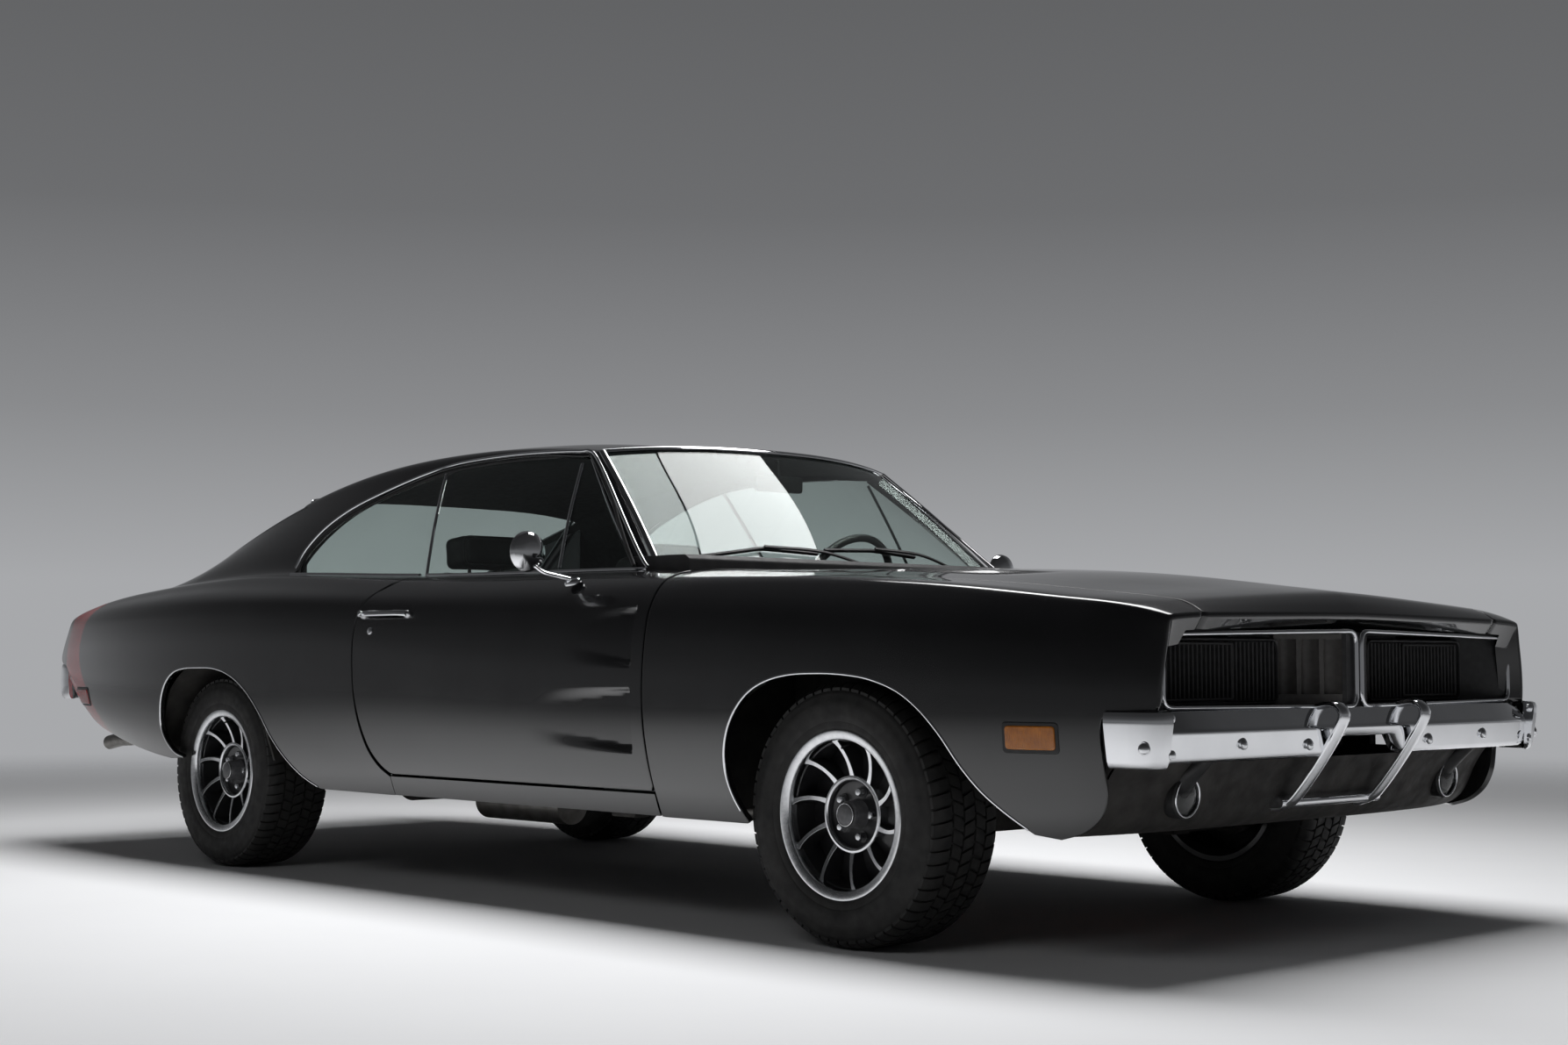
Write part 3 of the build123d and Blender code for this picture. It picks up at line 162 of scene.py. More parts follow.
def tint(tree, factor, low, high):
    """Two colours mixed by a factor."""
    ramp = tree.nodes.new("ShaderNodeValToRGB")
    ramp.color_ramp.elements[0].position = 0.3
    ramp.color_ramp.elements[1].position = 0.7
    ramp.color_ramp.elements[0].color = (*low, 1.0)
    ramp.color_ramp.elements[1].color = (*high, 1.0)
    tree.links.new(factor, ramp.inputs["Fac"])
    return ramp.outputs["Color"]


def bump(tree, shader, height, strength, distance, socket="Normal"):
    """Relief from a height."""
    node = tree.nodes.new("ShaderNodeBump")
    node.inputs["Strength"].default_value = strength
    node.inputs["Distance"].default_value = distance
    tree.links.new(height, node.inputs["Height"])
    tree.links.new(node.outputs["Normal"], shader.inputs[socket])


def surface(name, low, high, rough, scale=30.0, metal=0.0, relief=0.0, relief_scale=400.0,
            relief_depth=0.0004, coat=0.0, sheen=0.0, specular=0.5, stretch=(1.0, 1.0, 1.0)):
    """The common finish: colour and roughness vary together, with a fine relief."""
    material, tree, shader = new_material(name)
    cloud = noise(tree, scale, stretch=stretch)
    tree.links.new(tint(tree, cloud, low, high), shader.inputs["Base Color"])
    tree.links.new(spread(tree, noise(tree, scale * 1.7, stretch=stretch), *rough),
                   shader.inputs["Roughness"])
    shader.inputs["Metallic"].default_value = metal
    shader.inputs["Specular IOR Level"].default_value = specular
    shader.inputs["Coat Weight"].default_value = coat
    shader.inputs["Coat Roughness"].default_value = 0.03
    shader.inputs["Sheen Weight"].default_value = sheen
    if relief:
        bump(tree, shader, noise(tree, relief_scale, 3.0, stretch), relief, relief_depth)
    return material


def gloss_paint(name, low, high):
    """Clear-coated enamel with a faint orange peel."""
    material = surface(name, low, high, (0.16, 0.24), 4.0, coat=1.0, specular=0.5)
    shader = material.node_tree.nodes["Principled BSDF"]
    shader.inputs["Coat Roughness"].default_value = 0.015
    bump(material.node_tree, shader, noise(material.node_tree, 190.0, 2.0), 0.05, 0.0002, "Coat Normal")
    return material


def clear_glass(name, colour, rough=0.0, ior=1.45):
    """Transmissive glass or lens, very slightly uneven."""
    material, tree, shader = new_material(name)
    cloud = noise(tree, 3.0, 2.0)
    paler = tuple(min(1.0, c * 1.03) for c in colour)
    tree.links.new(tint(tree, cloud, colour, paler), shader.inputs["Base Color"])
    shader.inputs["Transmission Weight"].default_value = 1.0
    shader.inputs["Roughness"].default_value = rough
    shader.inputs["IOR"].default_value = ior
    return material


def lens(name, low, high, scale):
    """A moulded plastic lens: half see-through, with fine optic ribs."""
    material, tree, shader = new_material(name)
    tree.links.new(tint(tree, noise(tree, 40.0), low, high), shader.inputs["Base Color"])
    shader.inputs["Roughness"].default_value = 0.12
    shader.inputs["Transmission Weight"].default_value = 0.25
    shader.inputs["Coat Weight"].default_value = 0.6
    place = tree.nodes.new("ShaderNodeTexCoord")
    wave = tree.nodes.new("ShaderNodeTexWave")
    wave.inputs["Scale"].default_value = scale
    tree.links.new(place.outputs["Object"], wave.inputs["Vector"])
    bump(tree, shader, wave.outputs["Fac"], 0.35, 0.0008)
    return material


BLACK = gloss_paint("gloss_black", (0.0030, 0.0030, 0.0034), (0.0048, 0.0048, 0.0054))
RED = gloss_paint("stripe_red", (0.30, 0.016, 0.020), (0.36, 0.022, 0.026))
CHROME = surface("chrome", (0.80, 0.81, 0.83), (0.86, 0.87, 0.89), (0.03, 0.07), 9.0, metal=1.0,
                 relief=0.04, relief_scale=60.0, relief_depth=0.0003)
POLISHED = surface("machined_alloy", (0.66, 0.67, 0.69), (0.80, 0.81, 0.82), (0.16, 0.26), 60.0, metal=1.0,
                   relief=0.10, relief_scale=900.0, relief_depth=0.0001)
VANE_BLACK = surface("wheel_black", (0.010, 0.010, 0.011), (0.018, 0.018, 0.019), (0.30, 0.42), 50.0,
                     coat=0.3, relief=0.1)
CAP_GREY = surface("cap_grey", (0.10, 0.10, 0.105), (0.15, 0.15, 0.155), (0.34, 0.46), 80.0, metal=0.4,
                   relief=0.1)
RUBBER = surface("tyre_rubber", (0.014, 0.014, 0.014), (0.026, 0.025, 0.024), (0.56, 0.78), 24.0,
                 relief=0.35, relief_scale=500.0, specular=0.35)
SATIN = surface("satin_black", (0.010, 0.010, 0.010), (0.020, 0.020, 0.021), (0.38, 0.55), 40.0,
                relief=0.12)
GRILLE_GREY = surface("grille_charcoal", (0.018, 0.018, 0.019), (0.032, 0.032, 0.033), (0.34, 0.48), 60.0,
                      relief=0.12)
GRILLE_BLACK = surface("grille_black", (0.006, 0.006, 0.0065), (0.012, 0.012, 0.0125), (0.40, 0.56), 60.0)
BAR_GREY = surface("bar_grey", (0.050, 0.050, 0.051), (0.075, 0.075, 0.076), (0.34, 0.46), 60.0)
LOUVRE_GREY = surface("louvre_grey", (0.085, 0.080, 0.076), (0.115, 0.108, 0.103), (0.34, 0.46), 60.0,
                      coat=0.2)
UNDER = surface("underbody_black", (0.012, 0.011, 0.010), (0.035, 0.032, 0.029), (0.62, 0.88), 14.0,
                relief=0.5, relief_scale=160.0, relief_depth=0.001)
STEEL = surface("bare_steel", (0.18, 0.17, 0.16), (0.32, 0.31, 0.29), (0.32, 0.50), 22.0, metal=0.9,
                relief=0.2, relief_scale=300.0)
IRON = surface("cast_iron", (0.030, 0.028, 0.026), (0.075, 0.070, 0.064), (0.55, 0.80), 30.0, metal=0.5,
               relief=0.5, relief_scale=250.0, relief_depth=0.0008)
ENGINE = surface("engine_enamel", (0.22, 0.045, 0.010), (0.30, 0.070, 0.016), (0.35, 0.52), 18.0,
                 relief=0.3, relief_scale=220.0)
VINYL = surface("vinyl_black", (0.016, 0.016, 0.017), (0.028, 0.027, 0.028), (0.42, 0.56), 18.0,
                relief=0.45, relief_scale=650.0, relief_depth=0.0005, sheen=0.05)
CARPET = surface("carpet_black", (0.010, 0.010, 0.011), (0.028, 0.028, 0.030), (0.88, 1.0), 260.0,
                 relief=0.9, relief_scale=900.0, relief_depth=0.002, sheen=0.4, specular=0.15)
HEADLINER = surface("headliner", (0.045, 0.045, 0.047), (0.065, 0.065, 0.067), (0.80, 0.95), 40.0,
                    relief=0.3, relief_scale=700.0)
GLAZING = clear_glass("tinted_glass", (0.80, 0.875, 0.85))
CLEAR_LENS = clear_glass("clear_lens", (0.93, 0.94, 0.95), 0.04)
AMBER = lens("amber_lens", (0.42, 0.125, 0.006), (0.62, 0.20, 0.012), 60.0)
RED_LENS = lens("red_lens", (0.28, 0.006, 0.006), (0.42, 0.012, 0.010), 60.0)
GAUGE = surface("gauge_face", (0.02, 0.02, 0.022), (0.05, 0.05, 0.055), (0.3, 0.4), 200.0, coat=0.5)


# ------------------------------------------------------------------ mesh helpers
def finish_piece(name, points, faces, materials, body, marks=None, normals=None, sharp=None):
    """Makes the object of one piece from points in millimetres, and lets it ride on a body."""
    mesh = bpy.data.meshes.new(name)
    mesh.from_pydata((np.asarray(points, float) * MM).tolist(), [], faces)
    for material in materials:
        mesh.materials.append(material)
    if marks is not None:
        mesh.polygons.foreach_set("material_index", np.asarray(marks, np.int32))
    mesh.polygons.foreach_set("use_smooth", np.ones(len(mesh.polygons), bool))
    if sharp is not None:
        mesh.set_sharp_from_angle(angle=math.radians(sharp))
    if normals is not None:
        mesh.normals_split_custom_set(np.asarray(normals, float).tolist())
    piece = bpy.data.objects.new(name, mesh)
    bpy.context.scene.collection.objects.link(piece)
    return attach(piece, body)


def bevelled(piece, width, segments=2, angle=32.0):
    """Rounds the sharp edges of a piece, in millimetres."""
    modifier = piece.modifiers.new("edges", "BEVEL")
    modifier.width = width * MM
    modifier.segments = segments
    modifier.limit_method = "ANGLE"
    modifier.angle_limit = math.radians(angle)
    modifier.harden_normals = True
    return piece


class Build:
    """Collects the closed shapes of one piece."""

    def __init__(self):
        self.points = []
        self.faces = []
        self.marks = []
        self.count = 0

    def add(self, shape, material=0):
        points, faces = shape
        points = np.asarray(points, float)
        self.points.append(points)
        self.faces += [tuple(i + self.count for i in face) for face in faces]
        self.marks += [material] * len(faces)
        self.count += len(points)
        return self

    def both(self, shape, material=0):
        """The shape and its mirror image on the car's other side."""
        self.add(shape, material)
        return self.add(flipped(shape), material)

    def piece(self, name, materials, body, sharp=40.0):
        points = np.concatenate(self.points)
        return finish_piece(name, points, self.faces, materials, body, self.marks, sharp=sharp)


def flipped(shape):
    """A shape mirrored in the car's middle plane."""
    points, faces = shape
    return np.asarray(points, float) * (1.0, -1.0, 1.0), [tuple(reversed(face)) for face in faces]


def on_side(shape, side):
    """A shape drawn for the left side, on either side."""
    return shape if side > 0 else flipped(shape)


def outward(points, faces):
    """Turns a closed shape's faces outward."""
    points = np.asarray(points, float)
    volume = 0.0
    for face in faces:
        a = points[face[0]]
        for i, j in zip(face[1:-1], face[2:]):
            volume += float(np.dot(a, np.cross(points[i], points[j])))
    return (points, faces) if volume > 0 else (points, [tuple(reversed(face)) for face in faces])


def loops_shape(loops, closed=False):
    """Skins a list of equal loops, with end caps unless the list is closed."""
    loops = [np.asarray(loop, float) for loop in loops]
    size = len(loops[0])
    faces = []
    count = len(loops)
    for i in range(count if closed else count - 1):
        a, b = i * size, ((i + 1) % count) * size
        for j in range(size):
            k = (j + 1) % size
            faces.append((a + j, a + k, b + k, b + j))
    if not closed:
        faces.append(tuple(reversed(range(size))))
        faces.append(tuple(range((count - 1) * size, count * size)))
    return outward(np.concatenate(loops), faces)


def box_shape(x, y, z):
    """A box from its three ranges."""
    loops = [[(x[0], y[i], z[0]), (x[1], y[i], z[0]), (x[1], y[i], z[1]), (x[0], y[i], z[1])]
             for i in (0, 1)]
    return loops_shape(loops)


def prism_shape(outline, y_from, y_to):
    """A side-view outline (x, z) carried across the car."""
    return loops_shape([[(x, y, z) for x, z in outline] for y in (y_from, y_to)])


def plan_shape(outline, z_from, z_to):
    """A plan outline (x, y) carried upward."""
    return loops_shape([[(x, y, z) for x, y in outline] for z in (z_from, z_to)])


def front_shape(outline, x_from, x_to):
    """A front-view outline (y, z) carried along the car."""
    return loops_shape([[(x, y, z) for y, z in outline] for x in (x_from, x_to)])


def lathe_shape(profile, centre, side=LEFT, segments=96):
    """Turns a profile of (radius, outward distance) round an axis along Y."""
    loops = []
    for i in range(segments):
        angle = 2.0 * math.pi * i / segments
        sine, cosine = math.sin(angle), math.cos(angle)
        loops.append([(centre[0] + r * sine, centre[1] + side * a, centre[2] + r * cosine) for r,
                      a in profile])
    return loops_shape(loops, closed=True)


def turned(profile, start, direction, segments=32):
    """Turns a profile of (radius, distance) round any axis. The profile starts and ends on the axis."""
    axis = Vector(direction).normalized()
    across = axis.orthogonal().normalized()
    other = axis.cross(across)
    points, faces, rings = [], [], []
    for r, d in profile:
        middle = Vector(start) + axis * d
        if r < 1e-6:
            rings.append([len(points)])
            points.append(tuple(middle))
            continue
        rings.append(list(range(len(points), len(points) + segments)))
        for i in range(segments):
            angle = 2.0 * math.pi * i / segments
            points.append(tuple(middle + (across * math.cos(angle) + other * math.sin(angle)) * r))
    for low, high in zip(rings[:-1], rings[1:]):
        for i in range(segments):
            j = (i + 1) % segments
            if len(low) == 1:
                faces.append((low[0], high[j], high[i]))
            elif len(high) == 1:
                faces.append((low[i], low[j], high[0]))
            else:
                faces.append((low[i], low[j], high[j], high[i]))
    return outward(points, faces)


def rod_shape(start, end, radius, segments=16):
    """A round bar between two points."""
    length = (Vector(end) - Vector(start)).length
    profile = [(0.0, 0.0), (radius, 0.0), (radius, length), (0.0, length)]
    return turned(profile, start, Vector(end) - Vector(start), segments)


def smooth_line(points, step=10.0, closed=False):
    """A centripetal curve through points, at about an even step."""
    given = np.asarray(points, float)
    if closed:
        given = np.vstack([given[-1], given, given[0], given[1]])
    else:
        given = np.vstack([2 * given[0] - given[1], given, 2 * given[-1] - given[-2]])
    result = []
    for p0, p1, p2, p3 in zip(given[:-3], given[1:-2], given[2:-1], given[3:]):
        t1 = np.linalg.norm(p1 - p0) ** 0.5
        t2 = t1 + max(np.linalg.norm(p2 - p1), 1e-9) ** 0.5
        t3 = t2 + np.linalg.norm(p3 - p2) ** 0.5
        count = max(1, int(round(np.linalg.norm(p2 - p1) / step)))
        for t in t1 + (t2 - t1) * np.arange(count)[:, None] / count:
            a1 = (t1 - t) / t1 * p0 + t / t1 * p1
            a2 = (t2 - t) / (t2 - t1) * p1 + (t - t1) / (t2 - t1) * p2
            a3 = (t3 - t) / (t3 - t2) * p2 + (t - t2) / (t3 - t2) * p3
            b1 = (t2 - t) / t2 * a1 + t / t2 * a2
            b2 = (t3 - t) / (t3 - t1) * a2 + (t - t1) / (t3 - t1) * a3
            result.append((t2 - t) / (t2 - t1) * b1 + (t - t1) / (t2 - t1) * b2)
    if not closed:
        result.append(given[-2])
    return np.array(result)


def straight_line(points, step=10.0):
    """Points along straight runs, at about an even step, with the corners kept."""
    points = np.asarray(points, float)
    result = []
    for a, b in zip(points[:-1], points[1:]):
        count = max(1, int(round(np.linalg.norm(b - a) / step)))
        result += [a + (b - a) * i / count for i in range(count)]
    return np.array(result + [points[-1]])


def sweep_shape(path, ups, profile, closed=False):
    """Carries a profile of (across, up) along a path with an up direction at each point."""
    path = np.asarray(path, float)
    ups = np.broadcast_to(np.asarray(ups, float), path.shape)
    if closed:
        along = np.roll(path, -1, 0) - np.roll(path, 1, 0)
    else:
        along = np.gradient(path, axis=0)
    along = along / np.linalg.norm(along, axis=1)[:, None]
    across = np.cross(along, ups)
    across = across / np.linalg.norm(across, axis=1)[:, None]
    lift = np.cross(across, along)
    loops = [[p + c * a + l * u for a, u in profile] for p, c, l in zip(path, across, lift)]
    return loops_shape(loops, closed)


def half_round(width, height, count=7):
    """A domed strip profile, flat underneath."""
    arc = [math.pi * i / (count - 1) for i in range(count)]
    return [(0.5 * width * math.cos(a), height * math.sin(a) ** 0.8) for a in arc]


def round_profile(radius, count=10):
    """A round profile."""
    turn = [2.0 * math.pi * i / count for i in range(count)]
    return [(radius * math.cos(a), radius * math.sin(a)) for a in turn]


def rounded_outline(corners, radius, steps=5):
    """A closed outline with its corners rounded."""
    corners = [np.asarray(corner, float) for corner in corners]
    result = []
    for before, corner, after in zip([corners[-1]] + corners[:-1], corners, corners[1:] + [corners[0]]):
        back, ahead = before - corner, after - corner
        cut = min(radius, 0.49 * np.linalg.norm(back), 0.49 * np.linalg.norm(ahead))
        start = corner + back / np.linalg.norm(back) * cut
        end = corner + ahead / np.linalg.norm(ahead) * cut
        for i in range(steps + 1):
            t = i / steps
            result.append(tuple((1 - t) ** 2 * start + 2 * t * (1 - t) * corner + t * t * end))
    return result


def rounded_box(across, up, radius, steps=5):
    """A rounded rectangle from its two ranges, anticlockwise from the low corner."""
    corners = [(across[0], up[0]), (across[1], up[0]), (across[1], up[1]), (across[0], up[1])]
    return rounded_outline(corners, radius, steps)


def level_path(plan):
    """A plan line as a path at height 0."""
    return np.stack([plan[:, 0], plan[:, 1], np.zeros(len(plan))], axis=1)


# ------------------------------------------------------------------ curved skins
def natural_spline(xs, ys):
    """A natural cubic spline through rows, as a function of an array of stations."""
    order = np.argsort(xs)
    xs, ys = np.asarray(xs, float)[order], np.asarray(ys, float)[order]
    gaps, count = np.diff(xs), len(xs)
    matrix, rates = np.eye(count), np.zeros_like(ys)
    for i in range(1, count - 1):
        matrix[i, i - 1 : i + 2] = gaps[i - 1], 2.0 * (gaps[i - 1] + gaps[i]), gaps[i]
        rates[i] = 6.0 * ((ys[i + 1] - ys[i]) / gaps[i] - (ys[i] - ys[i - 1]) / gaps[i - 1])
    bends = np.linalg.solve(matrix, rates)

    def value(x):
        x = np.asarray(x, float)
        i = np.clip(np.searchsorted(xs, x) - 1, 0, count - 2)
        gap, near, far = gaps[i], xs[i + 1] - x, x - xs[i]
        if ys.ndim > 1:
            gap, near, far = gap[:, None], near[:, None], far[:, None]
        return (
            bends[i] * near**3 / (6 * gap)
            + bends[i + 1] * far**3 / (6 * gap)
            + (ys[i] / gap - bends[i] * gap / 6) * near
            + (ys[i + 1] / gap - bends[i + 1] * gap / 6) * far
        )

    return value


def basis(count, s):
    """Clamped cubic B-spline weights."""
    last = count - 3
    knots = np.concatenate([np.zeros(3), np.arange(last + 1), np.full(3, last)]).astype(float)
    s = np.clip(s, 0.0, last - 1e-9)[:, None]
    weights = ((s >= knots[:-1]) & (s < knots[1:])).astype(float)
    for degree in (1, 2, 3):
        left = knots[degree:-1] - knots[: -degree - 1]
        right = knots[degree + 1 :] - knots[1:-degree]
        with np.errstate(divide="ignore", invalid="ignore"):
            rise = np.where(left > 0, (s - knots[: -degree - 1]) / left, 0.0)
            fall = np.where(right > 0, (knots[degree + 1 :] - s) / right, 0.0)
        weights = rise * weights[:, :-1] + fall * weights[:, 1:]
    return weights


class Skin:
    """A smooth surface of cross-sections: a B-spline across, a spline along, and an optional relief."""

    def __init__(self, controls, count, crest, relief=None, sink=0.0):
        self.controls = controls
        self.count = count
        self.crest = crest
        self.relief = relief
        self.sink = sink

    def bare(self, x, s):
        yz = np.einsum("nk,nkd->nd", basis(self.count, np.abs(s)), self.controls(x))
        return np.stack([x, np.sign(s) * yz[:, 0], yz[:, 1]], axis=1)

    def bare_normal(self, x, s):
        step_x, step_s = 1.5, 0.012
        along = self.bare(x + step_x, s) - self.bare(x - step_x, s)
        last = self.count - 3.0
        low = np.where(s > last - step_s, last - 2 * step_s, np.where(s < step_s - last, -last, s - step_s))
        across = self.bare(x, low + 2 * step_s) - self.bare(x, low)
        normal = np.cross(along, across)
        return normal / np.linalg.norm(normal, axis=1)[:, None]

    def point(self, x, s):
        """The surface, sunk by a depth and by the relief."""
        base = self.bare(x, s)
        if self.relief is None and not self.sink:
            return base
        depth = self.sink + (0.0 if self.relief is None else self.relief(base))
        return base - self.bare_normal(x, s) * np.reshape(depth, (-1, 1))

    def normal(self, x, s):
        if self.relief is None:
            return self.bare_normal(x, s)
        step_x, step_s = 1.0, 0.008
        along = self.point(x + step_x, s) - self.point(x - step_x, s)
        across = self.point(x, s + step_s) - self.point(x, s - step_s)
        normal = np.cross(along, across)
        return normal / np.linalg.norm(normal, axis=1)[:, None]

    def search(self, x, low, high, before):
        """Sections found by halving a range, where before(points) tells that the place lies further on."""
        low, high = np.full(len(x), low), np.full(len(x), high)
        for _ in range(20):
            middle = 0.5 * (low + high)
            further = before(self.bare(x, middle))
            low, high = np.where(further, middle, low), np.where(further, high, middle)
        return 0.5 * (low + high)

    def at_height(self, x, z):
        """The section at a height on the side."""
        x, z = np.atleast_1d(x).astype(float), np.atleast_1d(z)
        return self.search(x, self.crest - 0.4, self.count - 3.0, lambda points: points[:, 2] > z)

    def at_width(self, x, y):
        """The section at a distance from the middle on the top."""
        x, y = np.atleast_1d(x).astype(float), np.atleast_1d(y)
        found = self.search(x, 0.0, self.crest + 0.5, lambda points: points[:, 1] < np.abs(y))
        return np.where(y < 0.0, -found, found)

    def side(self, points, smooth=False, step=9.0):
        """An outline run given in the side view, as (station, section)."""
        line = smooth_line(points, step) if smooth else straight_line(points, step)
        return np.stack([line[:, 0], self.at_height(line[:, 0], line[:, 1])], axis=1)

    def top(self, points, smooth=False, step=9.0):
        """An outline run given in plan, as (station, section)."""
        line = smooth_line(points, step) if smooth else straight_line(points, step)
        return np.stack([line[:, 0], self.at_width(line[:, 0], line[:, 1])], axis=1)


SECTION_MM = 120.0  # about one section step, so that the flat domain is nearly true to scale
body_columns = natural_spline([row[0] for row in BODY_ROWS], [row[1:] for row in BODY_ROWS])


def body_controls(x):
    """Control points (y, z) of the lower body's cross-section, from the middle out and down."""
    w, zb, waist, yc, zc, yd, zd, z0, soft = body_columns(x).T
    turn = np.clip((x - NOSE_DROP_X) / (NOSE_X - NOSE_DROP_X), 0.0, 2.0) ** 2
    zd, z0 = zd - NOSE_DROP[0] * turn, z0 - NOSE_DROP[1] * turn
    rise, drop, low = z0 - zd, waist - zc, zb - waist
    rows = (
        (0.0 * w, z0),
        (0.05 * yd, z0 - 0.02 * rise),
        (0.25 * yd, z0 - 0.14 * rise),
        (0.62 * yd, z0 - 0.56 * rise),
        (yd, zd),
        (yd + 0.5 * (yc - yd), zd + 0.45 * (zc - zd)),
        (yc - soft, zc + 0.10 * soft),
        (yc + 0.45 * soft, zc - soft),
        (w - 19.0, zc + 0.30 * drop),
        (w - 6.0, zc + 0.63 * drop),
        (w + 1.0, waist),
        (w - 3.0, waist + 0.32 * low),
        (w - 17.0, waist + 0.62 * low),
        (w - 38.0, waist + 0.88 * low),
        (w - 60.0, zb),
    )
    return np.stack([np.stack(row, axis=1) for row in rows], axis=1)


def step_up(value, start, width):
    """A smooth step from 0 to 1."""
    t = np.clip((value - start) / width, 0.0, 1.0)
    return t * t * (3.0 - 2.0 * t)


SCALLOPS = (
    # front x, length, low z, high z, depth
    (938.0, 300.0, 684.0, 846.0, 13.0),
    (938.0, 460.0, 456.0, 630.0, 15.0),
)


def door_relief(points):
    """The two scallops behind the door's front edge: a steep front wall, fading to the rear."""
    x, z = points[:, 0], points[:, 2]
    depth = np.zeros(len(points))
    for front, length, low, high, deep in SCALLOPS:
        back = np.clip((front - x) / length, 0.0, 1.0)
        fade = (1.0 - back) ** 1.4 * (1.0 - step_up(x, front - 9.0, 10.0))
        wall = 14.0 + 50.0 * back
        tall = step_up(z, low, wall) * (1.0 - step_up(z, high - wall, wall))
        depth += deep * fade * tall
    return depth


def hood_relief(points):
    """Two long shallow recesses toward the hood's rear corners."""
    x, y = points[:, 0], np.abs(points[:, 1])
    along = step_up(x, 1240.0, 26.0) * (1.0 - step_up(x, 1560.0, 300.0))
    across = step_up(y, 215.0, 30.0) * (1.0 - step_up(y, 420.0, 22.0))
    return 12.0 * along * across


BODY_POINTS, BODY_CREST = 15, 5.5  # control points of a section, and where its crest comes
BODY = Skin(body_controls, BODY_POINTS, BODY_CREST)
DOOR_SKIN = Skin(body_controls, BODY_POINTS, BODY_CREST, relief=door_relief)
HOOD_SKIN = Skin(body_controls, BODY_POINTS, BODY_CREST, relief=hood_relief)

roof_centre = natural_spline(*zip(*ROOF_CENTRE))
roof_shoulder = natural_spline(*zip(*ROOF_SHOULDER))
roof_edge = natural_spline(*zip(*ROOF_EDGE))


def rail_height(y):
    """The lower body's height along the car at one distance from the middle."""
    stations = np.linspace(-2100.0, 700.0, 120)
    heights = BODY.bare(stations, BODY.at_width(stations, np.full(120, y)))[:, 2]
    return lambda x: np.interp(x, stations, heights)


sail_foot = rail_height(SAIL_FOOT_Y)
sail_inner = rail_height(SAIL_FOOT_Y - 24.0)


def roof_controls(x):
    """Control points (y, z) of the roof, its edge and the sail panel down to the quarter."""
    z0, zs, ze = roof_centre(x), roof_shoulder(x), roof_edge(x)
    foot, inner = sail_foot(x), sail_inner(x)
    ze = np.maximum(ze, inner + 6.0)
    zs = np.maximum(zs, ze)
    z0 = np.maximum(z0, zs)
    one = np.ones_like(x)
    heel = inner + 0.16 * np.minimum(ze - inner, 120.0)
    rows = (
        (0.0 * one, z0),
        (110.0 * one, z0 - 0.02 * (z0 - zs)),
        (ROOF_SHOULDER_Y * one, zs + 0.20 * (zs - ze)),
        (480.0 * one, zs - 0.34 * (zs - ze)),
        (566.0 * one, ze + 0.22 * (zs - ze)),
        (ROOF_EDGE_Y * one, ze + 1.0),
        (612.0 * one, ze - 0.10 * (ze - heel)),
        (656.0 * one, ze + 0.40 * (heel - ze)),
        (700.0 * one, ze + 0.72 * (heel - ze)),
        (736.0 * one, heel),
        ((SAIL_FOOT_Y - 24.0) * one, inner),
        (SAIL_FOOT_Y * one, foot),
    )
    return np.stack([np.stack(row, axis=1) for row in rows], axis=1)


ROOF = Skin(roof_controls, 12, 4.6)


def outline_of(*runs):
    """Joins outline runs into one closed loop, anticlockwise, without doubled points."""
    points = np.concatenate(runs)
    scaled = points * (1.0, SECTION_MM)
    keep = np.linalg.norm(scaled - np.roll(scaled, 1, 0), axis=1) > 1.5
    points, scaled = points[keep], scaled[keep]
    after = np.roll(scaled, -1, 0)
    area = np.sum(scaled[:, 0] * after[:, 1] - after[:, 0] * scaled[:, 1])
    return points if area > 0 else points[::-1]


def inside_outline(points, outline):
    """Which points lie inside a closed outline."""
    result = np.zeros(len(points), bool)
    for (x0, y0), (x1, y1) in zip(outline, np.roll(outline, -1, 0)):
        crosses = (y0 > points[:, 1]) != (y1 > points[:, 1])
        with np.errstate(divide="ignore", invalid="ignore"):
            at = (x1 - x0) * (points[:, 1] - y0) / (y1 - y0) + x0
        result ^= crosses & (points[:, 0] < at)
    return result


def distance_to(points, line):
    """Each point's distance to the nearest point of a line."""
    best = np.full(len(points), 1e9)
    for start in range(0, len(line), 64):
        part = line[start : start + 64]
        gaps = np.linalg.norm(points[:, None, :] - part[None, :, :], axis=2)
        best = np.minimum(best, gaps.min(axis=1))
    return best


EDGE_TURNS = (0.28, 0.56, 0.80, 1.0)  # the rings of a panel's rounded edge, as parts of a quarter turn
FINE_CLEAR = 9.0  # how near the coarse grid may come to the fine points
BORDER_CLEAR = 0.36  # and to the border, as a part of the grid's step


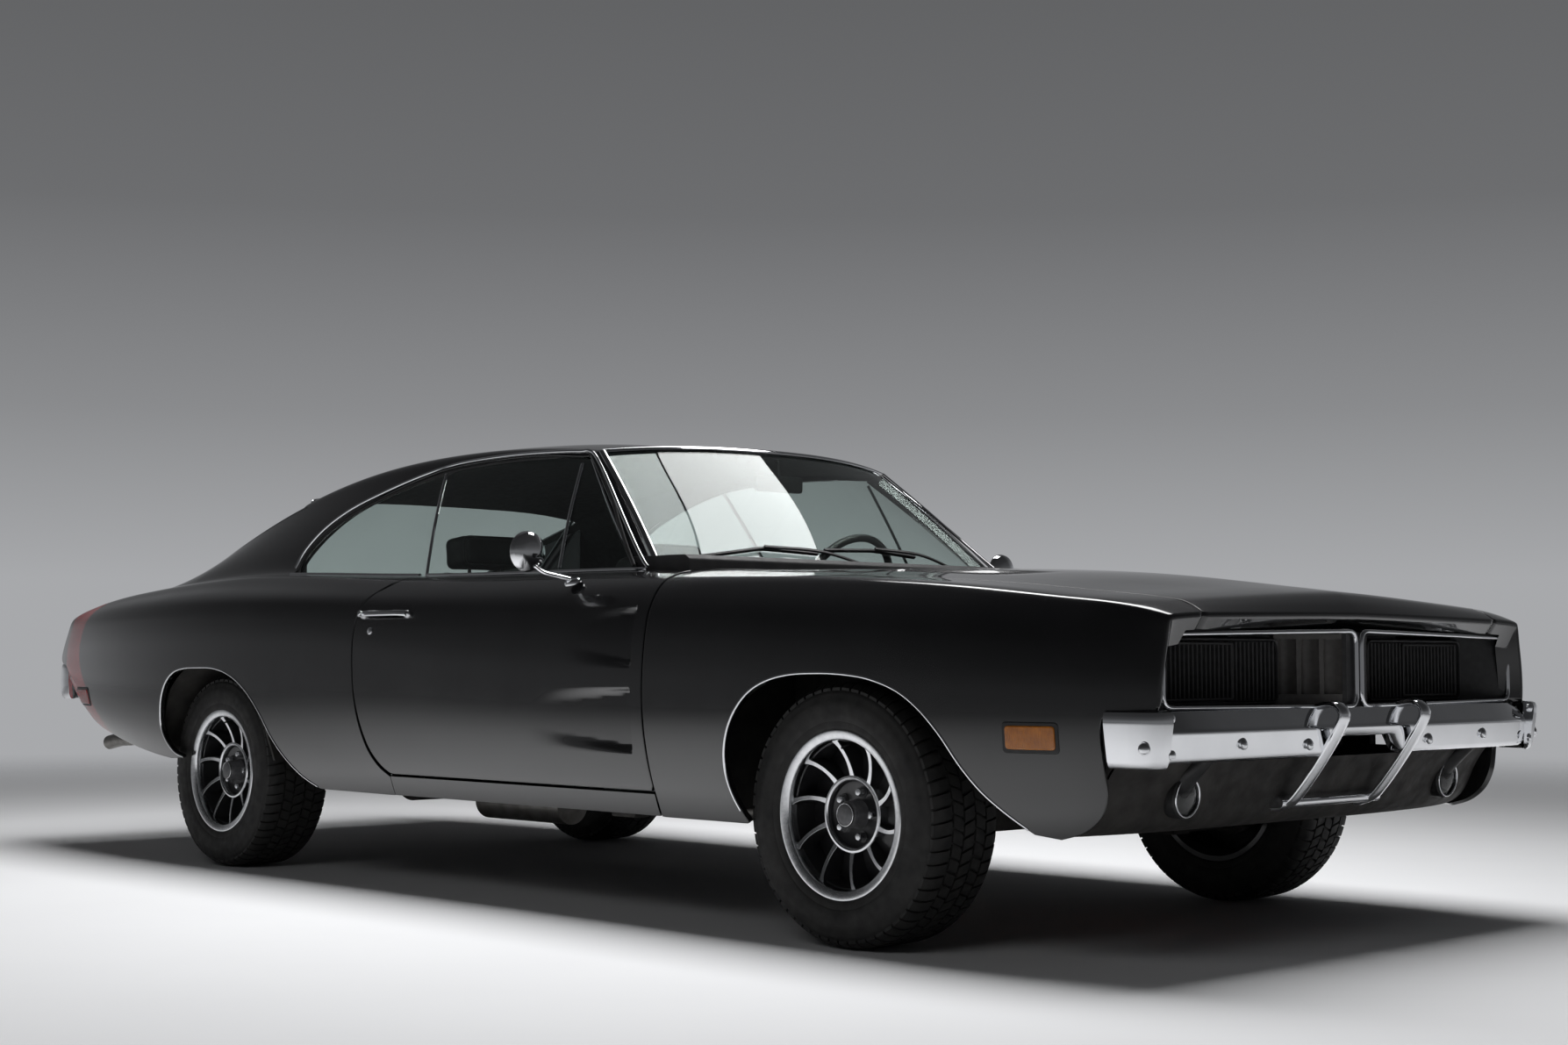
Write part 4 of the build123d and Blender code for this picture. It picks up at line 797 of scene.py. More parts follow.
def panel(name, skin, outline, body, side=0.0, thickness=SKIN, edge=None, step=(24.0, 0.2), extra=None,
          split=None, materials=(BLACK, SATIN, RED)):
    """A sheet-metal panel: the skin inside an outline, rounded edges, a hem and an inner face.

    edge(x, y, z) may give a radius and a depth for each point of the border, whichever of the three
    it goes by. extra are fine points for a relief. split is a line that
    parts the outer face, and a function that gives each outer face its material.
    """
    if side < 0:
        outline = (outline * (1.0, -1.0))[::-1]
        extra = None if extra is None else extra * (1.0, -1.0)
    scale = np.array([1.0, SECTION_MM])
    border = outline * scale
    low, high = border.min(0), border.max(0)
    grid_x = np.arange(math.ceil(low[0] / step[0]), high[0] / step[0]) * step[0]
    grid_s = np.arange(math.ceil(low[1] / SECTION_MM / step[1]), high[1] / SECTION_MM / step[1]) * step[1]
    grid = np.stack(np.meshgrid(grid_x, grid_s), axis=-1).reshape(-1, 2) * scale
    if extra is not None:
        fine = extra * scale
        grid = grid[distance_to(grid, fine) > FINE_CLEAR]
        grid = np.vstack([grid, fine])
    grid = grid[inside_outline(grid, border)]
    grid = grid[distance_to(grid, border) > BORDER_CLEAR * step[0]]
    flat = [tuple(p) for p in np.vstack([border, grid])]
    count = len(border)
    edges = [(i, (i + 1) % count) for i in range(count)]
    constraints = [Vector(p) for p in flat]
    if split is not None:
        line = split[0] * ((1.0, -1.0) if side < 0 else (1.0, 1.0)) * scale
        first = len(constraints)
        constraints += [Vector(p) for p in line]
        edges += [(first + i, first + i + 1) for i in range(len(line) - 1)]
    found = delaunay_2d_cdt(constraints, edges, [], 1, 1e-4, True)
    flat, triangles, origins = np.array([tuple(v) for v in found[0]]), np.array(found[2]), found[3]
    middles = flat[triangles].mean(axis=1)
    kept = inside_outline(middles, border)
    triangles, middles = triangles[kept], middles[kept] / scale
    outer_marks = np.zeros(len(triangles), int) if split is None else split[1](middles)
    slot_of = {}
    for new, old in enumerate(origins):
        for index in old:
            slot_of[index] = new
    ring = [slot_of[i] for i in range(count)]
    x, s = flat[:, 0], flat[:, 1] / SECTION_MM
    points, normals = skin.point(x, s), skin.normal(x, s)

    rim, rim_normal = points[ring], normals[ring]
    along = np.roll(rim, -1, 0) - np.roll(rim, 1, 0)
    along /= np.linalg.norm(along, axis=1)[:, None]
    out = np.cross(along, rim_normal)
    out /= np.linalg.norm(out, axis=1)[:, None]
    radius, depth = np.full(count, EDGE_R), np.full(count, thickness)
    if edge is not None:
        for i, place in enumerate(rim):
            radius[i], depth[i] = edge(place[0], abs(place[1]), place[2])
        for _ in range(3):
            radius = (np.roll(radius, 1) + radius + np.roll(radius, -1)) / 3
    radius, depth = radius[:, None], depth[:, None]

    all_points, all_faces, all_normals, marks = [points], [], [], []
    for triangle, mark in zip(triangles, outer_marks):
        all_faces.append(tuple(triangle))
        all_normals += [normals[i] for i in triangle]
        marks.append(int(mark))
    total = len(points)
    rings, ring_normals = [np.array(ring)], [rim_normal]
    for turn in EDGE_TURNS:
        angle = turn * math.pi / 2
        all_points.append(rim + out * radius * math.sin(angle) - rim_normal * radius
                          * (1 - math.cos(angle)))
        rings.append(np.arange(total, total + count))
        ring_normals.append(rim_normal * math.cos(angle) + out * math.sin(angle))
        total += count
    all_points.append(rim + out * radius - rim_normal * np.maximum(depth, radius + 1.0))
    rings.append(np.arange(total, total + count))
    ring_normals.append(out)
    total += count
    for (low_ring, low_n), (high_ring, high_n) in zip(zip(rings, ring_normals),
                                                      zip(rings[1:], ring_normals[1:])):
        for i in range(count):
            j = (i + 1) % count
            all_faces.append((low_ring[j], low_ring[i], high_ring[i], high_ring[j]))
            all_normals += [low_n[j], low_n[i], high_n[i], high_n[j]]
            marks.append(-1)
    inner = points - normals * thickness
    all_points.append(inner)
    inner_ring = total + np.array(ring)
    last = rings[-1]
    for i in range(count):
        j = (i + 1) % count
        all_faces.append((last[j], last[i], inner_ring[i], inner_ring[j]))
        all_normals += [-rim_normal[j], -rim_normal[i], -rim_normal[i], -rim_normal[j]]
        marks.append(1)
    for triangle in triangles:
        all_faces.append(tuple(total + i for i in reversed(triangle)))
        all_normals += [-normals[i] for i in reversed(triangle)]
        marks.append(1)
    border_marks = {}
    for triangle, mark in zip(triangles, marks):
        for i in triangle:
            border_marks.setdefault(i, mark)
    outer = [i for i, mark in enumerate(marks) if mark == -1]
    for order, index in enumerate(outer):
        marks[index] = border_marks.get(ring[order % count], 0)
    faces = [tuple(int(i) for i in face) for face in all_faces]
    return finish_piece(name, np.concatenate(all_points), faces, materials, body, marks,
                        normals=all_normals)


def patch(name, grid, body, thickness, materials):
    """A closed sheet from a grid of points, with its inner face set back along the normals."""
    grid = np.asarray(grid, float)
    rows, columns = grid.shape[:2]
    along = np.gradient(grid, axis=0)
    across = np.gradient(grid, axis=1)
    normals = np.cross(along, across)
    normals /= np.linalg.norm(normals, axis=2)[:, :, None]
    inner = grid - normals * thickness
    points = np.concatenate([grid.reshape(-1, 3), inner.reshape(-1, 3)])
    half = rows * columns
    faces, corner_normals = [], []
    flat = normals.reshape(-1, 3)
    for i in range(rows - 1):
        for j in range(columns - 1):
            a, b = i * columns + j, (i + 1) * columns + j
            c, d = b + 1, a + 1
            faces.append((a, b, c, d))
            corner_normals += [flat[k] for k in (a, b, c, d)]
            faces.append((half + d, half + c, half + b, half + a))
            corner_normals += [-flat[k] for k in (d, c, b, a)]
    border = [(i, 0) for i in range(rows)] + [(rows - 1, j) for j in range(1, columns)]
    border += [(i, columns - 1) for i in range(rows - 2, -1, -1)] + [(0, j)
                                                                     for j in range(columns - 2, 0, -1)]
    loop = [i * columns + j for i, j in border]
    for a, b in zip(loop, loop[1:] + loop[:1]):
        faces.append((b, a, half + a, half + b))
        wall = np.cross(points[b] - points[a], flat[a])
        wall = -wall / (np.linalg.norm(wall) + 1e-9)
        corner_normals += [wall] * 4
    return finish_piece(name, points, faces, materials, body, normals=corner_normals)


# ------------------------------------------------------------------ body panels
GAP = 0.5 * SEAM + EDGE_R  # from a seam's middle to a panel's outline


def hood_side(x, gap=0.0):
    """Half width of the hood's seam at a station."""
    along = (x - HOOD_REAR_X) / (NOSE_X - HOOD_REAR_X)
    return HOOD_HALF_REAR + along * (HOOD_HALF_FRONT - HOOD_HALF_REAR) + gap


def door_line(inset):
    """Side view of the door's seam from the belt down the front, along the bottom and up the rear."""
    front, rear, low = DOOR_FRONT_X - inset, DOOR_REAR_X + inset, DOOR_LOW_Z + inset
    front_run = [(front, 960.0), (front - 3.0, 600.0), (front + 3.0, 470.0), (front + 13.0, low + 12.0)]
    bottom_run = [(front + 6.0, low), (rear + 168.0, low - 1.0)]
    rear_run = [(rear + 150.0, low + 3.0), (rear + 110.0, low + 26.0), (rear + 62.0, low + 76.0),
                (rear + 24.0, low + 160.0), (rear + 5.0, 600.0), (rear, 680.0), (rear + 2.0, 790.0),
                (rear + 18.0, 855.0), (rear + 48.0, 905.0), (rear + 88.0, 946.0)]
    return front_run, bottom_run, rear_run


def nose_edge(x, y, z):
    """A fuller rounding and a deep lip along the car's nose."""
    if x > NOSE_X - 14.0 and z > 595.0:
        return 13.0, 40.0 if y < 700.0 and z > 700.0 else 74.0
    return EDGE_R, SKIN


def tail_edge(x, y, z):
    """The rear ends of the quarters and the trunk lid turn in toward the tail panel."""
    if x < TRUNK_REAR_X - 3.0 and z > 690.0:
        return 8.0, 68.0
    if x > SILL_REAR_X - 8.0 and z < 350.0:
        return 0.8, SKIN
    return EDGE_R, SKIN


def trunk_edge(x, y, z):
    """The lid's rear end turns down toward the tail panel."""
    return (9.0, 52.0) if x < TRUNK_REAR_X + 12.0 else (EDGE_R, SKIN)


def make_fenders():
    door_front = door_line(-GAP)[0]
    inner = [(x, hood_side(x, GAP)) for x in (HOOD_REAR_X - 1.0, NOSE_X - 2.0)]
    outline = outline_of(
        BODY.top([(door_front[0][0], 768.0), (door_front[0][0], 745.0), (DOOR_FRONT_X - 26.0, 722.0)],
                 smooth=True),
        BODY.top([(HOOD_REAR_X - 2.0, inner[0][1] + 6.0)] + inner),
        BODY.top([inner[1], (NOSE_X - 2.0, 765.0)]),
        BODY.side([(NOSE_X - 2.0, 797.0), (NOSE_X - 4.0, 700.0), (NOSE_X - 8.0, 592.0)], smooth=True),
        BODY.side([(2540.0, 587.0), (2475.0, 587.0), (2454.0, 578.0), (2446.0, 556.0), (2446.0, 470.0),
                   (2444.0, 400.0), (2424.0, 356.0), (2380.0, 322.0), (2320.0, 303.0)], smooth=True),
        BODY.side(FRONT_ARCH[::-1], smooth=True),
        BODY.side([(1344.0, 290.0), (DOOR_FRONT_X + 18.0, 289.0)]),
        BODY.side(door_front[::-1], smooth=True),
    )
    for side, word in SIDES:
        fender = panel(f"{word}_front_fender", BODY, outline, "body", side, edge=nose_edge)
        if side > 0:
            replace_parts(fender, "front_fenders")


def make_hood():
    rear, front = HOOD_REAR_X + GAP, NOSE_X - 1.0
    half_rear, half_front = hood_side(rear, -GAP), hood_side(front, -GAP)
    outline = outline_of(
        HOOD_SKIN.top([(rear, -half_rear), (rear, half_rear)], step=14.0),
        HOOD_SKIN.top([(rear, half_rear), (front, half_front)]),
        HOOD_SKIN.top([(front, half_front), (front, -half_front)], step=14.0),
        HOOD_SKIN.top([(front, -half_front), (rear, -half_rear)]),
    )
    xs, ys = np.meshgrid(np.arange(1232.0, 1860.0, 9.0), np.arange(206.0, 430.0, 9.0))
    fine = HOOD_SKIN.top(np.stack([xs.ravel(), ys.ravel()], 1), step=1e9)
    fine = np.vstack([fine, fine * (1.0, -1.0)])
    hood = panel("hood_panel", HOOD_SKIN, outline, "hood", edge=nose_edge, extra=fine,
                 materials=(BLACK, SATIN, RED))
    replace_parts(hood, "hood")
    frame_build = Build()
    for x in (1010.0, 1500.0, 1990.0, 2440.0):
        half = hood_side(x, -70.0)
        line = [(x, y) for y in np.linspace(-half, half, 24)]
        place_rib(frame_build, line, 60.0)
    for k in (-1.0, 1.0):
        line = [(x, k * hood_side(x, -60.0)) for x in np.linspace(985.0, 2470.0, 40)]
        place_rib(frame_build, line, 60.0)
        line = [(x, k * (120.0 + 0.33 * (x - 1010.0))) for x in np.linspace(1010.0, 1990.0, 24)]
        place_rib(frame_build, line, 46.0)
    bevelled(frame_build.piece("hood_inner_frame", (SATIN,), "hood"), 3.0)


def place_rib(build, line, width, deep=15.0):
    """A pressed rib under a lid, along a plan line."""
    line = np.array(line)
    s = BODY.at_width(line[:, 0], line[:, 1])
    points, normals = BODY.point(line[:, 0], s), BODY.normal(line[:, 0], s)
    profile = [(-0.5 * width, 1.0), (0.5 * width, 1.0), (0.36 * width, -deep), (-0.36 * width, -deep)]
    build.add(sweep_shape(points - normals * (SKIN - 0.5), normals, profile))


def make_cowl():
    """The panel between the hood and the windshield, with its air slots."""
    front = HOOD_REAR_X - GAP
    outline = outline_of(
        BODY.top([(front, -700.0), (front, 700.0)], step=14.0),
        BODY.top([(front, 700.0), (940.0, 735.0), (775.0, 752.0)], step=10.0),
        BODY.top([(775.0, 752.0), (775.0, -752.0)], step=14.0),
        BODY.top([(775.0, -752.0), (940.0, -735.0), (front, -700.0)], step=10.0),
    )
    cowl = panel("cowl_panel", BODY, outline, "body", thickness=12.0)
    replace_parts(cowl, "cowl")
    slots = Build()
    for k in range(-30, 31):
        y = 20.0 * k
        if abs(y) < 30.0:
            continue
        z = float(BODY.point(np.array([925.0]), BODY.at_width(925.0, y))[0, 2])
        slots.add(box_shape((912.0, 946.0), (y - 5.0, y + 5.0), (z - 4.0, z + 0.5)))
    slots.piece("cowl_air_slots", (SATIN,), "body")


def scallop_points():
    """Fine points over the door's scallops."""
    rows = []
    for front, length, low, high, _ in SCALLOPS:
        near_x = np.arange(front - 26.0, front + 10.0, 4.0)
        far_x = np.arange(front - length, front - 26.0, 12.0)
        for xs in (near_x, far_x):
            gx, gz = np.meshgrid(xs, np.arange(low - 6.0, high + 8.0, 9.0))
            rows.append(np.stack([gx.ravel(), gz.ravel()], 1))
    points = np.concatenate(rows)
    return np.stack([points[:, 0], DOOR_SKIN.at_height(points[:, 0], points[:, 1])], 1)


def make_doors():
    front_run, bottom_run, rear_run = door_line(GAP)
    top_front, top_rear = front_run[0][0], rear_run[-1][0]
    outline = outline_of(
        DOOR_SKIN.top([(top_rear + 8.0, 850.0), (top_rear + 26.0, 800.0), (top_rear + 36.0, 769.0)],
                      smooth=True),
        DOOR_SKIN.top([(top_rear + 36.0, 769.0), (top_front, 769.0)]),
        DOOR_SKIN.top([(top_front, 769.0), (top_front, 850.0)]),
        DOOR_SKIN.side(front_run, smooth=True),
        DOOR_SKIN.side(bottom_run),
        DOOR_SKIN.side(rear_run[:-1], smooth=True),
    )
    fine = scallop_points()
    for side, word in SIDES:
        door = panel(f"{word}_door_panel", DOOR_SKIN, outline, f"{word}_door", side, extra=fine)
        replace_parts(door, f"{word}_door")


def make_sills():
    outline = outline_of(
        BODY.side([(DOOR_FRONT_X + 10.0, 290.0), (DOOR_FRONT_X + 12.0, DOOR_LOW_Z - GAP + 1.0)]),
        BODY.side([(DOOR_FRONT_X + 12.0, DOOR_LOW_Z - GAP + 1.0), (SILL_REAR_X + 3.0, DOOR_LOW_Z - GAP)]),
        BODY.side([(SILL_REAR_X + 3.0, DOOR_LOW_Z - GAP), (SILL_REAR_X + 3.0, 290.0)]),
        BODY.side([(SILL_REAR_X + 3.0, 290.0), (DOOR_FRONT_X + 10.0, 290.0)]),
    )
    for side, word in SIDES:
        sill = panel(f"{word}_sill", BODY, outline, "body", side, edge=tail_edge)
        inner = Build().add(on_side(box_shape((-246.0, 1060.0), (780.0, 872.0), (292.0, 338.0)), side))
        inner.add(on_side(box_shape((760.0, 860.0), (810.0, 860.0), (276.0, 300.0)), side))
        beam = bevelled(inner.piece(f"{word}_sill_beam", (UNDER,), "body"), 4.0)
        if side > 0:
            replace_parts(sill, "sills")


STRIPE_REAR = ((-2455.0, 880.0), (-2474.0, 792.0), (-2476.0, 672.0), (-2436.0, 553.0), (-2338.0, 480.0))
STRIPE_FRONT = ((-2272.0, 892.0), (-2308.0, 823.0), (-2326.0, 722.0), (-2301.0, 638.0), (-2248.0, 556.0),
                (-2175.0, 482.0), (-2093.0, 410.0))


def make_quarters():
    rear_run = door_line(-GAP)[2]
    outline = outline_of(
        BODY.side([(SILL_REAR_X - 1.0, 290.0), (SILL_REAR_X - 1.0, DOOR_LOW_Z - GAP - 2.0)]),
        BODY.side(rear_run, smooth=True),
        BODY.top([(rear_run[-1][0] + 8.0, 850.0), (rear_run[-1][0] + 26.0, 800.0),
                  (rear_run[-1][0] + 36.0, 769.0)],
                 smooth=True),
        BODY.top([(rear_run[-1][0] + 36.0, 769.0), (-1000.0, 769.0), (-1046.0, 771.0),
                  (-1080.0, SAIL_FOOT_Y - 0.5)],
                 smooth=True),
        BODY.top([(-1080.0, SAIL_FOOT_Y - 0.5), (-2050.0, SAIL_FOOT_Y - 0.5)]),
        BODY.top([(-2050.0, SAIL_FOOT_Y - 0.5), (-2064.0, 700.0), (-2064.0, TRUNK_HALF + GAP)]),
        BODY.top([(-2064.0, TRUNK_HALF + GAP), (-2484.0, TRUNK_HALF + GAP)]),
        BODY.top([(-2484.0, TRUNK_HALF + GAP), (-2482.0, 795.0)]),
        BODY.side([(-2486.0, 858.0), (-2519.0, 806.0), (-2546.0, 739.0), (-2553.0, 708.0), (-2536.0, 690.0),
                   (-2500.0, 682.0), (-2470.0, 612.0), (-2444.0, 556.0), (-2403.0, 524.0),
                   (-2338.0, 491.0), (-2246.0, 460.0), (-2085.0, 427.0), (-1912.0, 396.0),
                   (-1711.0, 371.0), (-1590.0, 361.0)],
                  smooth=True),
        BODY.side(REAR_ARCH, smooth=True),
        BODY.side([(-650.0, 293.0), (SILL_REAR_X - 1.0, 290.0)]),
    )
    front = BODY.side(STRIPE_FRONT, smooth=True, step=16.0)
    rear = BODY.side(STRIPE_REAR, smooth=True, step=16.0)
    over = BODY.top([(-2440.0, 812.0), (-2425.0, 700.0), (-2418.0, 560.0)], smooth=True, step=16.0)
    over_front = BODY.top([(-2262.0, 818.0), (-2250.0, 700.0), (-2244.0, 560.0)], smooth=True, step=16.0)
    front_edge = np.vstack([over_front[::-1], front])
    rear_edge = np.vstack([over[::-1], rear])
    band = np.vstack([front_edge, rear_edge[::-1]])

    def mark(places):
        return 2 * inside_outline(np.stack([places[:, 0], np.abs(places[:, 1])], axis=1), band)

    for side, word in SIDES:
        quarter = panel(f"{word}_quarter_panel", BODY, outline, "body", side, edge=tail_edge,
                        split=(band, mark))
        if side > 0:
            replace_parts(quarter, "quarter_panels")


def deck_outline(rear, front, half):
    """A plan rectangle on the body's top, astride the middle."""
    return outline_of(
        BODY.top([(rear, -half), (rear, half)], step=12.0),
        BODY.top([(rear, half), (front, half)]),
        BODY.top([(front, half), (front, -half)], step=12.0),
        BODY.top([(front, -half), (rear, -half)]),
    )


def make_trunk():
    outline = deck_outline(TRUNK_REAR_X, TRUNK_FRONT_X - GAP, TRUNK_HALF - GAP)
    band_front, band_rear = -2244.0, -2418.0
    split = BODY.top([(band_front, -700.0), (band_front, 700.0)], step=20.0)
    split = np.vstack([split, BODY.top([(band_rear, 700.0), (band_rear, -700.0)], step=20.0)])
    lid = panel("trunk_lid_panel", BODY, outline, "trunk_lid", edge=trunk_edge,
                split=(split, lambda places: 2
                       * ((places[:, 0] > band_rear) & (places[:, 0] < band_front))))
    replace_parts(lid, "trunk_lid")
    ribs = Build()
    for x in (-1790.0, -2110.0, -2420.0):
        place_rib(ribs, [(x, y) for y in np.linspace(-540.0, 540.0, 20)], 60.0)
    for k in (-1.0, 1.0):
        place_rib(ribs, [(x, k * 540.0) for x in np.linspace(-1790.0, -2420.0, 24)], 60.0)
        place_rib(ribs, [(x, k * 180.0) for x in np.linspace(-1790.0, -2420.0, 24)], 46.0)
    bevelled(ribs.piece("trunk_inner_frame", (SATIN,), "trunk_lid"), 3.0)


HEADER_X = ((478.0, 0.0), (470.0, 150.0), (452.0, 300.0), (424.0, 450.0), (395.0, 548.0), (377.0, 598.0))


def make_roof():
    """The roof skin with its sail panels, in one piece as on the car."""
    header = ROOF.top(HEADER_X, smooth=True, step=12.0)
    half = np.vstack([
        header,
        ROOF.side([(372.0, 1322.0), (345.0, 1311.0), (140.0, 1324.0), (-71.0, 1327.0), (-335.0, 1318.0),
                   (-472.0, 1300.0), (-684.0, 1252.0), (-885.0, 1189.0), (-993.0, 1124.0),
                   (-1056.0, 1056.0), (-1072.0, 1008.0), (-1076.0, 985.0)], smooth=True),
        np.array([[-1079.0, 9.0], [-1400.0, 9.0], [-1750.0, 9.0], [-2050.0, 9.0]]),
        ROOF.top([(-2056.0, 700.0), (-2056.0, 618.0)]),
        ROOF.top([(-2050.0, 606.0), (-1262.0, 606.0), (-1244.0, 596.0), (-1240.0, 575.0), (-1240.0, 0.0)]),
    ])
    dense = []
    for a, b in zip(half[:-1], half[1:]):
        gap = np.linalg.norm((b - a) * (1.0, SECTION_MM))
        count = max(1, int(round(gap / 10.0)))
        dense += [a + (b - a) * i / count for i in range(count)]
    half = np.array(dense + [half[-1]])
    outline = outline_of(half, (half * (1.0, -1.0))[::-1])
    roof = panel("roof_panel", ROOF, outline, "body", thickness=20.0, materials=(BLACK, HEADLINER, RED))
    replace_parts(roof, "roof")


def make_deck():
    """The fixed deck between the sails, and the parcel shelf inside."""
    outline = deck_outline(TRUNK_FRONT_X + GAP, DECK_FRONT_X, 612.0)
    deck = panel("rear_deck_panel", BODY, outline, "body", thickness=10.0)
    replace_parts(deck, "rear_deck")
    for side, word in SIDES:
        strip = outline_of(
            BODY.top([(-1732.0, TRUNK_HALF + GAP), (-2070.0, TRUNK_HALF + GAP)]),
            BODY.top([(-2070.0, TRUNK_HALF + GAP), (-2070.0, 640.0), (-1732.0, 640.0),
                      (-1732.0, TRUNK_HALF + GAP)]),
        )
        panel(f"{word}_deck_side", BODY, strip, "body", side, thickness=8.0)
    shelf = Build().add(box_shape((-1545.0, -1118.0), (-712.0, 712.0), (948.0, 960.0)))
    bevelled(shelf.piece("parcel_shelf", (CARPET,), "body"), 4.0)


def make_sail_walls():
    """The inner walls of the sail panels, on both sides of the rear window."""
    for side, word in SIDES:
        stations = np.linspace(-1236.0, -2052.0, 42)
        widths = np.full(len(stations), 606.0)
        top = ROOF.point(stations, ROOF.at_width(stations, widths))[:, 2] - 4.0
        deck = BODY.point(stations, BODY.at_width(stations, widths))[:, 2] - 6.0
        low = np.minimum(deck, top - 2.0)
        loops = [[(x, 603.0, b), (x, 603.0, t), (x, 611.0, t), (x, 611.0, b)] for x, t,
                 b in zip(stations, top, low)]
        wall = Build().add(on_side(loops_shape(loops), side)).piece(f"{word}_sail_wall", (BLACK,), "body")


# ------------------------------------------------------------------ wheels and tyres
WHEELS = (
    # name, axle x, side
    ("front_left", FRONT_AXLE_X, LEFT),
    ("front_right", FRONT_AXLE_X, RIGHT),
    ("rear_left", REAR_AXLE_X, LEFT),
    ("rear_right", REAR_AXLE_X, RIGHT),
)
TREAD_RIBS = (
    # inner and outer distance from the middle plane, blocks round the tyre, skew in degrees
    (-17.0, 17.0, 60, 2.2),
    (23.0, 55.0, 60, -2.0),
    (-55.0, -23.0, 60, -2.0),
    (61.0, 111.0, 60, 1.6),
    (-111.0, -61.0, 60, 1.6),
)
TREAD_DEEP = 8.0


def tread_radius(a):
    """Radius of the tread's surface at a distance from the tyre's middle plane."""
    far = max(0.0, abs(a) - 82.0)
    return TYRE_R - 0.00035 * a * a - 0.0135 * far * far


def make_tyre(name, centre, side, body):
    outer = [(199.0, 100.0), (204.0, 108.5), (209.0, 113.5), (216.0, 117.0), (228.0, 117.5), (230.0, 119.0),
             (246.0, 120.0), (262.0, 120.0), (278.0, 119.0), (280.0, 117.6), (292.0, 116.0), (301.0, 112.0)]
    crown = [(tread_radius(a) - TREAD_DEEP, a) for a in (104.0, 92.0, 76.0, 58.0, 38.0, 20.0, 0.0)]
    half = outer + crown
    inside = [(303.0, 0.0), (301.0, 60.0), (293.0, 96.0), (262.0, 108.0), (222.0, 104.0), (200.0, 92.0)]
    profile = half + [(r, -a) for r, a in reversed(half[:-1])]
    profile += [(r, -a) for r, a in reversed(inside)] + inside[1:]
    build = Build().add(lathe_shape(profile, centre, side, 96))
    for start, end, count, skew in TREAD_RIBS:
        cuts = [start + (end - start) * i / 4 for i in range(5)]
        for k in range(count):
            loops = []
            for step in (0.0, 0.5, 1.0):
                loop = []
                for r_of, order in ((tread_radius, cuts), (lambda a: tread_radius(a) - TREAD_DEEP - 2.0,
                                                           cuts[::-1])):
                    for a in order:
                        angle = math.radians((k + 0.80 * step) * 360.0 / count + skew
                                             * (a - start) / (end - start))
                        r = r_of(a)
                        loop.append((centre[0] + r * math.sin(angle), centre[1] + side * a,
                                     centre[2] + r * math.cos(angle)))
                loops.append(loop)
            build.add(loops_shape(loops))
    piece = build.piece(f"{name}_road_tyre", (RUBBER,), body, sharp=34.0)
    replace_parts(piece, f"{name}_tyre")


VANES = 10
HUB_RING_R, VANE_OUT_R = 88.0, 185.0


def vane_loops(centre, side, phase, width, drop, depth):
    """One curved vane from the hub ring to the rim."""
    loops = []
    for i in range(13):
        t = i / 12.0
        r = HUB_RING_R - 4.0 + (VANE_OUT_R + 4.0 - HUB_RING_R) * t
        swirl, rate = 0.19 * t**1.9, 0.36 * t**0.9 / (VANE_OUT_R - HUB_RING_R)
        angle = phase + swirl
        a = 66.0 + 31.0 * t**1.25 - drop
        spin = math.atan(r * rate)
        wide = width * (1.45 - 0.45 * min(1.0, 2.5 * t)) * (1.0 + 0.5 * max(0.0, t - 0.85) / 0.15)
        loop = []
        for across, down in ((-0.5 * wide, 0.0), (0.5 * wide, 0.0), (0.5 * wide + depth * 0.05, depth),
                             (-0.5 * wide - depth * 0.05, depth)):
            # the vane's cross direction in the wheel's plane, square to its path
            radial, tangent = -across * math.sin(spin), across * math.cos(spin)
            rr, turn = r + radial, angle + tangent / r
            loop.append((centre[0] - rr * math.sin(turn), centre[1] + side * (a - down),
                         centre[2] + rr * math.cos(turn)))
        loops.append(loop)
    return loops


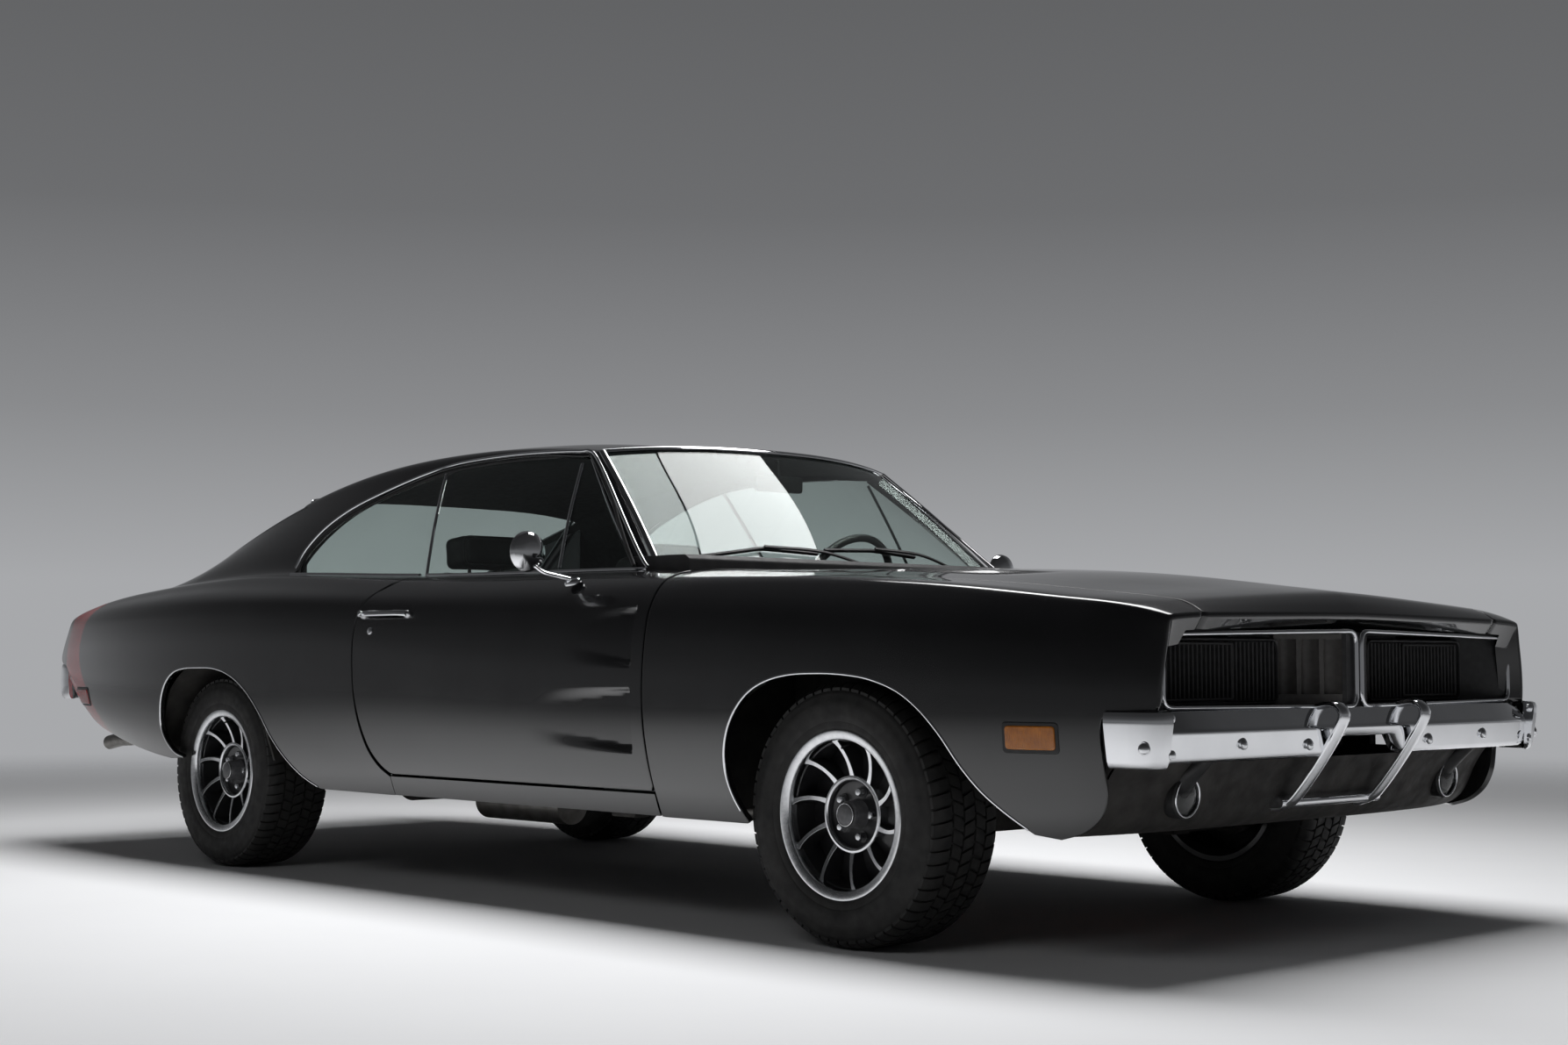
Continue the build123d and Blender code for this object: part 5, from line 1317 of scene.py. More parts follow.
def make_wheel(name, centre, side, body):
    lip = [(206.5, 107.0), (207.5, 112.5), (206.0, 114.5), (203.0, 115.0), (186.0, 111.0), (183.5, 109.0),
           (182.0, 104.0), (180.5, 95.0), (180.5, 82.0), (189.5, 82.0), (190.5, 98.0), (196.0, 105.0)]
    barrel = [(184.0, 84.0), (178.0, 84.0), (176.5, 70.0), (176.5, -96.0), (192.0, -113.0), (206.5, -113.0),
              (206.5, -108.0), (195.5, -106.0), (190.3, -98.0), (190.3, 84.0)]
    web = [(86.0, 40.0), (178.0, 22.0), (178.0, 16.0), (86.0, 34.0)]
    ring = [(95.0, 60.0), (96.0, 66.0), (93.5, 69.5), (88.0, 70.0), (84.0, 67.0), (82.5, 60.0),
            (82.0, 40.0), (94.0, 40.0)]
    bowl = [(84.0, 62.0), (80.0, 52.0), (72.0, 47.0), (30.0, 46.0), (30.0, 20.0), (88.0, 20.0),
            (88.0, 62.0)]
    build = Build()
    build.add(lathe_shape(lip, centre, side, 128), 0)
    build.add(lathe_shape(barrel, centre, side, 96), 1)
    build.add(lathe_shape(web, centre, side, 96), 1)
    build.add(lathe_shape(ring, centre, side, 96), 0)
    build.add(lathe_shape(bowl, centre, side, 72), 1)
    cap = [(0.0, 95.0), (16.0, 94.6), (25.0, 93.0), (30.0, 89.5), (32.5, 83.0), (33.0, 60.0), (36.0, 50.0),
           (38.0, 44.0), (0.0, 44.0)]
    build.add(turned(cap, centre, (0.0, side, 0.0), 56), 2)
    groove = [(28.0, 91.8), (29.0, 92.6), (27.0, 93.4), (26.0, 92.4)]
    build.add(lathe_shape(groove, centre, side, 56), 0)
    for k in range(5):
        angle = 2.0 * math.pi * (k + 0.25) / 5
        place = (centre[0] + 57.0 * math.sin(angle), centre[1] + side * 44.0,
                 centre[2] + 57.0 * math.cos(angle))
        nut = [(0.0, 0.0), (10.5, 0.0), (10.5, 19.0), (8.5, 22.5), (0.0, 23.5)]
        build.add(turned(nut, place, (0.0, side, 0.0), 6), 0)
        seat = [(0.0, 0.0), (14.5, 0.0), (14.5, 4.5), (0.0, 4.5)]
        build.add(turned(seat, place, (0.0, side, 0.0), 24), 1)
    for k in range(VANES):
        phase = 2.0 * math.pi * k / VANES
        build.add(loops_shape(vane_loops(centre, side, phase, 10.0, 0.0, 2.4)), 0)
        build.add(loops_shape(vane_loops(centre, side, phase, 11.0, 1.6, 52.0)), 1)
    valve = [(0.0, 0.0), (3.2, 0.0), (3.2, 26.0), (2.4, 28.0), (0.0, 28.0)]
    build.add(turned(valve, (centre[0], centre[1] + side * 78.0, centre[2] + 171.0), (0.0, side, -0.35),
                     10), 1)
    piece = bevelled(build.piece(f"{name}_alloy_wheel", (POLISHED, VANE_BLACK, CAP_GREY), body,
                                 sharp=36.0), 0.7, 2, 40.0)
    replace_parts(piece, f"{name}_wheel")


def make_wheels():
    for name, axle_x, side in WHEELS:
        centre = (axle_x, side * HALF_TRACK, AXLE_Z)
        make_tyre(name, centre, side, f"{name}_wheel")
        make_wheel(name, centre, side, f"{name}_wheel")


# ------------------------------------------------------------------ glass and pillars
GLASS_TOP_Z = 1400.0
GLASS_BELT_Y, GLASS_EDGE_Y = 752.0, 592.0
GLASS_HEAD_Z = 1316.0  # where the door glass ends at the roof


class SideGlass(Skin):
    """The curved side glass: its section counts down from GLASS_TOP_Z in steps of SECTION_MM."""

    def __init__(self, sink=0.0):
        super().__init__(None, 23, 5.0, sink=sink)

    def bare(self, x, s):
        z = GLASS_TOP_Z - SECTION_MM * np.abs(s)
        t = (z - BELT_Z) / (GLASS_HEAD_Z - BELT_Z)
        y = GLASS_BELT_Y + (GLASS_EDGE_Y - GLASS_BELT_Y) * t + 7.0 * np.sin(np.clip(t, 0.0, 1.0) * math.pi)
        return np.stack([x, np.sign(s) * y, z], axis=1)

    def line(self, points, smooth=False, step=10.0):
        """An outline run given in the side view."""
        run = smooth_line(points, step) if smooth else straight_line(points, step)
        return np.stack([run[:, 0], (GLASS_TOP_Z - run[:, 1]) / SECTION_MM], axis=1)


SIDE_GLASS = SideGlass()
VENT_POST = ((386.0, 966.0), (309.0, 1284.0))


def glass_edge(x, y, z):
    """A nearly square edge round a pane."""
    return 0.8, GLASS


def windshield_point(u, v):
    """A point of the windshield: u from -1 to 1 across, v from 0 at the cowl to 1 at the roof."""
    y = u * (728.0 + (603.0 - 728.0) * v)
    foot_x, foot_z = 905.0 - 122.0 * abs(u) ** 2.2, 960.0 + 4.0 * abs(u)
    top_x, top_z = 478.0 - 100.0 * abs(u) ** 2.1, 1347.0 - 29.0 * abs(u) ** 2.6
    bow = 12.0 * math.sin(math.pi * v) * (1.0 - 0.4 * abs(u))
    x = foot_x + (top_x - foot_x) * v + bow * 0.62
    z = foot_z + (top_z - foot_z) * v + bow * 0.78
    return x, y, z


def rear_glass_point(u, v):
    """A point of the rear window, v from 0 at the deck to 1 at the roof."""
    y = u * (594.0 - 8.0 * v)
    bow = 9.0 * math.sin(math.pi * v) + 16.0 * u * u - 8.0
    x = -1570.0 + 330.0 * v + 0.70 * bow * 0.6
    z = 966.0 + 320.0 * v - 0.70 * bow * 0.4 - 8.0 - 24.0 * abs(u) ** 4 * v**2
    return x, y, z


def curve_along(function, us, vs):
    """Points of a glass surface along a run of (u, v)."""
    return np.array([function(u, v) for u, v in zip(us, vs)])


def make_glass():
    grid = [[windshield_point(u, v) for v in np.linspace(0.008, 0.985, 20)]
            for u in np.linspace(-0.985, 0.985, 41)]
    shield = patch("windshield_glass", grid, "body", GLASS, (GLAZING,))
    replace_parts(shield, "windshield")
    grid = [[rear_glass_point(u, v) for v in np.linspace(0.0, 1.0, 14)] for u in np.linspace(1.0, -1.0, 31)]
    rear = patch("rear_glass", grid, "body", GLASS, (GLAZING,))
    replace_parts(rear, "rear_window")
    door = outline_of(
        SIDE_GLASS.line([(724.0, 955.0), (340.0, 1296.0)]),
        SIDE_GLASS.line([(340.0, 1296.0), (300.0, 1303.0), (140.0, 1310.0), (-71.0, 1313.0),
                         (-335.0, 1303.0), (-398.0, 1295.0)], smooth=True),
        SIDE_GLASS.line([(-398.0, 1295.0), (-280.0, 955.0)]),
        SIDE_GLASS.line([(-280.0, 955.0), (724.0, 955.0)]),
    )
    quarter = outline_of(
        SIDE_GLASS.line([(-292.0, 955.0), (-409.0, 1294.0)]),
        SIDE_GLASS.line([(-409.0, 1294.0), (-472.0, 1285.0), (-684.0, 1237.0), (-880.0, 1174.0),
                         (-985.0, 1111.0), (-1044.0, 1048.0), (-1054.0, 1008.0), (-1040.0, 975.0),
                         (-1020.0, 955.0)],
                        smooth=True),
        SIDE_GLASS.line([(-1020.0, 955.0), (-292.0, 955.0)]),
    )
    for side, word in SIDES:
        pane = panel(f"{word}_door_window", SIDE_GLASS, door, f"{word}_door", side, thickness=GLASS,
                     edge=glass_edge, step=(40.0, 0.33), materials=(GLAZING, GLAZING))
        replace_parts(pane, f"{word}_door_glass")
        pane = panel(f"{word}_quarter_window", SIDE_GLASS, quarter, "body", side, thickness=GLASS,
                     edge=glass_edge, step=(40.0, 0.33), materials=(GLAZING, GLAZING))
        if side > 0:
            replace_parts(pane, "quarter_windows")


def glass_line(points, side, out=0.0, step=14.0):
    """A 3-D line on the side glass from side-view points, moved outward."""
    run = SIDE_GLASS.line(points, smooth=len(points) > 2, step=step)
    run[:, 1] *= side
    place, normal = SIDE_GLASS.bare(run[:, 0], run[:, 1]), SIDE_GLASS.bare_normal(run[:, 0], run[:, 1])
    return place + normal * out, normal


RAIL_LINE = ((792.0, 958.0), (742.0, 998.0), (350.0, 1318.0), (300.0, 1323.0), (140.0, 1331.0),
             (-71.0, 1334.0), (-335.0, 1325.0), (-472.0, 1307.0), (-684.0, 1259.0), (-885.0, 1196.0),
             (-1000.0, 1130.0), (-1064.0, 1058.0), (-1080.0, 1010.0))


def make_pillars():
    strip = half_round(20.0, 5.0)
    for side, word in SIDES:
        loops = []
        for t in np.linspace(0.0, 1.0, 12):
            bow = 10.0 * math.sin(math.pi * t)
            foot = ((786.0, 733.0, 955.0), (728.0, 752.0, 955.0), (716.0, 722.0, 955.0),
                    (744.0, 690.0, 955.0))
            top = ((381.0, 604.0, 1322.0), (336.0, 606.0, 1312.0), (330.0, 575.0, 1292.0),
                   (366.0, 560.0, 1300.0))
            loops.append([tuple(a + (b - a) * t + (bow if i == 2 else 0.0) for i,
                                (a, b) in enumerate(zip(p, q)))
                          for p, q in zip(foot, top)])
        pillar = Build().add(on_side(loops_shape(loops), side)).piece(f"{word}_a_pillar", (BLACK,), "body")
        bevelled(pillar, 5.0, 3)

        trim = Build()
        edge = curve_along(windshield_point, np.full(30, 0.992), np.linspace(0.0, 0.985, 30)) + (3.0, 0.0,
                                                                                                 4.0)
        out = np.array([0.62, 0.40, 0.68])
        trim.add(on_side(sweep_shape(edge, out, strip), side))
        trim.piece(f"{word}_windshield_trim", (CHROME,), "body")

        rail = Build()
        points = smooth_line(RAIL_LINE, 14.0)
        widths = rail_y(points)
        path = np.stack([points[:, 0], widths, points[:, 1]], axis=1)
        rail.add(on_side(sweep_shape(path, (0.0, 0.82, 0.57), half_round(11.0, 7.0)), side))
        rail.piece(f"{word}_drip_rail", (CHROME,), "body")

        seal = Build()
        inner = glass_line([(728.0, 962.0), (345.0, 1303.0), (140.0, 1316.0), (-71.0, 1319.0),
                            (-335.0, 1309.0), (-472.0, 1291.0), (-684.0, 1243.0), (-881.0, 1180.0),
                            (-991.0, 1117.0), (-1052.0, 1050.0), (-1062.0, 1008.0),
                            (-1050.0, 975.0)], LEFT, 2.0)
        seal.add(on_side(sweep_shape(inner[0], inner[1], half_round(13.0, 5.0)), side))
        seal.piece(f"{word}_window_seal", (SATIN,), "body")

        posts = Build()
        posts.add(on_side(sweep_shape(*glass_line([(-286.0, 960.0), (-404.0, 1297.0)], LEFT, 1.0),
                                      half_round(13.0, 4.5)), side))
        posts.add(on_side(sweep_shape(*glass_line(VENT_POST, LEFT, 1.0),
                                      half_round(12.0, 5.0)), side))
        posts.add(on_side(sweep_shape(*glass_line([(724.0, 968.0), (346.0, 1295.0)], LEFT, 0.5),
                                      half_round(7.0, 4.0)), side))
        posts.piece(f"{word}_window_posts", (CHROME,), f"{word}_door")

    frame_trim = Build()
    us = np.linspace(-0.985, 0.985, 60)
    top = curve_along(windshield_point, us, np.full(60, 0.99)) + (2.0, 0.0, 3.0)
    frame_trim.add(sweep_shape(top, (0.55, 0.0, 0.83), half_round(17.0, 5.0)))
    low = curve_along(windshield_point, us, np.full(60, 0.012)) + (1.0, 0.0, 2.0)
    frame_trim.add(sweep_shape(low, (0.6, 0.0, 0.8), half_round(14.0, 4.0)))
    us = np.linspace(-0.99, 0.99, 50)
    for v in (0.0, 1.0):
        line = curve_along(rear_glass_point, us, np.full(50, v)) + (0.0, 0.0, 3.0)
        frame_trim.add(sweep_shape(line, (-0.7, 0.0, 0.7), half_round(15.0, 5.0)))
    for u in (-0.99, 0.99):
        line = curve_along(rear_glass_point, np.full(20, u), np.linspace(0.0, 1.0, 20)) + (0.0, 0.0, 3.0)
        frame_trim.add(sweep_shape(line, (-0.7, 0.0, 0.7), half_round(15.0, 5.0)))
    frame_trim.piece("glass_trims", (CHROME,), "body")


RAIL_HEAD_Z, RAIL_BELT_Y, RAIL_HEAD_Y = 1318.0, 760.0, 606.0


def rail_y(points):
    """How far out the drip rail runs: down the pillar, then along the roof's edge."""
    t = np.clip((points[:, 1] - BELT_Z) / (RAIL_HEAD_Z - BELT_Z), 0.0, 1.0)
    return RAIL_BELT_Y + (RAIL_HEAD_Y - RAIL_BELT_Y) * t + 6.0 * np.sin(math.pi * t)


# ------------------------------------------------------------------ front end
def xz_normals(path):
    """Directions square to a path that lies in a plane across Y, on its outer side."""
    along = np.gradient(np.asarray(path, float), axis=0)
    along /= np.linalg.norm(along, axis=1)[:, None]
    return np.stack([-along[:, 2], along[:, 1] * 0.0, along[:, 0]], axis=1)


def bolt_shape(place, direction, radius=11.0, proud=6.0):
    """A round-headed bolt with a washer."""
    profile = [(0.0, -4.0), (radius + 2.5, -4.0), (radius + 2.5, 1.5), (radius, 2.0),
               (radius * 0.92, proud * 0.55), (radius * 0.62, proud * 0.9), (0.0, proud)]
    return turned(profile, place, direction, 24)


BAR_PROFILE = ((-52.0, 587.0), (-40.0, 590.0), (-30.0, 588.0), (-6.0, 552.0), (-1.0, 545.0), (0.0, 541.0),
               (-1.5, 536.0), (-10.0, 488.0), (-13.0, 481.0), (-20.0, 476.0), (-46.0, 474.0),
               (-52.0, 480.0))
PAD_PROFILE = ((-24.0, 592.0), (-8.0, 592.0), (1.0, 588.0), (5.5, 578.0), (4.5, 560.0), (-2.0, 520.0),
               (-9.0, 482.0), (-14.0, 470.0), (-20.0, 465.0), (-24.0, 465.0))


def tapered(shape, path, scales):
    """Scales each cross-section of a sweep about its place on the path."""
    points, faces = shape
    points = np.array(points, float).reshape(len(path), -1, 3)
    centre = np.array(path)[:, None, :]
    return (centre + (points - centre) * np.reshape(scales, (-1, 1, 1))).reshape(-1, 3), faces


def make_front_bumper():
    build = Build()
    plan = smooth_line([(2546.0, -826.0), (2566.0, -800.0), (2579.0, -750.0), (2587.0, -660.0),
                        (2590.0, -500.0), (2590.0, 0.0), (2590.0, 500.0), (2587.0, 660.0),
                        (2579.0, 750.0), (2566.0, 800.0), (2546.0, 826.0)], 24.0)
    path = level_path(plan)
    points, faces = sweep_shape(path, (0.0, 0.0, 1.0), BAR_PROFILE)
    points = np.array(points, float)
    rise = 0.72 * (1.0 - step_up(np.abs(points[:, 1]), 120.0, 42.0))
    low = points[:, 2] < 540.0
    points[low, 2] += (538.0 - points[low, 2]) * rise[low]
    build.add((points, faces))
    pad = smooth_line([(2586.0, -792.0), (2582.0, -816.0), (2564.0, -843.0), (2530.0, -860.0),
                       (2496.0, -867.0), (2462.0, -870.0)], 9.0)[::-1]
    path = level_path(pad)
    build.both(sweep_shape(path, (0.0, 0.0, 1.0), PAD_PROFILE))
    for y, z in ((266.0, 506.0), (530.0, 514.0)):
        build.both(bolt_shape((2588.0, y, z), (1.0, 0.0, 0.16)))
    build.both(bolt_shape((2558.0, 855.0, 510.0), (0.72, 0.70, 0.0)))
    for z in (496.0, 574.0):
        build.both(bolt_shape((2580.0, 786.0, z), (0.95, 0.2, 0.0), 8.0, 5.0))
    guard = smooth_line([(2556.0, 590.0), (2588.0, 597.0), (2615.0, 592.0), (2626.0, 574.0),
                         (2612.0, 540.0), (2588.0, 502.0), (2560.0, 462.0), (2528.0, 420.0),
                         (2498.0, 384.0), (2478.0, 364.0), (2452.0, 354.0), (2410.0, 350.0),
                         (2368.0, 350.0)], 12.0)
    path = np.stack([guard[:, 0], np.full(len(guard), 180.0), guard[:, 1]], axis=1)
    section = [(-20.0, -4.0), (-20.5, 2.0), (-18.0, 7.0), (-11.0, 9.6), (0.0, 10.6), (11.0, 9.6),
               (18.0, 7.0), (20.5, 2.0), (20.0, -4.0), (12.0, -7.0), (-12.0, -7.0)]
    foot = np.clip((np.arange(len(guard)) / (len(guard) - 1.0) - 0.78) / 0.22, 0.0, 1.0)
    scales = (1.0 + 0.5 * np.sin(math.pi * np.clip(foot, 0.0, 1.0))) * (1.0 - 0.9 * foot**2)
    build.both(tapered(sweep_shape(path, xz_normals(path), section), path, scales))
    bar = rounded_outline([(2414.0, 388.0), (2452.0, 384.0), (2480.0, 368.0), (2476.0, 350.0),
                           (2414.0, 346.0)], 9.0)
    build.add(prism_shape(bar, -214.0, 214.0))
    build.both(box_shape((2440.0, 2545.0), (400.0, 440.0), (500.0, 560.0)))
    bumper = bevelled(build.piece("front_bumper_bar", (CHROME,), "body", sharp=38.0), 1.5, 2, 38.0)
    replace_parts(bumper, "front_bumper")

    profile = [(2512.0, 470.0), (2494.0, 446.0), (2474.0, 414.0), (2456.0, 376.0), (2432.0, 338.0),
               (2392.0, 312.0), (2340.0, 302.0)]
    profile = smooth_line(profile, 16.0)
    grid = []
    for y in np.linspace(-806.0, 806.0, 61):
        back = 66.0 * (abs(y) / 806.0) ** 4
        grid.append([(x - back, y, z) for x, z in profile[::-1]])
    valance = patch("front_valance_panel", grid, "body", 6.0, (UNDER,))
    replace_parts(valance, "front_valance")

    lamps = Build()
    for side in (LEFT, RIGHT):
        place = (2462.0, side * 570.0, 390.0)
        shell = [(0.0, 150.0), (20.0, 142.0), (38.0, 118.0), (49.0, 70.0), (52.0, 20.0), (51.0, 4.0),
                 (48.0, 0.0), (44.0, 3.0), (43.0, 10.0), (0.0, 12.0)]
        lamps.add(turned(shell, place, (-1.0, 0.0, 0.10), 48), 0)
        lens_face = [(0.0, 16.0), (42.0, 12.0), (42.0, 5.0), (32.0, 1.0), (18.0, -2.0), (0.0, -3.0)]
        lamps.add(turned(lens_face, place, (-1.0, 0.0, 0.10), 48), 1)
        ring = [(44.0, 4.0), (47.0, 0.0), (46.0, -3.0), (42.5, -2.0), (41.5, 4.0)]
        lamps.add(ring_shape(ring, place, (-1.0, 0.0, 0.10)), 2)
    arm = smooth_line([(2404.0, 574.0, 402.0), (2440.0, 574.0, 424.0), (2480.0, 574.0, 452.0),
                       (2528.0, 574.0, 482.0)],
                      10.0)
    sizes = np.linspace(1.0, 0.34, len(arm))
    lamps.both(tapered(sweep_shape(arm, (-0.6, 0.0, 0.8), round_profile(40.0, 20)), arm, sizes), 0)
    piece = bevelled(lamps.piece("turn_lamp_pods", (SATIN, CLEAR_LENS, CHROME), "body", sharp=34.0), 1.0)
    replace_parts(piece, "turn_lamps")


def ring_shape(profile, start, direction, segments=48):
    """Turns a closed profile of (radius, distance) round any axis."""
    axis = Vector(direction).normalized()
    across = axis.orthogonal().normalized()
    other = axis.cross(across)
    loops = []
    for i in range(segments):
        angle = 2.0 * math.pi * i / segments
        out = across * math.cos(angle) + other * math.sin(angle)
        loops.append([tuple(Vector(start) + axis * d + out * r) for r, d in profile])
    return loops_shape(loops, closed=True)


GRILLE_Z = (584.0, 768.0)
BAR_Z = (606.0, 744.0)
FIXED_BARS, DOOR_BARS = (204.0, 366.0), (380.0, 632.0)
BAR_PITCH = 16.8


def bar_rows(build, span, mark):
    """The grille's fine upright bars across a span."""
    count = int((span[1] - span[0]) / BAR_PITCH)
    first = 0.5 * (span[0] + span[1] - BAR_PITCH * count)
    for k in range(count + 1):
        y = first + BAR_PITCH * k
        section = [(2440.0, y - 2.6), (2453.0, y - 1.9), (2455.5, y), (2453.0, y + 1.9), (2440.0, y + 2.6)]
        build.add(plan_shape(section, *BAR_Z), mark)


def loop_on_face(corners, radius, x_of, profile, up=(1.0, 0.0, 0.0)):
    """A strip carried round a rounded front-view outline, at a depth that depends on the width."""
    outline = rounded_outline(corners, radius, 6)
    dense = []
    for a, b in zip(outline, outline[1:] + outline[:1]):
        gap = math.dist(a, b)
        count = max(1, int(gap / 14.0))
        dense += [(a[0] + (b[0] - a[0]) * i / count, a[1] + (b[1] - a[1]) * i / count)
                  for i in range(count)]
    path = [(x_of(y), y, z) for y, z in dense]
    return sweep_shape(path, up, profile, closed=True)


def make_grille():
    fixed = Build()
    for k in (LEFT, RIGHT):
        half = Build()
        # the dark back, in pieces round the headlight door's opening
        half.add(box_shape((2426.0, 2436.0), (40.0, 369.0), GRILLE_Z))
        half.add(box_shape((2426.0, 2436.0), (643.0, 662.0), GRILLE_Z))
        half.add(box_shape((2426.0, 2436.0), (369.0, 643.0), (GRILLE_Z[0], 604.0)))
        half.add(box_shape((2400.0, 2546.0), (0.0, 762.0), (GRILLE_Z[0] - 4.0, GRILLE_Z[0] + 4.0)))
        half.add(box_shape((2450.0, 2540.0), (0.0, 762.0), (762.0, 770.0)))
        bar_rows(half, FIXED_BARS, 4)
        wall = [(2436.0, 646.0), (2470.0, 676.0), (2508.0, 718.0), (2530.0, 752.0), (2534.0, 764.0),
                (2426.0, 764.0), (2426.0, 646.0)]
        half.add(plan_shape(wall, GRILLE_Z[0], 764.0), 1)
        column = [(2426.0, 0.0), (2549.0, 0.0), (2549.0, 44.0), (2540.0, 56.0), (2426.0, 56.0)]
        half.add(plan_shape(column, GRILLE_Z[0], 768.0), 1)
        slope = []
        start, finish = np.array((2544.0, 56.0)), np.array((2444.0, 194.0))
        along = (finish - start) / np.linalg.norm(finish - start)
        out = np.array((-along[1], along[0])) * -1.0
        for i in range(91):
            t = i / 90.0
            phase = (t * 3.0) % 1.0
            dips = 0.0 < phase < 0.80 and t < 0.999
            dip = 30.0 * math.sin(math.pi * min(1.0, phase / 0.80)) ** 0.7 if dips else 0.0
            slope.append(tuple(start + (finish - start) * t - out * dip * (0.35 + 0.65 * phase)))
        half.add(plan_shape(slope + [(2426.0, 194.0), (2426.0, 56.0)], 618.0, 752.0), 3)
        plain = [tuple(start), tuple(finish), (2426.0, 194.0), (2426.0, 56.0)]
        for z in ((GRILLE_Z[0], 619.0), (751.0, 768.0)):
            half.add(plan_shape(plain, *z), 3)
        frame_line = [(198.0, 600.0), (650.0, 600.0), (650.0, 750.0), (198.0, 750.0)]
        half.add(loop_on_face(frame_line, 24.0, lambda y: 2446.0, half_round(9.0, 14.0)), 1)
        for shape, mark in shapes_of(half):
            fixed.add(on_side(shape, k), mark)
    back = bevelled(fixed.piece("grille_body", (GRILLE_BLACK, GRILLE_GREY, SATIN, LOUVRE_GREY, BAR_GREY),
                                "body", sharp=34.0), 1.0)
    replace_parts(back, "grille")

    chrome = Build()
    for k in (LEFT, RIGHT):
        corners = [(12.0, 590.0), (758.0, 596.0), (756.0, 758.0), (12.0, 771.0)]
        ring = loop_on_face(corners, 30.0, lambda y: 2554.0 - 20.0 * (abs(y) / 764.0) ** 2,
                            half_round(11.0, 8.0))
        chrome.add(on_side(ring, k))
    chrome.piece("grille_surround", (CHROME,), "body", sharp=60.0)

    for side, word in SIDES:
        door = Build()
        door.add(box_shape((2430.0, 2440.0), (374.0, 638.0), (610.0, 740.0)), 0)
        bar_rows(door, DOOR_BARS, 3)
        for y in ((372.5, 377.0), (635.0, 639.5)):
            door.add(box_shape((2430.0, 2454.0), y, (609.0, 741.0)), 1)
        for z in ((609.0, 613.0), (737.0, 741.0)):
            door.add(box_shape((2430.0, 2454.0), (372.5, 639.5), z), 1)
        arm = [(2430.0, 640.0), (2430.0, 722.0), (2338.0, 704.0), (2338.0, 676.0)]
        door.add(prism_shape(arm, 376.0, 382.0), 2)
        door.add(prism_shape(arm, 630.0, 636.0), 2)
        door.add(rod_shape((2350.0, 360.0, 690.0), (2350.0, 379.0, 690.0), 8.0), 2)
        door.add(rod_shape((2350.0, 633.0, 690.0), (2350.0, 654.0, 690.0), 8.0), 2)
        final = Build()
        for shape, mark in shapes_of(door):
            final.add(on_side(shape, side), mark)
        finishes = (GRILLE_BLACK, GRILLE_GREY, SATIN, BAR_GREY)
        piece = final.piece(f"{word}_lamp_door", finishes, f"{word}_headlight_door", sharp=34.0)
        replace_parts(bevelled(piece, 0.8), f"{word}_headlight_door")

    lamps = Build()
    for side in (LEFT, RIGHT):
        lamps.add(on_side(box_shape((2316.0, 2326.0), (386.0, 626.0), (612.0, 732.0)), side), 2)
        lamps.add(on_side(box_shape((2318.0, 2330.0), (410.0, 440.0), (480.0, 616.0)), side), 2)
        for y in (447.0, 565.0):
            place = (2326.0, side * y, 672.0)
            bowl = [(0.0, 0.0), (30.0, 2.0), (54.0, 30.0), (58.0, 62.0), (58.0, 68.0), (55.0, 70.0),
                    (52.0, 64.0), (48.0, 36.0), (28.0, 12.0), (0.0, 8.0)]
            lamps.add(turned(bowl, place, (1.0, 0.0, 0.0), 48), 0)
            glass = [(0.0, 62.0), (52.0, 58.0), (52.0, 63.0), (36.0, 69.0), (18.0, 72.0), (0.0, 73.0)]
            lamps.add(turned(glass, place, (1.0, 0.0, 0.0), 48), 1)
            bulb = [(0.0, 10.0), (9.0, 10.0), (9.0, 24.0), (5.0, 32.0), (0.0, 34.0)]
            lamps.add(turned(bulb, place, (1.0, 0.0, 0.0), 16), 0)
    piece = lamps.piece("headlight_bowls", (CHROME, CLEAR_LENS, SATIN), "body", sharp=34.0)
    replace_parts(piece, "headlights")


def shapes_of(build):
    """The collected shapes of a build as one shape a material."""
    points = np.concatenate(build.points)
    result = []
    for mark in sorted(set(build.marks)):
        faces = [face for face, m in zip(build.faces, build.marks) if m == mark]
        used = sorted({i for face in faces for i in face})
        where = {old: new for new, old in enumerate(used)}
        result.append(((points[used], [tuple(where[i] for i in face) for face in faces]), mark))
    return result


def marker_outline(skin, x, z, radius):
    """A marker's rounded rectangle on the body's side."""
    corners = rounded_box((x[0], x[1]), (z[0], z[1]), radius, 4)
    return outline_of(skin.side(corners + [corners[0]], step=6.0))


def make_markers():
    """The side marker lamps, with a thin black bezel."""
    proud = Skin(body_controls, BODY_POINTS, BODY_CREST, sink=-5.0)
    base = Skin(body_controls, BODY_POINTS, BODY_CREST, sink=-2.0)
    for x, z, where in (((2222.0, 2342.0), (505.0, 552.0), "front"),
                        ((-2373.0, -2260.0), (541.0, 588.0), "rear")):
        glass = AMBER if where == "front" else RED_LENS
        for side, word in SIDES:
            piece = panel(f"{word}_{where}_marker", proud, marker_outline(BODY, x, z, 6.0), "body", side,
                          thickness=8.0, step=(16.0, 0.1), materials=(glass, glass))
            if where == "front" and side > 0:
                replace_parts(piece, "side_markers")
            rim = ((x[0] - 9.0, x[1] + 9.0), (z[0] - 9.0, z[1] + 9.0))
            piece = panel(f"{word}_{where}_marker_bezel", base, marker_outline(BODY, *rim, 9.0), "body",
                          side, thickness=4.0, step=(16.0, 0.1), materials=(SATIN, SATIN))


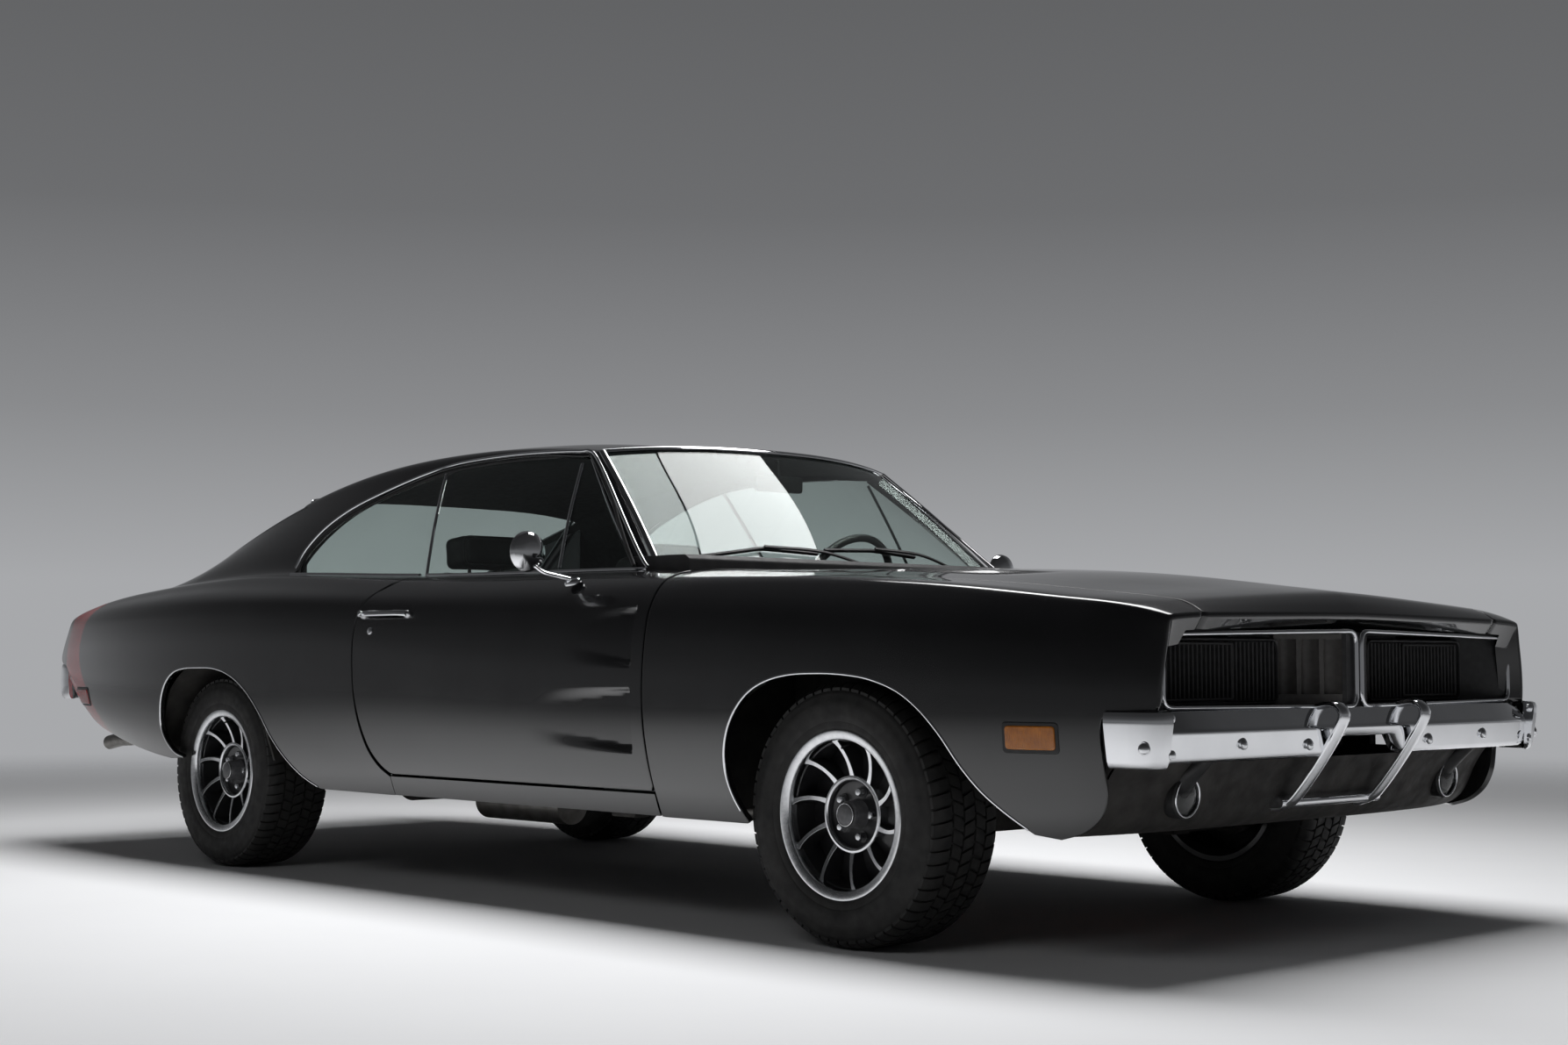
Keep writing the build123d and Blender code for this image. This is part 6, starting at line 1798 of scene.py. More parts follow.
# ------------------------------------------------------------------ mirrors, handles, wipers
def make_door_trim():
    for side, word in SIDES:
        body = f"{word}_door"
        mirror = Build()
        head = (584.0, side * 1000.0, 1001.0)
        shell = [(0.0, 0.0), (24.0, 1.5), (42.0, 6.0), (53.0, 14.0), (56.6, 24.0), (57.0, 30.0),
                 (55.0, 33.0), (53.5, 31.0), (0.0, 30.0)]
        mirror.add(turned(shell, head, (-1.0, 0.0, 0.0), 56), 0)
        stalk = smooth_line([(573.0, 985.0, 962.0), (584.0, 962.0, 944.0), (598.0, 925.0, 934.0),
                             (613.0, 893.0, 926.0)],
                            6.0)
        mirror.add(on_side(sweep_shape(stalk, (0.3, 0.0, 1.0),
                                       [(a * 1.3, b * 0.8) for a, b in round_profile(8.5)]),
                           side), 0)
        foot = [(0.0, 6.0), (17.0, 5.0), (23.0, 1.0), (25.0, -4.0), (25.0, -9.0), (0.0, -9.0)]
        mirror.add(turned(foot, (613.0, side * 884.0, 922.0), (0.0, side * 0.35, 0.94), 32), 0)
        piece = bevelled(mirror.piece(f"{word}_chrome_mirror", (CHROME,), body, sharp=36.0), 0.8)
        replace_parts(piece, f"{word}_mirror")

        trim = Build()
        xs = np.linspace(-116.0, -362.0, 26)
        s = BODY.at_height(xs, np.full(26, 838.0))
        place, normal = BODY.bare(xs, s), BODY.bare_normal(xs, s)
        lift = 24.0 - 10.0 * np.abs(np.linspace(-1.0, 1.0, 26)) ** 6
        section = [(-8.0, -4.0), (-9.0, 0.0), (-6.0, 4.0), (0.0, 5.0), (6.0, 4.0), (9.0, 0.0), (8.0, -4.0)]
        trim.add(sweep_shape(place + normal * lift[:, None], normal, section))
        for i in (1, 24):
            pad = [(0.0, 0.0), (13.0, 0.0), (12.0, 8.0), (8.0, 16.0), (7.0, 22.0), (0.0, 22.0)]
            trim.add(turned(pad, tuple(place[i] - normal[i]), tuple(normal[i]), 24))
        button = [(0.0, 0.0), (8.5, 0.0), (8.0, 10.0), (6.5, 12.0), (0.0, 12.0)]
        trim.add(turned(button, tuple(place[22] + normal[22] * 24.0), tuple(normal[22]), 20))
        lock = BODY.at_height(np.array([-311.0]), np.array([789.0]))
        spot, way = BODY.bare(np.array([-311.0]), lock)[0], BODY.bare_normal(np.array([-311.0]), lock)[0]
        trim.add(turned([(0.0, -2.0), (11.0, -2.0), (11.0, 2.5), (8.0, 4.0), (0.0, 4.5)], tuple(spot),
                        tuple(way), 24))
        belt = smooth_line([(-262.0, 771.0), (200.0, 773.0), (600.0, 771.0), (800.0, 769.0)], 20.0)
        s = BODY.at_width(belt[:, 0], belt[:, 1])
        line = BODY.bare(belt[:, 0], s) + (0.0, 0.0, 1.0)
        trim.add(sweep_shape(line, (0.0, 0.15, 1.0), half_round(13.0, 8.0)))
        whole = Build()
        for shape, mark in shapes_of(trim):
            whole.add(on_side(shape, side), mark)
        bevelled(whole.piece(f"{word}_door_brightwork", (CHROME,), body, sharp=38.0), 0.8)

        quarter_trim = Build()
        belt = smooth_line([(-300.0, 771.0), (-600.0, 774.0), (-900.0, 777.0), (-1052.0, 779.0)], 20.0)
        s = BODY.at_width(belt[:, 0], belt[:, 1])
        line = BODY.bare(belt[:, 0], s) + (0.0, 0.0, 1.0)
        quarter_trim.add(on_side(sweep_shape(line, (0.0, 0.15, 1.0), half_round(13.0, 8.0)), side))
        quarter_trim.piece(f"{word}_quarter_belt", (CHROME,), "body")


def make_wipers():
    wipers = Build()
    for us, vs, pivot in (((-0.84, -0.52, -0.24), (0.050, 0.130, 0.105), (0.02, 0.02)),
                          ((-0.19, 0.10, 0.36), (0.135, 0.150, 0.115), (0.60, 0.02))):
        count = 24
        u, v = np.interp(np.linspace(0, 2, count), (0, 1, 2), us), np.interp(np.linspace(0, 2, count),
                                                                             (0, 1, 2), vs)
        line = curve_along(windshield_point, u, v) + (7.0, 0.0, 8.0)
        wipers.add(sweep_shape(line, (0.7, 0.0, 0.72), [(-3.0, -8.0), (-4.0, -2.0), (-4.0, 3.0),
                                                        (4.0, 3.0), (4.0, -2.0), (3.0, -8.0)]))
        end, middle = np.array(windshield_point(*pivot)) + (14.0, 0.0, 4.0), line[count // 2] + (4.0, 0.0,
                                                                                                 5.0)
        bend = 0.5 * (end + middle) + (12.0, 0.0, 16.0)
        arm = smooth_line([end, bend, middle], 16.0)
        wipers.add(sweep_shape(arm, (0.7, 0.0, 0.72), [(-4.5, -3.0), (-4.5, 3.0), (4.5, 3.0), (4.5, -3.0)]))
        wipers.add(turned([(0.0, -14.0), (13.0, -14.0), (12.0, 6.0), (8.0, 10.0), (0.0, 11.0)], tuple(end),
                          (0.3, 0.0, 0.95), 20))
    bevelled(wipers.piece("wipers", (SATIN,), "body", sharp=36.0), 0.8)


# ------------------------------------------------------------------ rear end
def make_rear():
    build = Build()
    profile = ((-30.0, 686.0), (-10.0, 688.0), (-3.0, 682.0), (0.0, 668.0), (2.0, 622.0), (-1.0, 575.0),
               (-6.0, 560.0), (-14.0, 553.0), (-30.0, 555.0))
    plan = smooth_line([(-2462.0, 886.0), (-2500.0, 886.0), (-2546.0, 876.0), (-2588.0, 846.0),
                        (-2612.0, 790.0), (-2628.0, 690.0), (-2634.0, 540.0), (-2636.0, 0.0),
                        (-2634.0, -540.0), (-2628.0, -690.0), (-2612.0, -790.0), (-2588.0, -846.0),
                        (-2546.0, -876.0), (-2500.0, -886.0), (-2462.0, -886.0)], 18.0)
    path = level_path(plan)
    build.add(sweep_shape(path, (0.0, 0.0, 1.0), profile))
    build.both(box_shape((-2612.0, -2484.0), (380.0, 420.0), (600.0, 640.0)))
    for y in (300.0, 640.0):
        build.both(bolt_shape((-2632.0, y, 600.0), (-1.0, 0.0, 0.0)))
    bumper = bevelled(build.piece("rear_bumper_bar", (CHROME,), "body", sharp=38.0), 1.5, 2, 38.0)
    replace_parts(bumper, "rear_bumper")

    tail = Build()
    tail.add(box_shape((-2488.0, -2470.0), (-828.0, 828.0), (690.0, 838.0)), 0)
    lower = rounded_outline([(-800.0, 690.0), (-800.0, 560.0), (-700.0, 462.0), (-560.0, 438.0),
                             (560.0, 438.0), (700.0, 462.0), (800.0, 560.0), (800.0, 690.0)], 26.0)
    tail.add(front_shape(lower, -2488.0, -2466.0), 0)
    plate = rounded_box((-152.0, 152.0), (424.0, 576.0), 12.0)
    tail.add(front_shape(plate, -2496.0, -2488.0), 1)
    tail.both(bolt_shape((-2497.0, 88.9, 500.0), (-1.0, 0.0, 0.0), 6.0, 4.0), 1)
    panel_piece = bevelled(tail.piece("tail_panel_face", (BLACK, SATIN), "body", sharp=34.0), 2.0)
    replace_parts(panel_piece, "tail_panel")
    lamps = Build()
    for k in (LEFT, RIGHT):
        outline = rounded_box((160.0, 600.0), (715.0, 800.0), 16.0)
        lamps.add(on_side(front_shape(outline, -2500.0, -2486.0), k), 0)
        ring = loop_on_face([(154.0, 709.0), (606.0, 709.0), (606.0, 806.0), (154.0, 806.0)], 20.0,
                            lambda y: -2488.0, half_round(14.0, 14.0), (-1.0, 0.0, 0.0))
        lamps.add(on_side(ring, k), 1)
    piece = bevelled(lamps.piece("tail_lamp_pair", (RED_LENS, CHROME), "body", sharp=34.0), 1.5)
    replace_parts(piece, "tail_lamps")


def make_arch_lips():
    """The thin bright lips round the wheel arches."""
    for name, arch in (("front", FRONT_ARCH), ("rear", REAR_ARCH)):
        build = Build()
        line = smooth_line(arch, 16.0)
        line = line[line[:, 1] > 318.0] if name == "front" else line
        s = BODY.at_height(line[:, 0], line[:, 1])
        place, normal = BODY.bare(line[:, 0], s), BODY.bare_normal(line[:, 0], s)
        build.both(sweep_shape(place - normal * 0.5, normal, half_round(7.0, 3.0)))
        build.piece(f"{name}_arch_lips", (CHROME,), "body")


# ------------------------------------------------------------------ cabin
def turned_frame(along, normal):
    """Axes of a pad: its length, its width and the way its crowned face looks."""
    u, n = np.array(along, float), np.array(normal, float)
    u, n = u / np.linalg.norm(u), n / np.linalg.norm(n)
    return np.stack([u, np.cross(n, u), n])


def pad_surface(points, half, crown, seam, pleat):
    """Swells a rounded box: a crowned face, sides pulled in, a sewn border and sewn channels."""
    x, y = points[:, 0] / half[0], points[:, 1] / half[1]
    upper = np.clip(points[:, 2] / half[2], 0.0, 1.0)
    dome = np.clip(1.0 - x**2, 0.0, 1.0) * np.clip(1.0 - y**2, 0.0, 1.0)
    lift = crown * dome**0.6
    inside = np.minimum(half[0] - np.abs(points[:, 0]), half[1] - np.abs(points[:, 1])) - seam
    if seam:
        lift -= 7.0 * np.exp(-((inside / 6.0) ** 2))
        if pleat:
            ridge = np.abs(np.sin(math.pi * points[:, 1] / pleat))
            lift -= 6.0 * (1.0 - ridge) ** 4 * step_up(inside, 0.0, 14.0)
    result = points.copy()
    result[:, 2] += lift * upper**2
    pull = 0.030
    result[:, 0] *= 1.0 - pull * np.clip(1.0 - y**2, 0.0, 1.0)
    result[:, 1] *= 1.0 - pull * np.clip(1.0 - x**2, 0.0, 1.0)
    return result


def pad_shape(centre, axes, half, crown=16.0, seam=0.0, pleat=0.0, radius=26.0, cell=9.0):
    """One stuffed pad as a closed shape."""
    half = np.array(half, float)
    quads, places = [], []
    for axis in range(3):
        a, b = (axis + 1) % 3, (axis + 2) % 3
        na, nb = (max(4, int(2 * half[k] / cell)) for k in (a, b))
        ga, gb = np.meshgrid(np.linspace(-1, 1, na + 1), np.linspace(-1, 1, nb + 1), indexing="ij")
        for sign in (-1.0, 1.0):
            grid = np.zeros((na + 1, nb + 1, 3))
            grid[..., axis], grid[..., a], grid[..., b] = sign, ga, gb
            base = sum(len(p) for p in places)
            places.append((grid * half).reshape(-1, 3))
            i, j = np.meshgrid(np.arange(na), np.arange(nb), indexing="ij")
            corner = base + (i * (nb + 1) + j).ravel()
            ring = np.stack([corner, corner + nb + 1, corner + nb + 2, corner + 1], axis=1)
            quads.append(ring if sign > 0 else ring[:, ::-1])
    points, quads = np.concatenate(places), np.concatenate(quads)
    unique, where = np.unique(np.round(points, 4), axis=0, return_inverse=True)
    quads = np.reshape(where, -1)[quads]
    core = np.clip(unique, radius - half, half - radius)
    away = unique - core
    rounded = core + radius * away / np.maximum(np.linalg.norm(away, axis=1), 1e-9)[:, None]
    swollen = pad_surface(rounded, half, crown, seam, pleat)
    return np.array(centre) + swollen @ axes, [tuple(int(i) for i in quad) for quad in quads]


def welt_shape(centre, axes, half, crown, inset=5.0):
    """The piping sewn round the face of a pad."""
    corners = [(-half[0] + inset, -half[1] + inset), (half[0] - inset, -half[1] + inset),
               (half[0] - inset, half[1] - inset), (-half[0] + inset, half[1] - inset)]
    line = np.array(smooth_line(rounded_outline(corners, 30.0, 6), 9.0, closed=True))[:, :2]
    flat = np.column_stack([line, np.full(len(line), half[2] - 9.0)])
    path = np.array(centre) + pad_surface(flat, half, crown, 0.0, 0.0) @ axes
    return sweep_shape(path, axes[2], round_profile(4.2, 8), closed=True)


def make_pad(name, centre, axes, half, crown, seam, pleat, node=None):
    build = Build()
    build.add(pad_shape(centre, axes, half, crown, seam, pleat))
    build.add(welt_shape(centre, axes, half, crown))
    piece = build.piece(name, (VINYL,), "body", sharp=70.0)
    if node:
        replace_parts(piece, node)
    return piece


SEAT_Y = 395.0
SEAT_LINE, SEAT_FACE = (1.0, 0.0, 0.075), (-0.075, 0.0, 1.0)
BACK_LINE, BACK_FACE = (-0.240, 0.0, 0.971), (0.971, 0.0, 0.240)
REAR_LINE, REAR_FACE = (1.0, 0.0, 0.096), (-0.096, 0.0, 1.0)
REAR_BACK_LINE, REAR_BACK_FACE = (-0.418, 0.0, 0.908), (0.908, 0.0, 0.418)


def make_seats():
    seat, back = turned_frame(SEAT_LINE, SEAT_FACE), turned_frame(BACK_LINE, BACK_FACE)
    rest = turned_frame((-0.10, 0.0, 0.995), (0.995, 0.0, 0.10))
    for side, word in SIDES:
        y = side * SEAT_Y
        make_pad(f"{word}_seat_cushion", (-62.0, y, 462.0), seat, (232.0, 222.0, 56.0), 15.0, 52.0, 46.0,
                 "front_seats" if side > 0 else None)
        make_pad(f"{word}_seat_back", (-408.0, y, 742.0), back, (238.0, 220.0, 50.0), 15.0, 50.0, 46.0)
        make_pad(f"{word}_headrest", (-482.0, y, 1050.0), rest, (52.0, 122.0, 60.0), 8.0, 0.0, 0.0)
        frame = Build()
        skirt = rounded_outline([(-300.0, 322.0), (118.0, 322.0), (138.0, 412.0), (-318.0, 396.0)], 20.0)
        frame.add(prism_shape(skirt, y - 205.0, y + 205.0), 0)
        shell = [(-330.0, 420.0), (-300.0, 440.0), (-402.0, 690.0), (-452.0, 930.0), (-492.0, 958.0),
                 (-506.0, 940.0), (-470.0, 700.0), (-430.0, 470.0)]
        frame.add(prism_shape(rounded_outline(shell, 14.0), y - 200.0, y + 200.0), 0)
        for k in (-60.0, 60.0):
            frame.add(rod_shape((-470.0, y + k, 930.0), (-482.0, y + k, 1030.0), 6.0), 1)
        for rail in (-170.0, 170.0):
            frame.add(box_shape((-330.0, 130.0), (y + rail - 14.0, y + rail + 14.0), (313.0, 326.0)), 1)
        piece = bevelled(frame.piece(f"{word}_seat_frame", (SATIN, STEEL), "body", sharp=34.0), 3.0)
    seat, back = turned_frame(REAR_LINE, REAR_FACE), turned_frame(REAR_BACK_LINE, REAR_BACK_FACE)
    for side, word in SIDES:
        y = side * 297.0
        make_pad(f"{word}_rear_cushion", (-778.0, y, 570.0), seat, (172.0, 286.0, 54.0), 13.0, 46.0, 46.0,
                 "rear_seat" if side > 0 else None)
        make_pad(f"{word}_rear_back", (-1082.0, y, 760.0), back, (172.0, 286.0, 54.0), 13.0, 46.0, 46.0)
    base = Build()
    base.add(box_shape((-946.0, -628.0), (-560.0, 560.0), (514.0, 548.0)), 0)
    piece = bevelled(base.piece("rear_seat_base", (SATIN,), "body", sharp=34.0), 4.0)


GAUGE_OFFSETS, GAUGE_R, GAUGE_Z = (-135.0, -45.0, 45.0, 135.0), 44.0, 922.0


def make_dashboard():
    build = Build()
    top = [(945.0, 884.0), (945.0, 978.0), (925.0, 990.0), (690.0, 990.0), (650.0, 984.0), (632.0, 968.0),
           (628.0, 952.0), (642.0, 944.0), (658.0, 940.0), (652.0, 900.0), (640.0, 884.0)]
    build.add(prism_shape(rounded_outline(top, 6.0, 3), -742.0, 742.0), 0)
    lower = [(1058.0, 642.0), (1058.0, 878.0), (940.0, 884.0), (640.0, 884.0), (632.0, 870.0),
             (628.0, 742.0), (640.0, 716.0), (704.0, 644.0)]
    build.add(prism_shape(rounded_outline(lower, 8.0, 3), -742.0, 742.0), 1)
    hood = rounded_box((180.0, 560.0), (878.0, 966.0), 22.0, 4)
    build.add(front_shape(hood, 634.0, 662.0), 1)
    face = rounded_box((192.0, 548.0), (888.0, 956.0), 16.0, 4)
    build.add(front_shape(face, 628.0, 640.0), 2)
    size = GAUGE_R * 0.70
    for offset in GAUGE_OFFSETS:
        place = (628.0, WHEEL_CENTRE[1] + offset * 0.92, GAUGE_Z)
        build.add(turned([(0.0, -1.0), (size, -1.0), (size, 2.0), (0.0, 2.0)], place, (-1.0, 0.0, 0.0),
                         40), 3)
        rim = [(size, -1.0), (size + 3.5, -1.0), (size + 3.0, 4.0), (size, 5.0)]
        build.add(ring_shape(rim, place, (-1.0, 0.0, 0.0)), 4)
        pivot = (625.0, place[1] - 1.2, GAUGE_Z)
        build.add(rod_shape(pivot, (625.0, place[1] - 0.55 * size, GAUGE_Z + 0.6 * size), 1.2, 8), 5)
    radio = rounded_box((-84.0, 84.0), (800.0, 862.0), 6.0)
    build.add(front_shape(radio, 622.0, 634.0), 2)
    for y in (-70.0, 70.0):
        build.add(turned([(0.0, 0.0), (10.0, 0.0), (9.0, 14.0), (0.0, 16.0)], (622.0, y, 831.0),
                         (-1.0, 0.0, 0.0), 20), 4)
    glove = rounded_box((-600.0, -230.0), (764.0, 862.0), 12.0)
    build.add(front_shape(glove, 625.0, 634.0), 1)
    build.add(turned([(0.0, 0.0), (13.0, 0.0), (12.0, 5.0), (0.0, 6.0)], (625.0, -415.0, 846.0),
                     (-1.0, 0.0, 0.0), 24), 4)
    for y in (-690.0, 640.0):
        grille = rounded_box((y, y + 50.0), (800.0, 850.0), 8.0)
        build.add(front_shape(grille, 624.0, 634.0), 2)
    build.add(front_shape([(-600.0, 944.0), (-30.0, 944.0), (-30.0, 950.0), (-600.0, 950.0)], 632.0,
                          642.0), 4)
    axis = Vector(COLUMN_AXIS)
    column = [(0.0, 0.0), (29.0, 0.0), (34.0, 8.0), (34.0, 40.0), (30.0, 52.0), (27.0, 300.0), (0.0, 300.0)]
    start = Vector(WHEEL_CENTRE) + axis * 46.0
    build.add(turned(column, tuple(start), COLUMN_AXIS, 40), 1)
    for side in (LEFT, RIGHT):
        stalk = [tuple(start + axis * 22.0), tuple(start + axis * 14.0 + Vector((0.0, side * 130.0, 26.0)))]
        build.add(rod_shape(*stalk, 3.6, 12), 4)
        build.add(turned([(0.0, -8.0), (6.5, -6.0), (7.5, 0.0), (6.5, 7.0), (0.0, 9.0)], stalk[1],
                         (0.0, side, 0.2), 16), 1)
    for y, wide, z, x in ((300.0, 42.0, 470.0, 850.0), (450.0, 38.0, 470.0, 850.0),
                          (205.0, 26.0, 430.0, 865.0)):
        build.add(rod_shape((x + 60.0, y, 660.0), (x + 12.0, y, z + 20.0), 6.0, 12), 5)
        build.add(box_shape((x - 4.0, x + 12.0), (y - wide, y + wide), (z - 26.0, z + 26.0)), 1)
    materials = (VINYL, SATIN, GRILLE_GREY, GAUGE, CHROME, STEEL)
    piece = bevelled(build.piece("dash_panel", materials, "body", sharp=34.0), 1.5)
    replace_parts(piece, "dashboard")


WHEEL_CENTRE, COLUMN_AXIS = (437.0, 370.0, 920.0), (0.9063, 0.0, -0.4226)


def make_steering_wheel():
    build = Build()
    ring = [(188.0 + 12.5 * math.cos(k * math.pi / 8), 13.5 * math.sin(k * math.pi / 8)) for k in range(16)]
    build.add(ring_shape(ring, WHEEL_CENTRE, COLUMN_AXIS, 96), 0)
    hub = [(0.0, -18.0), (24.0, -17.0), (34.0, -12.0), (40.0, -2.0), (40.0, 10.0), (30.0, 22.0),
           (0.0, 24.0)]
    build.add(turned(hub, WHEEL_CENTRE, COLUMN_AXIS, 48), 1)
    cap = [(0.0, -24.0), (16.0, -23.0), (26.0, -18.0), (26.0, -14.0), (0.0, -14.0)]
    build.add(turned(cap, WHEEL_CENTRE, COLUMN_AXIS, 40), 2)
    axis, across = np.array(COLUMN_AXIS), np.array((0.0, 1.0, 0.0))
    up = np.cross(across, axis) * -1.0
    for a, b in ((0.985, 0.17), (-0.985, 0.17), (0.0, -1.0)):
        way = across * a + up * b
        side = np.cross(axis, way)
        for start, end, wide in ((34.0, 100.0, 22.0), (100.0, 186.0, 15.0)):
            for offset in (-1.0, 1.0):
                loops = []
                for r, w in ((start, wide), (end, wide * 0.8)):
                    centre = np.array(WHEEL_CENTRE) + way * r + side * offset * (w * 0.62)
                    loops.append([tuple(centre + side * (w * 0.36 * p) + axis * q)
                                  for p, q in ((-1, -2.5), (1, -2.5), (1, 2.5), (-1, 2.5))])
                build.add(loops_shape(loops), 2)
            centre = np.array(WHEEL_CENTRE) + way * end
            build.add(rod_shape(tuple(centre - side * wide * 0.75), tuple(centre + side * wide * 0.75),
                                2.6, 8), 2)
    piece = bevelled(build.piece("steering_wheel_rim", (VINYL, SATIN, POLISHED), "steering_wheel",
                                 sharp=40.0), 0.8)
    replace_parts(piece, "steering_wheel")


def make_console():
    build = Build()
    side_line = rounded_outline([(556.0, 492.0), (556.0, 560.0), (520.0, 598.0), (-60.0, 598.0),
                                 (-98.0, 575.0), (-98.0, 492.0)], 14.0)
    build.add(prism_shape(side_line, -103.0, 103.0), 0)
    lid = rounded_box((-92.0, 90.0), (-88.0, 88.0), 18.0)
    build.add(plan_shape(lid, 596.0, 616.0), 0)
    plate = rounded_box((130.0, 400.0), (-60.0, 60.0), 14.0)
    build.add(plan_shape(plate, 597.0, 603.0), 1)
    build.add(box_shape((180.0, 330.0), (-9.0, 9.0), (601.0, 605.0)), 2)
    lever = smooth_line([(262.0, 0.0, 590.0), (256.0, 4.0, 660.0), (240.0, 14.0, 726.0)], 10.0)
    build.add(sweep_shape(lever, (1.0, 0.0, 0.1), round_profile(6.0)), 1)
    knob = [(0.0, -4.0), (13.0, 0.0), (23.0, 14.0), (23.0, 26.0), (14.0, 38.0), (0.0, 42.0)]
    build.add(turned(knob, (240.0, 14.0, 724.0), (-0.2, 0.1, 1.0), 28), 2)
    piece = bevelled(build.piece("tunnel_console", (VINYL, POLISHED, SATIN), "body", sharp=34.0), 3.0)
    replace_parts(piece, "center_console")


def make_door_cards():
    for side, word in SIDES:
        build = Build()
        card = rounded_outline([(-215.0, 360.0), (560.0, 360.0), (560.0, 905.0), (-215.0, 918.0)], 34.0, 5)
        build.add(on_side(prism_shape(card, 757.0, 765.0), side), 0)
        inset = rounded_box((-180.0, 520.0), (470.0, 640.0), 20.0, 4)
        build.add(on_side(prism_shape(inset, 753.0, 760.0), side), 1)
        rest = rounded_outline([(-120.0, 655.0), (230.0, 665.0), (230.0, 700.0), (-120.0, 712.0)], 14.0, 4)
        build.add(on_side(prism_shape(rest, 708.0, 758.0), side), 0)
        build.add(turned([(0.0, 0.0), (15.0, 0.0), (13.0, 12.0), (0.0, 14.0)], (390.0, side * 757.0, 600.0),
                         (0.0, -side, 0.0), 24), 2)
        build.add(rod_shape((390.0, side * 746.0, 600.0), (390.0, side * 742.0, 690.0), 5.0, 12), 2)
        build.add(turned([(0.0, 0.0), (11.0, 0.0), (10.0, 26.0), (0.0, 28.0)], (390.0, side * 744.0, 690.0),
                         (0.0, -side, 0.0), 20), 1)
        build.add(turned([(0.0, 0.0), (16.0, 0.0), (14.0, 8.0), (0.0, 9.0)], (470.0, side * 757.0, 800.0),
                         (0.0, -side, 0.0), 24), 2)
        build.add(rod_shape((470.0, side * 748.0, 800.0), (380.0, side * 744.0, 796.0), 5.5, 12), 2)
        piece = bevelled(build.piece(f"{word}_door_card", (VINYL, SATIN, CHROME), f"{word}_door",
                                     sharp=34.0), 2.0)


MAT_Z = 318.0  # the floor covering lies on the floor pan


def make_cabin_trim():
    """The inside mirror, and the moulded floor covering."""
    build = Build()
    head = rounded_box((-98.0, 98.0), (1218.0, 1268.0), 14.0)
    build.add(front_shape(head, 506.0, 520.0), 0)
    build.add(front_shape(rounded_box((-92.0, 92.0), (1223.0, 1263.0), 11.0),
                          503.5, 508.0), 1)
    build.add(rod_shape((516.0, 0.0, 1258.0), (508.0, 0.0, 1316.0), 6.0), 0)
    piece = bevelled(build.piece("inside_mirror", (SATIN, CHROME), "body", sharp=34.0), 1.5)
    for side, word in SIDES:
        for name, xs in (("front", (-380.0, 840.0)), ("rear", (-556.0, -392.0))):
            grid = [[(x, side * y, MAT_Z + 3.0 * math.sin(x / 37.0) * math.sin(y / 29.0))
                     for x in np.linspace(*xs, 40)]
                    for y in np.linspace(172.0, 738.0, 22)]
            if side > 0:
                grid = grid[::-1]
            piece = patch(f"{word}_{name}_floor_mat", grid, "body", 4.0, (CARPET,))


# ------------------------------------------------------------------ carried-over frame
NODE_FINISH = {
    UNDER: ("floor_pan", "wheelhouses", "front_frame"),
    IRON: ("driveline", "rear_axle", "rear_springs", "left_knuckle", "right_knuckle"),
    STEEL: ("exhaust", "fuel_tank"),
    ENGINE: ("engine",),
    SATIN: ("radiator",),
}


def dress_frame():
    """Gives every carried-over node its finish."""
    for material, names in NODE_FINISH.items():
        for name in names:
            node = frame["nodes"][name]
            node.data.materials.clear()
            node.data.materials.append(material)


# ------------------------------------------------------------------ studio
CAMERA_PLACE = (5.455, -4.679, 0.703)
CAMERA_YAW, CAMERA_PITCH = 2.380857, 0.0621275
CAMERA_LENS = 50.45
BACKDROP = (-0.724, 0.690, 0.0)  # the way to the pale wall


def make_camera():
    data = bpy.data.cameras.new("camera")
    data.lens = CAMERA_LENS
    data.sensor_width = 36.0
    data.sensor_fit = "HORIZONTAL"
    data.clip_end = 200.0
    camera = bpy.data.objects.new("camera", data)
    bpy.context.scene.collection.objects.link(camera)
    forward = Vector((math.cos(CAMERA_PITCH) * math.cos(CAMERA_YAW),
                      math.cos(CAMERA_PITCH) * math.sin(CAMERA_YAW), math.sin(CAMERA_PITCH)))
    turn = forward.to_track_quat("-Z", "Y").to_euler()
    camera.location = CAMERA_PLACE
    camera.rotation_euler = turn
    bpy.context.scene.camera = camera


def area_light(name, place, target, size, power):
    """A white rectangular light that looks at a target."""
    data = bpy.data.lights.new(name, "AREA")
    data.shape = "RECTANGLE"
    data.size, data.size_y = size
    data.energy = power
    light = bpy.data.objects.new(name, data)
    bpy.context.scene.collection.objects.link(light)
    light.location = place
    light.rotation_euler = (Vector(target) - Vector(place)).to_track_quat("-Z", "Y").to_euler()
    return light


SKY_STOPS = ((0.0, 0.40), (0.035, 0.40), (0.11, 0.26), (0.20, 0.155), (0.40, 0.090), (1.0, 0.055))
UNSEEN_LEVEL = 0.55  # the room's strength for rays that neither show it nor mirror it


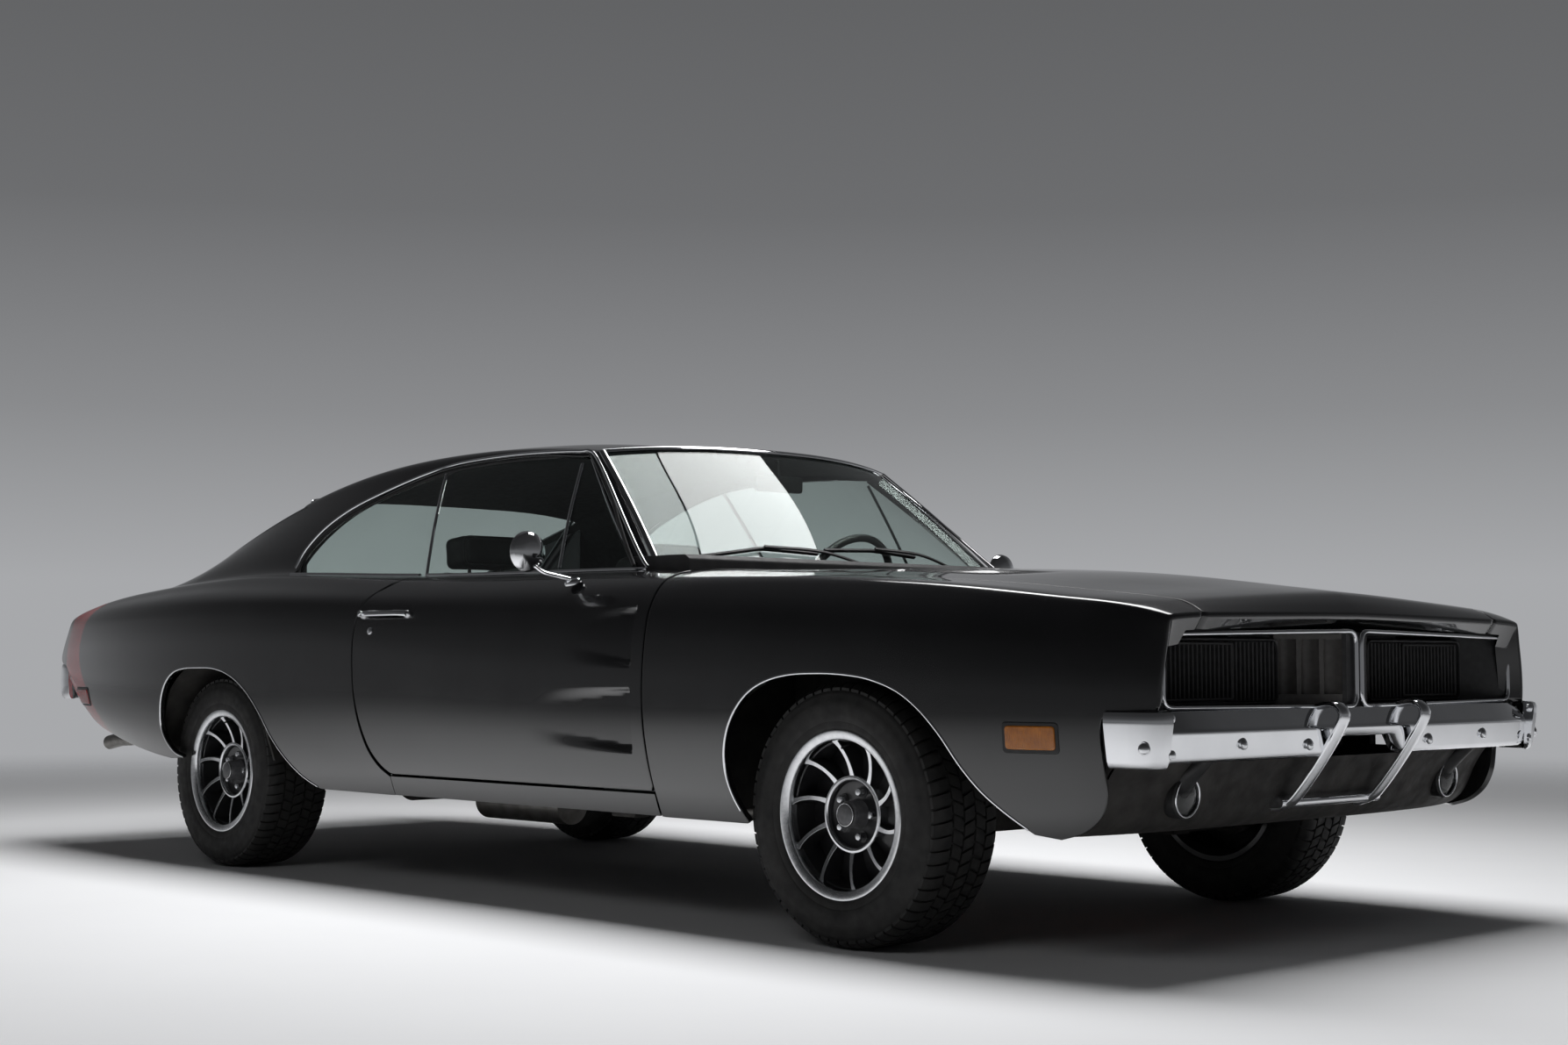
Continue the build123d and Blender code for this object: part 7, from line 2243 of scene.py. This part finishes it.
def make_world():
    """A studio that is pale at the horizon and darker overhead, by the direction in the world."""
    world = bpy.data.worlds.new("studio")
    bpy.context.scene.world = world
    world.use_nodes = True
    tree = world.node_tree
    place = tree.nodes.new("ShaderNodeTexCoord")
    split = tree.nodes.new("ShaderNodeSeparateXYZ")
    ramp = tree.nodes.new("ShaderNodeValToRGB")
    ramp.color_ramp.elements[0].position = SKY_STOPS[0][0]
    ramp.color_ramp.elements[1].position = SKY_STOPS[-1][0]
    for position, _ in SKY_STOPS[1:-1]:
        ramp.color_ramp.elements.new(position)
    for element, (_, level) in zip(ramp.color_ramp.elements, SKY_STOPS):
        element.color = (level * 0.97, level * 0.985, level * 1.02, 1.0)
    tree.links.new(place.outputs["Generated"], split.inputs["Vector"])
    tree.links.new(split.outputs["Z"], ramp.inputs["Fac"])
    # the wall is pale behind the car and greyer round the rest of the room, for every ray that shows it
    facing = tree.nodes.new("ShaderNodeVectorMath")
    facing.operation = "DOT_PRODUCT"
    facing.inputs[1].default_value = BACKDROP
    tree.links.new(place.outputs["Generated"], facing.inputs[0])
    wall = tree.nodes.new("ShaderNodeMapRange")
    wall.interpolation_type = "SMOOTHSTEP"
    for socket, value in (("From Min", 0.15), ("From Max", 0.72), ("To Min", 0.35), ("To Max", 1.0)):
        wall.inputs[socket].default_value = value
    tree.links.new(facing.outputs["Value"], wall.inputs["Value"])
    rays = tree.nodes.new("ShaderNodeLightPath")
    shown = rays.outputs["Is Camera Ray"]
    for other in ("Is Glossy Ray", "Is Transmission Ray"):
        either = tree.nodes.new("ShaderNodeMath")
        either.operation = "MAXIMUM"
        tree.links.new(shown, either.inputs[0])
        tree.links.new(rays.outputs[other], either.inputs[1])
        shown = either.outputs["Value"]
    level = tree.nodes.new("ShaderNodeMath")
    level.operation = "MULTIPLY_ADD"
    tree.links.new(shown, level.inputs[0])
    level.inputs[1].default_value = 1.0 - UNSEEN_LEVEL
    level.inputs[2].default_value = UNSEEN_LEVEL
    strength = tree.nodes.new("ShaderNodeMath")
    strength.operation = "MULTIPLY"
    tree.links.new(wall.outputs["Result"], strength.inputs[0])
    tree.links.new(level.outputs["Value"], strength.inputs[1])
    tree.links.new(ramp.outputs["Color"], tree.nodes["Background"].inputs["Color"])
    tree.links.new(strength.outputs["Value"], tree.nodes["Background"].inputs["Strength"])


FLOOR_R = 30.0
FADE_FROM, FADE_TO = 3.6, 11.0  # where the floor begins to fade into the world, and where it has gone


def make_floor():
    """A pale floor that fades into the studio's horizon."""
    data = bpy.data.meshes.new("floor")
    rings, segments = 40, 96
    radii = [FLOOR_R * (i / rings) ** 2 for i in range(1, rings + 1)]
    turns = [2 * math.pi * j / segments for j in range(segments)]
    points = [(0.0, 0.0, 0.0)]
    for radius in radii:
        points += [(radius * math.cos(turn), radius * math.sin(turn), 0.0) for turn in turns]
    faces = [(0, 1 + j, 1 + (j + 1) % segments) for j in range(segments)]
    for i in range(rings - 1):
        a, b = 1 + i * segments, 1 + (i + 1) * segments
        faces += [(a + j, b + j, b + (j + 1) % segments, a + (j + 1) % segments) for j in range(segments)]
    data.from_pydata(points, [], faces)
    floor = bpy.data.objects.new("floor", data)
    bpy.context.scene.collection.objects.link(floor)
    material, tree, shader = new_material("floor")
    pale = tint(tree, noise(tree, 0.6), (0.84, 0.845, 0.86), (0.88, 0.885, 0.90))
    tree.links.new(pale, shader.inputs["Base Color"])
    shader.inputs["Roughness"].default_value = 0.9
    shader.inputs["Specular IOR Level"].default_value = 0.1
    place = tree.nodes.new("ShaderNodeTexCoord")
    length = tree.nodes.new("ShaderNodeVectorMath")
    length.operation = "LENGTH"
    fade = tree.nodes.new("ShaderNodeMapRange")
    fade.interpolation_type = "SMOOTHSTEP"
    fade.inputs["From Min"].default_value = FADE_FROM
    fade.inputs["From Max"].default_value = FADE_TO
    tree.links.new(place.outputs["Object"], length.inputs[0])
    tree.links.new(length.outputs["Value"], fade.inputs["Value"])
    clear = tree.nodes.new("ShaderNodeBsdfTransparent")
    mix = tree.nodes.new("ShaderNodeMixShader")
    tree.links.new(fade.outputs["Result"], mix.inputs["Fac"])
    tree.links.new(shader.outputs["BSDF"], mix.inputs[1])
    tree.links.new(clear.outputs["BSDF"], mix.inputs[2])
    tree.links.new(mix.outputs["Shader"], tree.nodes["Material Output"].inputs["Surface"])
    data.materials.append(material)


LIGHT_Z = 4.6


def make_studio():
    """The camera, the room and three soft lights; two of them light the car without showing in it."""
    make_camera()
    make_world()
    make_floor()
    overhead = area_light("overhead", (0.2, 0.0, LIGHT_Z), (0.2, 0.0, 0.0), (5.4, 2.4), 330.0)
    overhead.visible_glossy = False
    # the panel that the windshield mirrors: it shows in gloss and lights nothing matt
    panel_light = area_light("mirrored_panel", (0.2, 2.1, LIGHT_Z), (0.2, 2.1, 0.0), (4.2, 1.75), 105.0)
    panel_light.visible_diffuse = False
    side_fill = area_light("side_fill", (3.5, -6.5, LIGHT_Z), (0.0, 0.0, 0.5), (5.0, 1.6), 40.0)
    side_fill.visible_glossy = False
    bpy.context.scene.view_settings.view_transform = "Standard"


make_studio()
make_fenders()
make_hood()
make_cowl()
make_doors()
make_sills()
make_quarters()
make_trunk()
make_roof()
make_deck()
make_sail_walls()
make_wheels()
make_glass()
make_pillars()
make_front_bumper()
make_grille()
make_markers()
make_arch_lips()
make_door_trim()
make_wipers()
make_rear()
make_seats()
make_dashboard()
make_steering_wheel()
make_console()
make_door_cards()
make_cabin_trim()
dress_frame()
